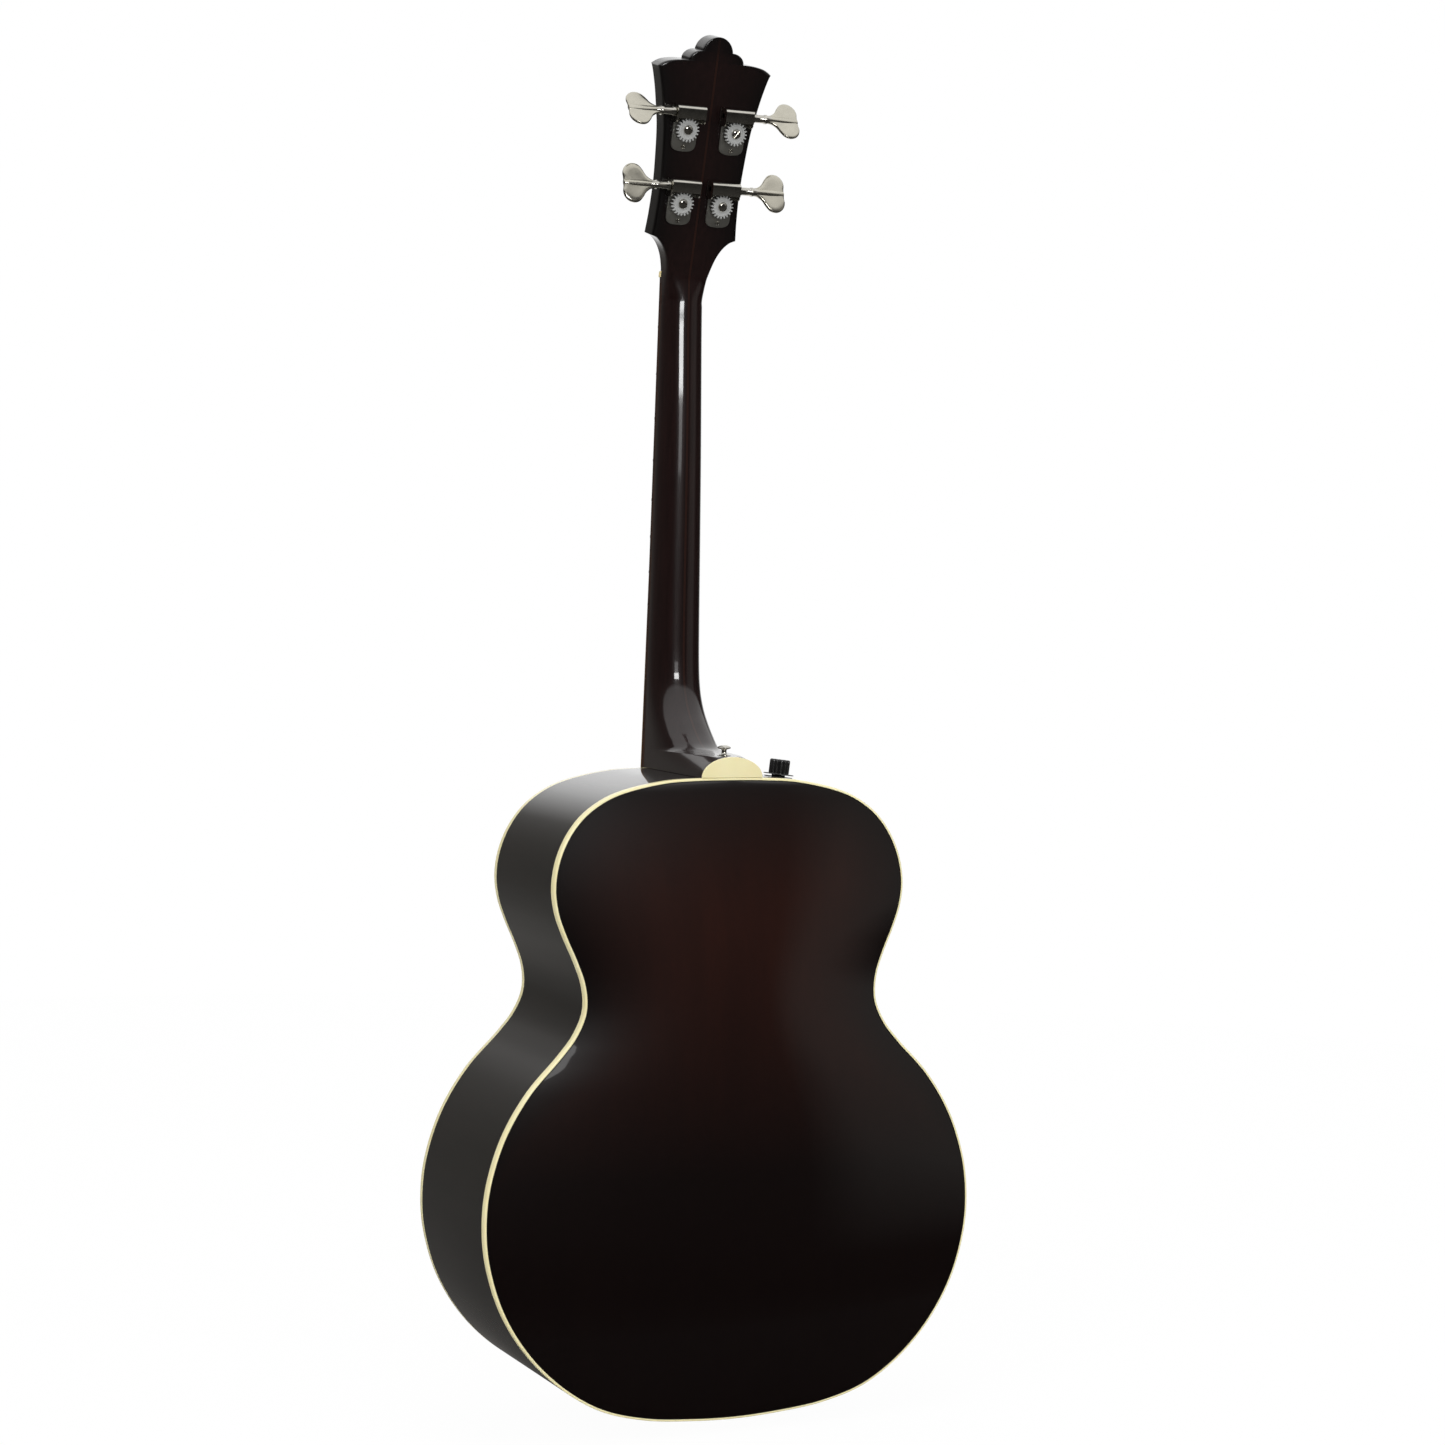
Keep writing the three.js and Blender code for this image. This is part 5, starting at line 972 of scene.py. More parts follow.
# Bridge and pickguard
def build_bridge_body():
    """Full height under the strings, stepped down to two wings that taper to rounded ends."""
    half_length = 82
    half_width = 20
    above_saddle = 12
    crown_half_length = 46
    step_length = 8
    step_drop = 5
    taper_start_share = .62
    taper = 6.4
    end_start_share = .985
    end_taper = 1.4
    end_drop = .8
    corner = 1.6
    middle = SADDLE_HEIGHT + above_saddle - half_width
    quarter = np.linspace(0, math.pi / 2, 7)
    stations = []
    for x in np.linspace(-half_length, half_length, 49):
        share = abs(x) / half_length
        down = between((abs(x) - crown_half_length) / step_length)
        out = max((share - taper_start_share) / (1 - taper_start_share), 0)
        end = max((share - end_start_share) / (1 - end_start_share), 0)
        rise = BRIDGE_CROWN - step_drop * (1 - math.cos(math.pi * down)) / 2 - end_drop * end
        spread = half_width - taper * out ** 2.2 - end_taper * end
        top = corner - rise
        low = middle - spread + corner
        high = middle + spread - corner
        ring = [(x, -FACE_GAP, low - corner)]
        ring += [(x, top - corner * math.sin(a), low - corner * math.cos(a)) for a in quarter]
        ring += [(x, top - corner * math.cos(a), high + corner * math.sin(a)) for a in quarter]
        ring.append((x, -FACE_GAP, high + corner))
        stations.append(ring)
    new_piece("bridge_body", loft(stations), FINISH["ebony"], slot="ebony", replaces=("bridge",))


def build_saddle():
    """The bone blade, slanted across the bridge, with a round crest that drops at both ends."""
    half_length = 39
    half_thickness = 1.45
    foot = 4.6
    crest_round = 1.3
    end_length = 2
    end_drop = .8
    rings = []
    for x in np.linspace(-half_length, half_length, 33):
        z = SADDLE_HEIGHT + SADDLE_SLANT / BRIDGE_SPREAD * x
        drop = end_drop * max(0, abs(x) - half_length + end_length) / end_length
        top = drop + crest_round - SADDLE_CREST
        ring = [(x, -foot, z - half_thickness), (x, -foot, z + half_thickness)]
        for a in np.linspace(0, math.pi, 9):
            ring.append((x, top - crest_round * math.sin(a), z + half_thickness * math.cos(a)))
        rings.append(ring)
    new_piece("saddle_blade", loft(rings), FINISH["bone"], slot="bone", replaces=("saddle",))


def build_bridge_pins():
    """Turned ebony pins, each with a dot of pearl in its head."""
    pin = [(0, -11.9), (1.4, -11.85), (2.6, -11.5), (3.6, -10.9), (4.1, -10.1), (3.9, -9.4),
           (3.1, -9.15), (2.6, -9.1), (2.4, 2), (2.2, 10.6), (0, 10.7)]
    dot = [(0, -12.05), (1.1, -12.0), (1.2, -11.6), (0, -11.6)]
    for i in range(STRING_COUNT):
        place = Matrix.Translation((string_x(i, BRIDGE_SPREAD), 0, PIN_ROW))
        new_piece(f"bridge_pin_{i + 1}_turned", turned(pin, 40), FINISH["ebony"], matrix=place,
                  slot="ebony", replaces=(f"bridge_pin_{i + 1}",))
        new_piece(f"bridge_pin_{i + 1}_dot", turned(dot, 24), FINISH["dot"], matrix=place,
                  slot="bone")


def build_pickguard():
    """A thin sheet below the sound hole on the treble side."""
    foot_x = 38
    foot_z = 242
    height = 150
    thickness = 1.83
    edge_ease = .4
    shares = [(.02, .1), (.2, 0), (.42, .05), (.58, .22), (.62, .45), (.55, .7), (.44, .9), (.33, .98),
              (.24, .97), (.3, .82), (.27, .68), (.15, .58), (.03, .54)]
    outline = centripetal([(foot_x + x * height, foot_z + z * height) for x, z in shares], 8,
                          closed=True)
    plate("pickguard_sheet", [outline], -FACE_GAP - thickness, -FACE_GAP, edge_ease,
          FINISH["pickguard"], slot="black_plastic", replaces=("pickguard",))


# Neck and headstock
def neck_ring(front, back, half_width, power, flare=0.0, flat=math.inf):
    """One neck section: a flat front with a superellipse behind it, cut off at flat. The flare
    widens it towards the back."""
    steps = 56
    deep = back - front
    depth = deep.length
    deep = deep.normalized()
    ring = []
    for i in range(steps + 1):
        a = math.pi * i / steps
        c, s = math.cos(a), max(math.sin(a), 0)
        d = 0 if i in (0, steps) else min(depth * s ** (2 / power), flat)
        x = half_width * math.copysign(abs(c) ** (2 / power), c)
        ring.append(front + deep * d + Vector((x * (1 + flare * d / NECK_END_DEPTH), 0, 0)))
    return ring


def head_widths():
    """Half widths of the headstock along it: the flare from the shaft, then its edge and crown."""
    side = [(x * HEAD_HALF_WIDTH, z * HEAD_LENGTH) for x, z in HEAD_OUTLINE_SHARES]
    corner_x, corner_z = side[0]
    flare = centripetal([(NUT_HALF_WIDTH + (corner_x - NUT_HALF_WIDTH) * x,
                          FLARE_START + (corner_z - FLARE_START) * z) for x, z in FLARE_SHARES], 8)
    lower = centripetal(side[:HEAD_CORNER + 1], 8)
    upper = centripetal(side[HEAD_CORNER:], 8)
    lobe_x, lobe_z = LOBE_END_SHARES[0] * HEAD_HALF_WIDTH, LOBE_END_SHARES[1] * HEAD_LENGTH
    shoulder_x, shoulder_z = side[-1]
    lobe = [(shoulder_x + (lobe_x - shoulder_x) * (1 - math.cos(a)),
             shoulder_z + (lobe_z - shoulder_z) * math.sin(a))
            for a in np.linspace(0, math.pi / 2, 14)[1:]]
    rise = HEAD_LENGTH - lobe_z
    radius = (rise ** 2 + lobe_x ** 2) / (2 * rise)
    start = math.asin(min(1, lobe_x / radius))
    crown = [(radius * math.sin(a), HEAD_LENGTH - radius + radius * math.cos(a))
             for a in np.linspace(start, 0, 22)[1:]]
    return flare, np.vstack([lower, upper[1:], lobe, crown])


def heel_rings():
    """The heel's foot, half an ellipse in plan, cut flat for its cap."""
    rings = []
    for share in np.linspace(0, .985, 22):
        z = BODY_LENGTH + FACE_GAP + share * HEEL_REACH
        spread = math.sqrt(1 - share ** 2)
        power = HEEL_POWER + (SHAFT_POWER - HEEL_POWER) * share
        reach = max(1 - spread ** power, 1 / NECK_END_DEPTH) ** (1 / power)
        front = Vector((0, board_plane(z), z))
        flat = HEEL_BACK - board_plane(z)
        rings.append(neck_ring(front, front + Vector((0, flat / reach, 0)), board_half_width(z),
                               power, HEEL_FLARE, flat))
    return rings


def shaft_rings():
    """The heel's sweep and the shaft, by a smooth curve through the profile."""
    # so that a change of power counts in the curve's stretches beside the millimetres
    weight = 10
    rings = []
    for height, depth, weighted in centripetal([(h, d, p * weight) for h, d, p in NECK_PROFILE], 8):
        z = BODY_LENGTH + height
        front = Vector((0, board_plane(z), z))
        flare = HEEL_FLARE * between((HEEL_FLARE_END - height) / HEEL_FLARE_FADE)
        rings.append(neck_ring(front, front + Vector((0, depth, 0)), board_half_width(z),
                               weighted / weight, flare))
    return rings


def head_rings():
    """From the shaft over the bend at the nut to the tilted headstock and up to its crown."""
    front_turn_start = 1
    front_turn_length = 5
    thinnest = .02
    flare_line, outline = head_widths()
    flare_length = flare_line[-1][1] - FLARE_START
    shaft_depth = NECK_PROFILE[-1][1]
    rings = []
    for half_width, along in flare_line:
        share = between((along - FLARE_START) / flare_length)
        power = SHAFT_POWER + (HEAD_POWER - SHAFT_POWER) * share ** 1.6
        z = NUT_HEIGHT + along
        on_board = Vector((0, board_plane(z), z))
        on_head = HEAD @ Vector((0, HEAD_FRONT, along))
        front = on_board.lerp(on_head, between((along - front_turn_start) / front_turn_length))
        # the two back lines meet in a soft bend near the nut
        shaft_back = Vector((0, board_plane(z) + shaft_depth, z))
        head_back = HEAD @ Vector((0, HEAD_BACK, along))
        pull = 1 / (1 + math.exp((shaft_back.y - head_back.y) / BEND_SOFTNESS))
        rings.append(neck_ring(front, shaft_back.lerp(head_back, pull), half_width, power))
    for half_width, along in outline[1:]:
        front = HEAD @ Vector((0, HEAD_FRONT, along))
        back = HEAD @ Vector((0, HEAD_BACK, along))
        rings.append(neck_ring(front, back, max(half_width, thinnest), HEAD_POWER))
    return rings


def shade_headstock(obj):
    """Stores the headstock's sprayed shading: 0 along its middle and on the shaft, 1 at its edge."""
    fade_start = 10
    fade_length = 25
    outline = head_widths()[1]
    into = HEAD.inverted()
    values = []
    for v in obj.data.vertices:
        p = into @ to_millimetres(v.co)
        half_width = float(np.interp(p.z, outline[:, 1], outline[:, 0]))
        near = max(0.0, 1 - max(half_width - abs(p.x), 0) / HEAD_SHADING_WIDTH)
        values.append(near * between((p.z - fade_start) / fade_length))
    store(obj.data, "shade", values)


def build_carved_neck():
    """The heel, shaft and headstock as one carved piece, and the cap on the heel."""
    neck = new_piece("neck_carved_body", loft(heel_rings() + shaft_rings() + head_rings()),
                     FINISH["neck"], 34, slot="neck_lacquer", replaces=("neck",))
    shade_headstock(neck)
    edge_ease = .35
    foot = BODY_LENGTH + FACE_GAP
    edge = [(HEEL_HALF_WIDTH * math.cos(a), foot + HEEL_REACH * math.sin(a))
            for a in np.linspace(0, math.pi, 73)]
    plate("heel_cap_plate", [edge], HEEL_BACK, NECK_END_DEPTH, edge_ease, FINISH["binding"],
          slot="binding", replaces=("heel_cap",))


def build_fingerboard():
    """The rosewood board, planed round, with its long edges eased."""
    ease_width = .35
    ease_depth = .4
    rings = []
    for z in np.linspace(NUT_HEIGHT - BOARD_LENGTH, NUT_HEIGHT, 12):
        w = board_half_width(z)
        side = [(w, board_plane(z), z), (w, board_top(w, z) + ease_depth, z)]
        planed = [(x, board_top(x, z), z) for x in np.linspace(1, -1, 25) * (w - ease_width)]
        rings.append(side + planed + [(-x, y, z) for x, y, z in side[::-1]])
    new_piece("fingerboard_planed", loft(rings), FINISH["rosewood"], slot="ebony",
              replaces=("fingerboard",))


def build_headstock_face():
    """The black veneer, cut to the headstock's outline and drilled for the bushings, and the cover
    of the truss rod."""
    veneer_start = 5.5
    veneer_front = 1.9
    veneer_ease = .25
    bushing_hole = 9
    cover_front = -.2
    cover_back = 1.62
    cover_ease = .35
    flare_line, outline = head_widths()
    above_nut = [(x, z) for x, z in flare_line[:-1] if z > veneer_start + .1]
    half = [(np.interp(veneer_start, flare_line[:, 1], flare_line[:, 0]), veneer_start)]
    half += above_nut + [tuple(p) for p in outline[:-1]]
    face = half + [(0, HEAD_LENGTH)] + [(-x, z) for x, z in half[::-1]]
    holes = [circle(side * across, along, bushing_hole, 48) for side, across, along, _ in TUNERS]
    plate("headstock_face_veneer", [face] + holes, veneer_front, HEAD_FRONT - FACE_GAP, veneer_ease,
          FINISH["veneer"], matrix=HEAD, slot="black_plastic", replaces=("headstock_veneer",))
    half = [(11, 7.7), (11, 25), (5.5, 38.6)]
    cover = centripetal(half + [(0, 42)] + [(-x, z) for x, z in half[::-1]], 6)
    plate("truss_cover_plate", [cover], cover_front, cover_back, cover_ease, FINISH["veneer"],
          matrix=HEAD, slot="black_plastic", replaces=("truss_rod_cover",))


def build_nut():
    """The bone nut: its top falls away towards the headstock."""
    above_board = 2.6
    falls = (0, .1, .05, 0, -.05, -.2, -.45, -.85, -1.5)
    w = board_half_width(NUT_HEIGHT)
    foot = board_plane(NUT_HEIGHT) + .1
    rings = []
    for along, fall in zip(np.linspace(0, NUT_LENGTH, len(falls)), falls):
        top = board_top(0, NUT_HEIGHT) - above_board - fall
        side = [(w, foot), (w, top + 1.1), (w - .8, top + .35)]
        crown = [(u * (w - 2), top + .25 * u * u) for u in np.linspace(1, -1, 9)]
        section = side + crown + [(-x, y) for x, y in side[::-1]]
        rings.append([(x, y, NUT_HEIGHT + along) for x, y in section])
    new_piece("nut_bone_block", loft(rings), FINISH["bone"], slot="bone", replaces=("nut",))


# Pieces that repeat, by Geometry Nodes
def repeat_tree(name):
    """A node tree that puts one shape on every point, turned and sized as the point says."""
    tree = bpy.data.node_groups.new(name, "GeometryNodeTree")
    face = tree.interface
    face.new_socket("Geometry", in_out="INPUT", socket_type="NodeSocketGeometry")
    face.new_socket("Shape", in_out="INPUT", socket_type="NodeSocketObject")
    face.new_socket("Material", in_out="INPUT", socket_type="NodeSocketMaterial")
    face.new_socket("Size", in_out="INPUT", socket_type="NodeSocketFloat").default_value = 1.0
    face.new_socket("Geometry", in_out="OUTPUT", socket_type="NodeSocketGeometry")
    given = node(tree, "NodeGroupInput")
    child = node(tree, "GeometryNodeObjectInfo", {"Object": given.outputs["Shape"]})
    scale = node(tree, "GeometryNodeInputNamedAttribute", {"Name": "size"}, data_type="FLOAT_VECTOR")
    turn = node(tree, "GeometryNodeInputNamedAttribute", {"Name": "turn"}, data_type="FLOAT_VECTOR")
    sized = node(tree, "ShaderNodeVectorMath", {
        0: scale.outputs["Attribute"], "Scale": given.outputs["Size"]}, operation="SCALE")
    placed = node(tree, "GeometryNodeInstanceOnPoints", {
        "Points": given.outputs["Geometry"], "Instance": child.outputs["Geometry"],
        "Rotation": turn.outputs["Attribute"], "Scale": sized.outputs["Vector"]})
    real = node(tree, "GeometryNodeRealizeInstances", {"Geometry": placed.outputs["Instances"]})
    painted = node(tree, "GeometryNodeSetMaterial", {
        "Geometry": real.outputs["Geometry"], "Material": given.outputs["Material"]})
    node(tree, "NodeGroupOutput", {"Geometry": painted})
    return tree


def repeated(name, shape, places, material, whole_size=1.0, body=BODY_NAME):
    """One piece made of a shape repeated at places: (matrix in millimetres, size vector) each."""
    points, faces = shape
    child_mesh = closed_mesh(name + "_one", [tuple(Vector(p) / 1000) for p in points], faces)
    child = bpy.data.objects.new(name + "_one", child_mesh)
    turns, sizes = [], []
    for matrix, size in places:
        turns.extend(matrix.to_euler())
        sizes.extend(size)
    carrier_mesh = bpy.data.meshes.new(name + "_places")
    carrier_mesh.from_pydata([to_metres(matrix.to_translation()) for matrix, _ in places], [], [])
    carrier_mesh.attributes.new("turn", "FLOAT_VECTOR", "POINT").data.foreach_set("vector", turns)
    carrier_mesh.attributes.new("size", "FLOAT_VECTOR", "POINT").data.foreach_set("vector", sizes)
    carrier = bpy.data.objects.new(name, carrier_mesh)
    for one in (child, carrier):
        bpy.context.collection.objects.link(one)
    tree = repeat_tree(name + "_rule")
    modifier = carrier.modifiers.new("rule", "NODES")
    modifier.node_group = tree
    sockets = {s.name: s.identifier for s in tree.interface.items_tree if s.in_out == "INPUT"}
    modifier[sockets["Shape"]] = child
    modifier[sockets["Material"]] = material
    modifier[sockets["Size"]] = whole_size
    made = evaluated_mesh(carrier)
    carrier.modifiers.clear()
    carrier.data = made
    bpy.data.objects.remove(child)
    return dress(carrier, material, 35, body)


def build_frets(sizes):
    """The frets across the board, each placed by the rule of the scale."""
    end_gap = .1
    end_height_share = .35
    round_half_width = 21
    rings = []
    for u in np.linspace(-1, 1, 21):
        crown = sizes.fret_height * 1000 * (end_height_share if abs(u) == 1 else 1)
        rings.append([(u * 1000, board_sag(u * round_half_width) - crown * math.sin(a),
                       -sizes.fret_width * 500 * math.cos(a)) for a in np.linspace(0, math.pi, 9)])
    places = []
    for fret in range(1, FRET_COUNT + 1):
        z = fret_height(fret)
        half_width = (board_half_width(z) - end_gap) / 1000
        places.append((Matrix.Translation((0, board_top(0, z), z)), (half_width, 1, 1)))
    repeated("fret_wires", loft(rings), places, FINISH["steel"])


def build_face_dots(sizes):
    """The position dots, halfway between two frets, and two of them at the octave."""
    octave_x = 11
    dot = turned([(0, -.03), (.97, -.03), (1, 0), (1, .8), (0, .8)], 32)
    radius = sizes.dot_radius * 1000
    places = []
    for fret, x in ((3, 0), (5, 0), (7, 0), (9, 0), (12, -octave_x), (12, octave_x), (15, 0), (17, 0),
                    (19, 0)):
        z = (fret_height(fret) + fret_height(fret - 1)) / 2
        places.append((Matrix.Translation((x, board_top(x, z), z)), (radius, 1, radius)))
    repeated("face_dots", dot, places, FINISH["dot"])


# Tuners
def hood_line(reach, inwards):
    """The line, as y and z, of the strip that folds over the worm, moved inwards from its outside."""
    foot = TUNER_PLATE_TOP - .5
    low = SHAFT_OFFSET - 4.6
    high = SHAFT_OFFSET + 6.4
    fold = 3.4
    line = [(foot, high - inwards)]
    for a in np.linspace(math.pi / 2, 0, 9):
        line.append((reach - fold + (fold - inwards) * math.cos(a),
                     high - fold + (fold - inwards) * math.sin(a)))
    return line + [(reach - inwards, low)]


def build_tuner_plate(number, here, sizes):
    """Pressed base plate with its folded hood and three round-headed wood screws."""
    post_hole = 6.6
    edge_ease = .3
    screw_height_share = .52
    half = list(map(tuple, centripetal([(0, -19.3), (5.2, -18.9), (8.6, -17.8), (10.6, -16.0),
                                        (11.5, -13.2), (11.6, -10)], 5)))
    half += [(11.6, 5.7), (TUNER_HALF_WIDTH, 5.7), (TUNER_HALF_WIDTH, 20.9)]
    outline = half + [(-x, z) for x, z in half[::-1] if x]
    plate(f"tuner_plate_{number}_base", [outline, circle(0, 0, post_hole, 48)], HEAD_BACK + FACE_GAP,
          TUNER_PLATE_TOP, edge_ease, FINISH["plate"], matrix=here, slot="nickel",
          replaces=(f"tuner_plate_{number}",))

    # the hood is a folded strip with an ear at each end
    wall = .9
    reach = GEAR_MIDDLE + 6.4
    inner = hood_line(reach, wall)
    ring = hood_line(reach, 0) + inner[::-1]
    hood = loft([[(x, y, z) for y, z in ring]
                 for x in np.linspace(-TUNER_HALF_WIDTH, TUNER_HALF_WIDTH, 9)])
    ear = [(inner[0][0], SHAFT_OFFSET - 9), (reach - 5.5, SHAFT_OFFSET - 9),
           (reach - 2.2, SHAFT_OFFSET - 8.3), (reach - .6, SHAFT_OFFSET - 6.6)] + inner[::-1]
    ears = [loft([[(x, y, z) for y, z in ear] for x in (start, start + wall)])
            for start in (-TUNER_HALF_WIDTH, TUNER_HALF_WIDTH - wall)]
    new_piece(f"tuner_plate_{number}_hood", together(hood, *ears), FINISH["nickel"], 30, matrix=here,
              slot="nickel")

    # one screw below the gear and one at each side under the hood, each stopped at its own turn
    places = []
    for x, z, turn in ((0, -15.2, .6), (-8.3, 8.0, 1.9), (8.3, 8.0, 2.6)):
        seat = Matrix.Translation((x, TUNER_PLATE_TOP - FACE_GAP, z))
        places.append((here @ seat @ Matrix.Rotation(turn, 4, "Y"), (1, 1, 1)))
    repeated(f"tuner_plate_{number}_screws", screw_head(screw_height_share), places,
             FINISH["nickel"], whole_size=sizes.screw_radius * 1000)


def screw_head(height):
    """A domed screw head about the y axis, 1 in radius, with a cross recess sunk into it."""
    recess_reach = .7
    recess_half_width = .16
    recess_depth = .45
    sunk = .15
    rings = []
    for r, h in ((1, 0), (1, .25), (.93, .55), (.78, .8), (.55, .95), (.28, 1.0), (.02, 1.02)):
        ring = []
        for a in round_turn(32):
            x, z = r * math.cos(a), r * math.sin(a)
            in_recess = r < recess_reach and min(abs(x), abs(z)) < recess_half_width
            ring.append((x, height * (h - recess_depth if in_recess else h), z))
        rings.append(ring)
    return loft([[(x, -sunk, z) for x, _, z in rings[0]]] + rings)


def slotted_head(radius, height):
    """A domed cheese head with one straight slot, as two halves and a floor."""
    slot_half_width = .55
    floor_radius = radius * .94
    floor_level = height * .35
    pieces = []
    for sign in (-1, 1):
        rings = []
        for r, h in ((1, -.1), (1, .35), (.95, .6), (.82, .82), (.6, .95), (.3, 1.02)):
            rings.append([(sign * max(radius * r * math.cos(a), slot_half_width), height * h,
                           radius * r * math.sin(a)) for a in np.linspace(-math.pi / 2, math.pi / 2, 25)])
        pieces.append(loft(rings))
    floor = turned([(0, -.3), (floor_radius, -.3), (floor_radius, floor_level), (0, floor_level)], 48)
    return together(*pieces, floor)


def build_gear(number, here, sizes):
    """Cut gear with its teeth by rule, its slotted screw, and the string post in front."""
    body = f"gear_{number}"
    low, high = GEAR_MIDDLE - GEAR_HALF_THICKNESS, GEAR_MIDDLE + GEAR_HALF_THICKNESS
    disc = [(0, low), (8.1, low), (8.4, low + .3), (8.4, high - .3), (8.1, high), (6.9, high),
            (6.6, high - .25), (4.4, high - .25), (0, high - .25)]
    post = [(0, -19.6), (4.4, -19.5), (5.6, -19.1), (6.25, -18.2), (6.35, -17), (6.3, -15.6),
            (5.2, -14.6), (POST_WAIST, -13.8), (POST_WAIST, -4), (4.75, -2.6), (5.6, -1.2),
            (6.35, -.5), (6.35, low + .1), (0, low + .1)]
    new_piece(f"tuner_gear_{number}_disc", together(turned(disc, 80), turned(post, 56)),
              FINISH["gear"], matrix=here, body=body, slot="gear_metal",
              replaces=(f"tuner_gear_post_{number}",))

    # a tooth gets a little narrower and lower towards the gear's two faces
    face_width_share = .9
    face_drop = .25
    tooth = [(-.82, 7.9), (-.7, 8.7), (-.56, 9.9), (-.4, 10.5)]
    tooth += [(-x, z) for x, z in tooth[::-1]]
    eased = [(x * face_width_share, z - face_drop * (z > 9)) for x, z in tooth]
    shape = loft([[(x, y, z) for x, z in line]
                  for y, line in ((-1.5, eased), (-1.2, tooth), (1.2, tooth), (1.5, eased))])
    middle = Matrix.Translation((0, GEAR_MIDDLE, 0))
    places = [(here @ middle @ Matrix.Rotation(turn, 4, "Y"), (1, 1, 1))
              for turn in round_turn(sizes.teeth)]
    repeated(f"tuner_gear_{number}_teeth", shape, places, FINISH["gear"], body=body)

    seat = Matrix.Translation((0, high - .3, 0)) @ Matrix.Rotation(.5 + number, 4, "Y")
    new_piece(f"tuner_gear_{number}_screw", moved(slotted_head(4.2, 2.2), seat), FINISH["nickel"],
              matrix=here, body=body, slot="nickel")


def worm_thread():
    """Three turns of thread round the shaft, which fade in and out at both ends."""
    steps = 72
    steps_per_turn = 24
    pitch = 3.236
    root = 3.0
    root_half_width = .85
    tip_half_width = .28
    rings = []
    for k in range(steps + 1):
        turn = (k - steps / 2) / steps_per_turn
        fade = min(1, min(k, steps - k) / 6 + .1)
        a = turn * 2 * math.pi
        tip = 3.3 + 1.6 * fade
        flat = tip_half_width * fade
        rings.append([(r * math.sin(a), turn * pitch + off, r * math.cos(a)) for r, off in (
            (root, -root_half_width), (tip, -flat), (tip, flat), (root, root_half_width))])
    return loft(rings)


def build_key(number, here, side, twist):
    """Key button with its two lobes, collar, shaft and worm."""
    hood_gap = .3
    stem_length = 14.4
    body = f"key_{number}"
    start = TUNER_HALF_WIDTH + hood_gap
    end = start + stem_length
    lay = here @ Matrix.Translation((0, GEAR_MIDDLE, SHAFT_OFFSET)) @ Matrix.Rotation(
        -side * math.pi / 2, 4, "Z")
    core = [(0, -TUNER_HALF_WIDTH), (2.2, -TUNER_HALF_WIDTH), (2.4, -13.1), (2.4, -6.7), (3.4, -5.9),
            (3.4, 5.9), (2.4, 6.7), (2.4, start), (3.6, start), (4.05, start + .4),
            (4.05, start + 2.2), (3.5, start + 2.8), (3.5, end - 3.4), (4.05, end - 2.6),
            (4.05, end - .8), (3.6, end), (3.0, end + 3.2), (1.4, end + 10), (0, end + 10)]
    new_piece(f"tuner_key_{number}_shaft", together(turned(core, 40), worm_thread()),
              FINISH["nickel"], matrix=lay, body=body, slot="nickel",
              replaces=(f"tuner_key_{number}",))
    blade = lay @ Matrix.Rotation(math.pi / 2 + side * math.radians(twist), 4, "Y")
    new_piece(f"tuner_key_{number}_blade", together(key_blade(end), key_bar(end)), FINISH["key"], 50,
              matrix=blade, body=body, slot="nickel")


def key_bar(end):
    """The stem carried on over both faces of the blade as a flattened bar, cut off at its edge."""
    stations = ((-1, 2.9, 2.9), (5, 3.1, 2.8), (14, 3.3, 2.45), (24, 3.2, 2.1), (28.6, 3.1, 1.95),
                (29.3, 2.7, 1.6))
    return loft([[(half * math.cos(a), end + along, thick * math.sin(a)) for a in round_turn(24)]
                 for along, half, thick in stations])


def key_blade(end):
    """The flat pressed blade: its thickness swells at the stem and thins to a rolled edge."""
    half_width = 17.4
    length = 30.4
    middle = 15.5
    shares = [(0, .2), (.12, .24), (.27, .42), (.38, .7), (.5, .92), (.65, 1), (.81, .94), (.94, .74),
              (.99, .48), (.975, .24), (.97, 0)]
    # share of the way out from the middle, and half the thickness there
    rows = ((1.0, 0.0), (.985, .8), (.95, 1.25), (.86, 1.5), (.7, 1.56), (.45, 1.45), (.2, 1.4))
    half = centripetal([(v * half_width, end + h * length) for h, v in shares], 5)
    half[:, 0] = np.maximum(half[:, 0], 0)
    outline = np.vstack([half, half[:-1][::-1] * [-1, 1]])
    centre = np.array([0, end + middle])
    stations = [(share, -thick) for share, thick in rows[::-1]] + list(rows[1:])
    rings = []
    for share, level in stations:
        rings.append([(x, z, level) for x, z in centre + (outline - centre) * share])
    return loft(rings)


def build_tuners(sizes):
    """The four tuners, each with the bushing that lines its post's hole in front."""
    bushing = [(6.65, .4), (9.2, .35), (9.8, .75), (10, 1.3), (10, 1.9), (8.7, 1.95), (8.7, 9.9),
               (6.65, 9.9), (6.65, .4)]
    for number, (side, across, along, twist) in enumerate(TUNERS, 1):
        here = HEAD @ Matrix.Translation((side * across, 0, along))
        build_tuner_plate(number, here, sizes)
        build_gear(number, here, sizes)
        build_key(number, here, side, twist)
        new_piece(f"tuner_bushing_{number}_ring", turned(bushing), FINISH["nickel"], matrix=here,
                  slot="nickel", replaces=(f"tuner_bushing_{number}",))


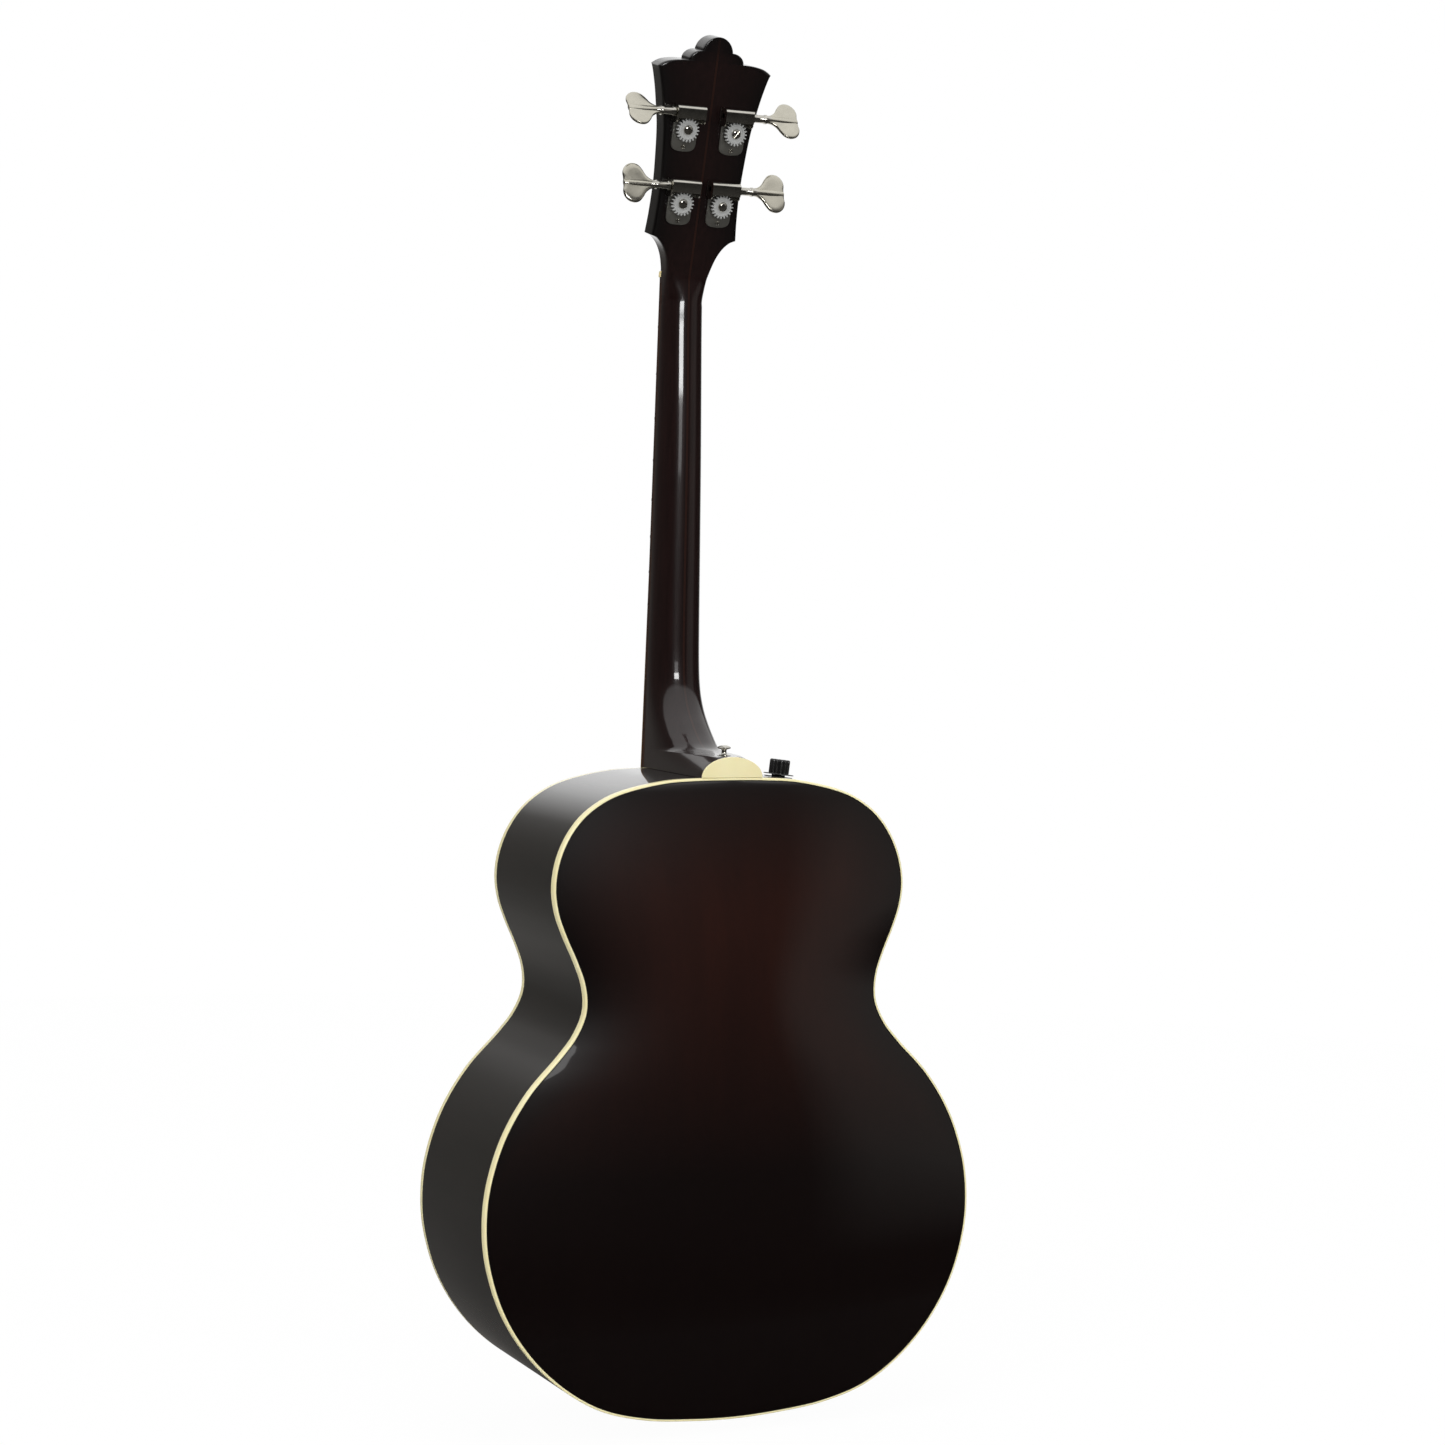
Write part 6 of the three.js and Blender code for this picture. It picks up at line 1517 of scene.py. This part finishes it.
# Hardware on the rim
def build_end_pin():
    """The turned end pin with the socket's bore through it."""
    flange = [(3.3, -PIN_HEAD), (7.6, -PIN_HEAD), (8.1, -11.6), (8.2, -11), (8.2, -9.9), (7.7, -9.3),
              (6.1, -7.6), (5.6, -6.2), (5.7, -4.6), (6.6, -2.6), (7.9, -1.0), (8.2, -.3),
              (8.2, -FACE_GAP), (6, 0)]
    barrel = [(6, 48), (3.3, 48), (3.3, -PIN_HEAD)]
    new_piece("end_pin_turned", turned(flange + barrel, 72, "Z"), FINISH["nickel"],
              matrix=Matrix.Translation((0, TAIL_DEPTH / 2, 0)), slot="nickel",
              replaces=("end_pin_jack",))


def build_strap_button():
    """The button on the heel and the thin washer under it."""
    heel_depth = 114.0
    heel_height = 17.4
    seat = Matrix.Translation((0, heel_depth, BODY_LENGTH + heel_height))
    button = [(0, -2), (4.2, -2), (4.6, .2), (4.5, .8), (3.9, 1.2), (2.7, 1.6), (2.2, 2.3), (2.1, 4.6),
              (2.4, 5.5), (3.7, 6.1), (5.3, 6.5), (5.8, 7.0), (5.75, 7.5), (5.2, 8.05), (4, 8.75),
              (2.2, 9.3), (0, 9.5)]
    new_piece("strap_button_turned", turned(button, 64, "Z"), FINISH["nickel"], matrix=seat,
              slot="nickel", replaces=("strap_button",))
    washer = rounded([(3.2, .02), (5.7, .02), (5.7, .75), (3.2, .75), (3.2, .02)], .15)
    new_piece("strap_button_washer", turned(washer, 64, "Z"), FINISH["nickel"], matrix=seat,
              slot="nickel")


def build_control(sizes):
    """The control's washer and nut on the rim, and the knob: a fluted grip over a thin skirt."""
    washer = rounded([(3.7, .02), (12.3, .02), (12.3, .85), (6.1, 1.0), (3.7, 1.0), (3.7, .02)], .2)
    new_piece("control_washer_plate", turned(washer, 72), FINISH["nut_black"], matrix=POT,
              slot="black_plastic", replaces=("pot_nut",))
    nut_radius = 6.6
    hexagon = [[(nut_radius * math.cos(a), y, nut_radius * math.sin(a)) for a in round_turn(6)]
               for y in (1.0, 2.2)]
    new_piece("control_hexagon_nut", loft(hexagon), FINISH["nut_black"], matrix=POT,
              slot="black_plastic")

    # levels of the grip: height, how far it is eased in, and the share of the flutes' full depth
    levels = ((3.5, 0, 1), (4.6, 0, 1), (13.6, 0, 1), (14.9, .1, 1), (15.5, .5, 1), (15.8, 1.2, .3))
    dish_radius = 5.5
    dish_level = 15.6
    angles = round_turn(sizes.flutes * 12)
    rings = []
    for level, ease, share in levels:
        ring = []
        for a in angles:
            wave = (math.cos(a * sizes.flutes) + 1) / 2
            r = KNOB_RADIUS - ease - sizes.flute_depth * 1000 * wave ** 2.2 * share
            ring.append((r * math.cos(a), level, r * math.sin(a)))
        rings.append(ring)
    rings.append([(dish_radius * math.cos(a), dish_level, dish_radius * math.sin(a)) for a in angles])
    new_piece("volume_knob_grip", loft(rings), FINISH["knob"], 50, matrix=POT, body="knob",
              slot="black_plastic", replaces=("volume_knob",))
    skirt = rounded([(0, 2.5), (13.2, 2.5), (13.3, 2.9), (13.1, 3.3), (KNOB_RADIUS, 3.7), (0, 3.7)],
                    .15)
    new_piece("volume_knob_skirt", turned(skirt, 96), FINISH["knob"], matrix=POT, body="knob",
              slot="black_plastic")


# Strings
def string_to_nut(number):
    """From the ball end under the bridge pin over the saddle to the nut."""
    over_board = 1.6
    behind_pin = 3.3
    ball_depth = 6.5
    radius = STRING_RADII[number]
    share = number / (STRING_COUNT - 1)
    bridge_x = string_x(number, BRIDGE_SPREAD)
    nut_x = string_x(number, NUT_SPREAD)
    saddle = Vector((bridge_x, SADDLE_NOTCH - SADDLE_CREST - radius,
                     SADDLE_HEIGHT + SADDLE_SLANT * (2 * share - 1)))
    crown = board_top(nut_x, NUT_HEIGHT) - over_board - radius
    nut_low = Vector((nut_x, crown, NUT_HEIGHT))
    nut_mid = Vector((nut_x, crown, NUT_HEIGHT + NUT_LENGTH / 2))
    # the string comes up on the neck side of its pin
    tuck = Vector((bridge_x, radius - BRIDGE_CROWN, PIN_ROW + behind_pin + radius))
    start = tuck + Vector((0, ball_depth, 0))
    bend = [start, start.lerp(tuck, .6), tuck + Vector((0, -radius, radius)),
            saddle + Vector((0, radius * .6, -3)), saddle, saddle.lerp(nut_low, .02)]
    path = list(map(Vector, centripetal(bend, 5)))
    path += [saddle.lerp(nut_low, t) for t in np.linspace(.04, .99, 60)]
    return path + [nut_low, nut_mid]


def string_on_post(number, leave):
    """From where the string leaves the nut to the post and round it; in the headstock's frame."""
    turns = (1.25, 1.25, 1.5, 1.75)[number]
    level = (-6.9, -12.6, -10, -6)[number]
    steps_per_turn = 48
    radius = STRING_RADII[number]
    side, across, along, _ = TUNERS[number]
    wrap = POST_WAIST + .3 + radius
    post = Vector((side * across, along))
    to_nut = Vector((leave.x, leave.z)) - post
    start_angle = math.atan2(to_nut.y, to_nut.x) - side * math.acos(wrap / to_nut.length)
    coil = []
    for k in range(round(turns * steps_per_turn) + 1):
        turn = k / steps_per_turn
        a = start_angle + side * 2 * math.pi * turn
        rise = level + (2 * radius + .5) * turn
        coil.append(Vector((post.x + wrap * math.cos(a), rise, post.y + wrap * math.sin(a))))
    run = [leave.lerp(coil[0], t) for t in (.06, .35, .7, .97)]
    tip = coil[-1] + (coil[-1] - coil[-2]).normalized() * 2 * radius
    return run + coil + [tip]


def build_strings(sizes):
    """The wound strings, from the bridge to the posts, by the part's own route."""
    sides = 14
    for i, radius in enumerate(STRING_RADII):
        path = string_to_nut(i)
        path += [HEAD @ p for p in string_on_post(i, HEAD.inverted() @ path[-1])]
        material = wound_bronze(i + 1, sizes.wrap_pitch * 1000)
        string = new_piece(f"string_{i + 1}_wound", tube(path, radius, sides), material, 60,
                           slot="bronze_wire", replaces=(f"string_{i + 1}",))
        run = np.concatenate([[0], np.cumsum([(b - a).length for a, b in zip(path, path[1:])])])
        store(string.data, "run", [float(run[min(k // sides, len(run) - 1)])
                                   for k in range(len(string.data.vertices))])


# Nodes kept from the frame
def finish_frame():
    """Finishes for the pieces that stay as the frame made them."""
    kept = {
        "spruce": ("x_brace_treble", "x_brace_bass", "transverse_brace", "tone_bar", "back_brace_1",
                   "back_brace_2", "back_brace_3", "back_brace_4", "top_lining", "back_lining"),
        "mahogany": ("neck_block",), "tail_block": ("tail_block",), "rosewood": ("bridge_plate",),
        "steel": ("truss_rod", "truss_rod_nut", "volume_pot", "pot_shaft"),
    }
    for finish, names in kept.items():
        for name in names:
            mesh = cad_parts[name].data
            mesh.materials.clear()
            mesh.materials.append(FINISH[finish])


# Stage
def grey(level):
    """A wall's brightness; the dim ones are a little warm."""
    return level, level * (.95 + .05 * level), level * (.88 + .12 * level), 1.0


def wall_brightness(tree, place):
    """How bright the wall is by the turn of a place about the instrument, from +x to +y."""
    parts = node(tree, "ShaderNodeSeparateXYZ", {"Vector": place})
    turn = node(tree, "ShaderNodeMath", {0: parts.outputs["Y"], 1: parts.outputs["X"]},
                operation="ARCTAN2")
    share = node(tree, "ShaderNodeMath", {0: turn, 1: 1 / (2 * math.pi), 2: .5},
                 operation="MULTIPLY_ADD")
    return node(tree, "ShaderNodeValToRGB", {"Fac": share}, [
        ((degrees + 180) / 360, grey(shade)) for degrees, shade in ROOM_WALLS])


def sent_on(tree, ray):
    """1 for a ray that gloss or a clear body has sent on, or else 0."""
    return node(tree, "ShaderNodeMath", {
        0: ray.outputs["Is Glossy Ray"], 1: ray.outputs["Is Transmission Ray"]}, operation="MAXIMUM")


def white_paper():
    """White paper, white to the eye and matt to the light; its soft mottling is drawn 300 mm wide
    so that it shows at all."""
    material, tree = new_material("white_paper_floor")
    place = node(tree, "ShaderNodeTexCoord").outputs["Object"]
    mottle = node(tree, "ShaderNodeTexNoise", {
        "Vector": drawn(tree, 300, 300, 300), "Scale": 1.0, "Detail": 2.0})
    tint = node(tree, "ShaderNodeValToRGB", {"Fac": mottle}, [
        (0, colour("#eeeeee")), (1, colour("#f4f4f4"))])
    paper = node(tree, "ShaderNodeBsdfDiffuse", {"Color": tint})
    ray = node(tree, "ShaderNodeLightPath")
    mirrored = sent_on(tree, ray)
    # in gloss the floor is as bright as the wall that it runs up to, and dark on the
    # photographer's side, as the room is there
    depth = node(tree, "ShaderNodeSeparateXYZ", {"Vector": place}).outputs["Y"]
    behind = node(tree, "ShaderNodeMath", {0: depth, 1: 0.0}, operation="LESS_THAN")
    reflected = node(tree, "ShaderNodeMix", {0: 1.0, 6: wall_brightness(tree, place), 7: behind},
                     data_type="RGBA", blend_type="MULTIPLY").outputs[2]
    look = node(tree, "ShaderNodeMix", {0: mirrored, 6: (1, 1, 1, 1), 7: reflected},
                data_type="RGBA").outputs[2]
    white = node(tree, "ShaderNodeEmission", {"Color": look, "Strength": 1.0})
    seen = node(tree, "ShaderNodeMath", {0: ray.outputs["Is Camera Ray"], 1: mirrored},
                operation="MAXIMUM")
    share = node(tree, "ShaderNodeMath", {0: seen, 1: FLOOR_WHITE_SHARE}, operation="MULTIPLY")
    surface = node(tree, "ShaderNodeMixShader", {0: share, 1: paper, 2: white})
    node(tree, "ShaderNodeOutputMaterial", {"Surface": surface})
    return material


def build_floor():
    """A plain white floor under the instrument, short in front and rounded; it keeps the shadow."""
    rim = []
    for turn in round_turn(FLOOR_SIDES):
        deep = FLOOR_FRONT if math.sin(turn) > 0 else FLOOR_BEHIND
        rim.append((FLOOR_HALF_WIDTH * math.cos(turn), deep * math.sin(turn), 0))
    mesh = bpy.data.meshes.new("studio_floor")
    mesh.from_pydata(rim, [], [tuple(range(FLOOR_SIDES))])
    mesh.materials.append(white_paper())
    floor = bpy.data.objects.new("studio_floor", mesh)
    bpy.context.collection.objects.link(floor)


def build_room(level):
    """The room: white to the eye; in reflections white behind the instrument, dark where the
    photographer stands, with a lighter wall to one side and a bright ceiling; an even light."""
    world = bpy.data.worlds.new("studio_room")
    bpy.context.scene.world = world
    world.use_nodes = True
    tree = world.node_tree
    tree.nodes.clear()
    way = node(tree, "ShaderNodeTexCoord").outputs["Generated"]
    parts = node(tree, "ShaderNodeSeparateXYZ", {"Vector": way})
    front = node(tree, "ShaderNodeMath", {0: parts.outputs["Y"], 1: 0.0}, operation="GREATER_THAN")
    rise = node(tree, "ShaderNodeMath", {0: parts.outputs["Z"], 1: .5}, operation="ADD")
    fade = node(tree, "ShaderNodeValToRGB", {"Fac": rise}, [
        (at, (kept, kept, kept, 1)) for at, kept in ROOM_FADE])
    walls = node(tree, "ShaderNodeMix", {0: front, 6: wall_brightness(tree, way), 7: fade},
                 data_type="RGBA", blend_type="MULTIPLY").outputs[2]
    ceiling = node(tree, "ShaderNodeValToRGB", {"Fac": parts.outputs["Z"]}, [
        (at, grey(shade)) for at, shade in ROOM_CEILING])
    fall = node(tree, "ShaderNodeMath", {0: parts.outputs["Z"], 1: -1.0}, operation="MULTIPLY")
    ground = node(tree, "ShaderNodeValToRGB", {"Fac": fall}, [
        (at, grey(shade)) for at, shade in ROOM_GROUND])
    upper = node(tree, "ShaderNodeMix", {0: 1.0, 6: walls, 7: ceiling}, data_type="RGBA",
                 blend_type="LIGHTEN").outputs[2]
    whole = node(tree, "ShaderNodeMix", {0: 1.0, 6: upper, 7: ground}, data_type="RGBA",
                 blend_type="LIGHTEN").outputs[2]
    ray = node(tree, "ShaderNodeLightPath")
    room = node(tree, "ShaderNodeBackground", {"Color": whole, "Strength": 1.0})
    even = node(tree, "ShaderNodeBackground", {"Color": (1, 1, 1, 1), "Strength": level})
    white = node(tree, "ShaderNodeBackground", {"Color": (1, 1, 1, 1), "Strength": 1.0})
    lit = node(tree, "ShaderNodeMixShader", {0: sent_on(tree, ray), 1: even, 2: room})
    both = node(tree, "ShaderNodeMixShader", {0: ray.outputs["Is Camera Ray"], 1: lit, 2: white})
    node(tree, "ShaderNodeOutputWorld", {"Surface": both})


def build_lamp(name, place, target, size, power, mirrored):
    """A rectangular soft box; mirrored ones show in the lacquer."""
    data = bpy.data.lights.new(name, "AREA")
    data.shape = "RECTANGLE"
    data.size, data.size_y = size
    data.energy = power
    lamp = bpy.data.objects.new(name, data)
    lamp.location = place
    lamp.rotation_euler = (Vector(target) - Vector(place)).to_track_quat("-Z", "Y").to_euler()
    lamp.visible_glossy = mirrored
    bpy.context.collection.objects.link(lamp)


def build_camera():
    """The photograph's viewpoint."""
    data = bpy.data.cameras.new("photo_camera")
    data.sensor_fit = "HORIZONTAL"
    data.sensor_width = SENSOR_WIDTH
    data.lens = CAMERA_LENS
    yaw, pitch, roll = CAMERA_TURN
    forward = Vector((math.sin(yaw) * math.cos(pitch), -math.cos(yaw) * math.cos(pitch),
                      math.sin(pitch)))
    level = forward.cross(Vector((0, 0, 1))).normalized()
    raised = level.cross(forward)
    right = level * math.cos(roll) + raised * math.sin(roll)
    up = raised * math.cos(roll) - level * math.sin(roll)
    turn = Matrix((right, up, -forward)).transposed().to_4x4()
    camera = bpy.data.objects.new("photo_camera", data)
    camera.matrix_world = Matrix.Translation(CAMERA_PLACE) @ turn
    bpy.context.collection.objects.link(camera)
    bpy.context.scene.camera = camera


def build_stage(stage):
    """Everything round the instrument."""
    bpy.context.scene.view_settings.view_transform = "Standard"
    build_floor()
    build_room(stage.room_level)
    for name, place, target, size, power, mirrored in LAMPS:
        build_lamp(name, place, target, size, power * stage.lamp_level, mirrored)
    build_camera()


# Add-on
def stain(name, description, code):
    """A colour property with its default from an sRGB hex value."""
    return bpy.props.FloatVectorProperty(name=name, description=description, subtype="COLOR", size=4,
                                         min=0, max=1, default=colour(code))


def length(name, description, millimetres):
    """A length property with its default in millimetres."""
    return bpy.props.FloatProperty(name=name, description=description, unit="LENGTH", precision=5,
                                   min=0, default=millimetres / 1000)


class BassColours(bpy.types.PropertyGroup):
    back_middle: stain("Back middle", "Stain up the middle of the back", "#2c120b")
    # this colour is also painted towards the tail as painted shade
    back_edge: stain("Back edge", "Shading at the back's edge and tail", "#080404")
    rim: stain("Sides", "Lacquer of the sides", "#15110e")
    neck: stain("Neck", "Stain of the neck", "#1c0d0c")
    neck_edge: stain("Headstock edge", "Shading at the headstock's edges", "#060404")
    neck_strip: stain("Neck strip", "Middle lamination of the neck", "#25120d")
    top_middle: stain("Top middle", "Amber of the top", "#c27a34")
    top_line: stain("Top lines", "Annual lines of the top", "#7a4118")
    top_edge: stain("Top edge", "Shading at the top's edge", "#1a0d08")
    binding: stain("Binding", "Aged celluloid of the bindings and the heel cap", "#efe6b8")


class BassSizes(bpy.types.PropertyGroup):
    purfling_width: length("Purfling", "Width of the dark line inside the back binding", .75)
    rosette_radius: length("Rosette", "Radius to the middle of the inlaid ring", 58.5)
    fret_width: length("Fret width", "Width of a fret's crown", 2.6)
    fret_height: length("Fret height", "Height of a fret above the board", 1.0)
    dot_radius: length("Dots", "Radius of the position dots", 3.2)
    screw_radius: length("Screws", "Radius of the tuner plates' screw heads", 2.1)
    flute_depth: length("Flute depth", "Depth of the knob's flutes", 1.25)
    wrap_pitch: length("Wrap pitch", "Distance between drawn turns of the string wrap", .9)
    flutes: bpy.props.IntProperty(name="Flutes", description="Flutes round the knob", default=12, min=3)
    teeth: bpy.props.IntProperty(name="Teeth", description="Teeth round each tuner gear", default=20, min=8)


class BassStage(bpy.types.PropertyGroup):
    lamp_level: bpy.props.FloatProperty(name="Lamps", description="Level of the soft boxes",
                                        default=1.0, min=0)
    room_level: bpy.props.FloatProperty(name="Room", description="Level of the even light",
                                        default=.55, min=0)


class BASS_OT_finishes(bpy.types.Operator):
    """Make every finish"""
    bl_idname = "bass.finishes"
    bl_label = "Finishes"

    def execute(self, context):
        make_finishes(context.scene.bass_colours, context.scene.bass_sizes)
        return {"FINISHED"}


class BASS_OT_body(bpy.types.Operator):
    """Build the back, sides, bindings and top"""
    bl_idname = "bass.body"
    bl_label = "Body"

    def execute(self, context):
        build_back(context.scene.bass_sizes)
        build_sides()
        build_bindings()
        build_soundboard()
        return {"FINISHED"}


class BASS_OT_bridge(bpy.types.Operator):
    """Build the bridge, saddle, pins and pickguard"""
    bl_idname = "bass.bridge"
    bl_label = "Bridge"

    def execute(self, context):
        build_bridge_body()
        build_saddle()
        build_bridge_pins()
        build_pickguard()
        return {"FINISHED"}


class BASS_OT_neck(bpy.types.Operator):
    """Build the neck, heel cap, fingerboard, frets, headstock face and nut"""
    bl_idname = "bass.neck"
    bl_label = "Neck"

    def execute(self, context):
        build_carved_neck()
        build_fingerboard()
        build_frets(context.scene.bass_sizes)
        build_face_dots(context.scene.bass_sizes)
        build_headstock_face()
        build_nut()
        return {"FINISHED"}


class BASS_OT_tuners(bpy.types.Operator):
    """Build the four tuners"""
    bl_idname = "bass.tuners"
    bl_label = "Tuners"

    def execute(self, context):
        build_tuners(context.scene.bass_sizes)
        return {"FINISHED"}


class BASS_OT_hardware(bpy.types.Operator):
    """Build the end pin, strap button and control knob"""
    bl_idname = "bass.hardware"
    bl_label = "Hardware"

    def execute(self, context):
        build_end_pin()
        build_strap_button()
        build_control(context.scene.bass_sizes)
        return {"FINISHED"}


class BASS_OT_strings(bpy.types.Operator):
    """Build the strings"""
    bl_idname = "bass.strings"
    bl_label = "Strings"

    def execute(self, context):
        build_strings(context.scene.bass_sizes)
        return {"FINISHED"}


class BASS_OT_inside(bpy.types.Operator):
    """Finish the pieces kept from the frame"""
    bl_idname = "bass.inside"
    bl_label = "Inside"

    def execute(self, context):
        finish_frame()
        return {"FINISHED"}


class BASS_OT_stage(bpy.types.Operator):
    """Build the floor, room, lamps and camera"""
    bl_idname = "bass.stage"
    bl_label = "Stage"

    def execute(self, context):
        build_stage(context.scene.bass_stage)
        return {"FINISHED"}


OPERATORS = (BASS_OT_finishes, BASS_OT_body, BASS_OT_bridge, BASS_OT_neck, BASS_OT_tuners,
             BASS_OT_hardware, BASS_OT_strings, BASS_OT_inside, BASS_OT_stage)


class BASS_PT_panel(bpy.types.Panel):
    """Lists the sizes, colours and steps"""
    bl_idname = "BASS_PT_panel"
    bl_label = "Acoustic bass"
    bl_space_type = "VIEW_3D"
    bl_region_type = "UI"
    bl_category = "Bass"

    def draw(self, context):
        scene = context.scene
        for group in (scene.bass_sizes, scene.bass_colours, scene.bass_stage):
            for name in group.__annotations__:
                self.layout.prop(group, name)
        for operator in OPERATORS:
            self.layout.operator(operator.bl_idname)


CLASSES = (BassColours, BassSizes, BassStage) + OPERATORS + (BASS_PT_panel,)


def register():
    for cls in CLASSES:
        bpy.utils.register_class(cls)
    bpy.types.Scene.bass_colours = bpy.props.PointerProperty(type=BassColours)
    bpy.types.Scene.bass_sizes = bpy.props.PointerProperty(type=BassSizes)
    bpy.types.Scene.bass_stage = bpy.props.PointerProperty(type=BassStage)


def unregister():
    del bpy.types.Scene.bass_colours
    del bpy.types.Scene.bass_sizes
    del bpy.types.Scene.bass_stage
    for cls in reversed(CLASSES):
        bpy.utils.unregister_class(cls)


def main():
    """Builds everything in order."""
    register()
    bpy.ops.bass.finishes()
    bpy.ops.bass.body()
    bpy.ops.bass.bridge()
    bpy.ops.bass.neck()
    bpy.ops.bass.tuners()
    bpy.ops.bass.hardware()
    bpy.ops.bass.strings()
    bpy.ops.bass.inside()
    bpy.ops.bass.stage()


if __name__ == "__main__":
    main()
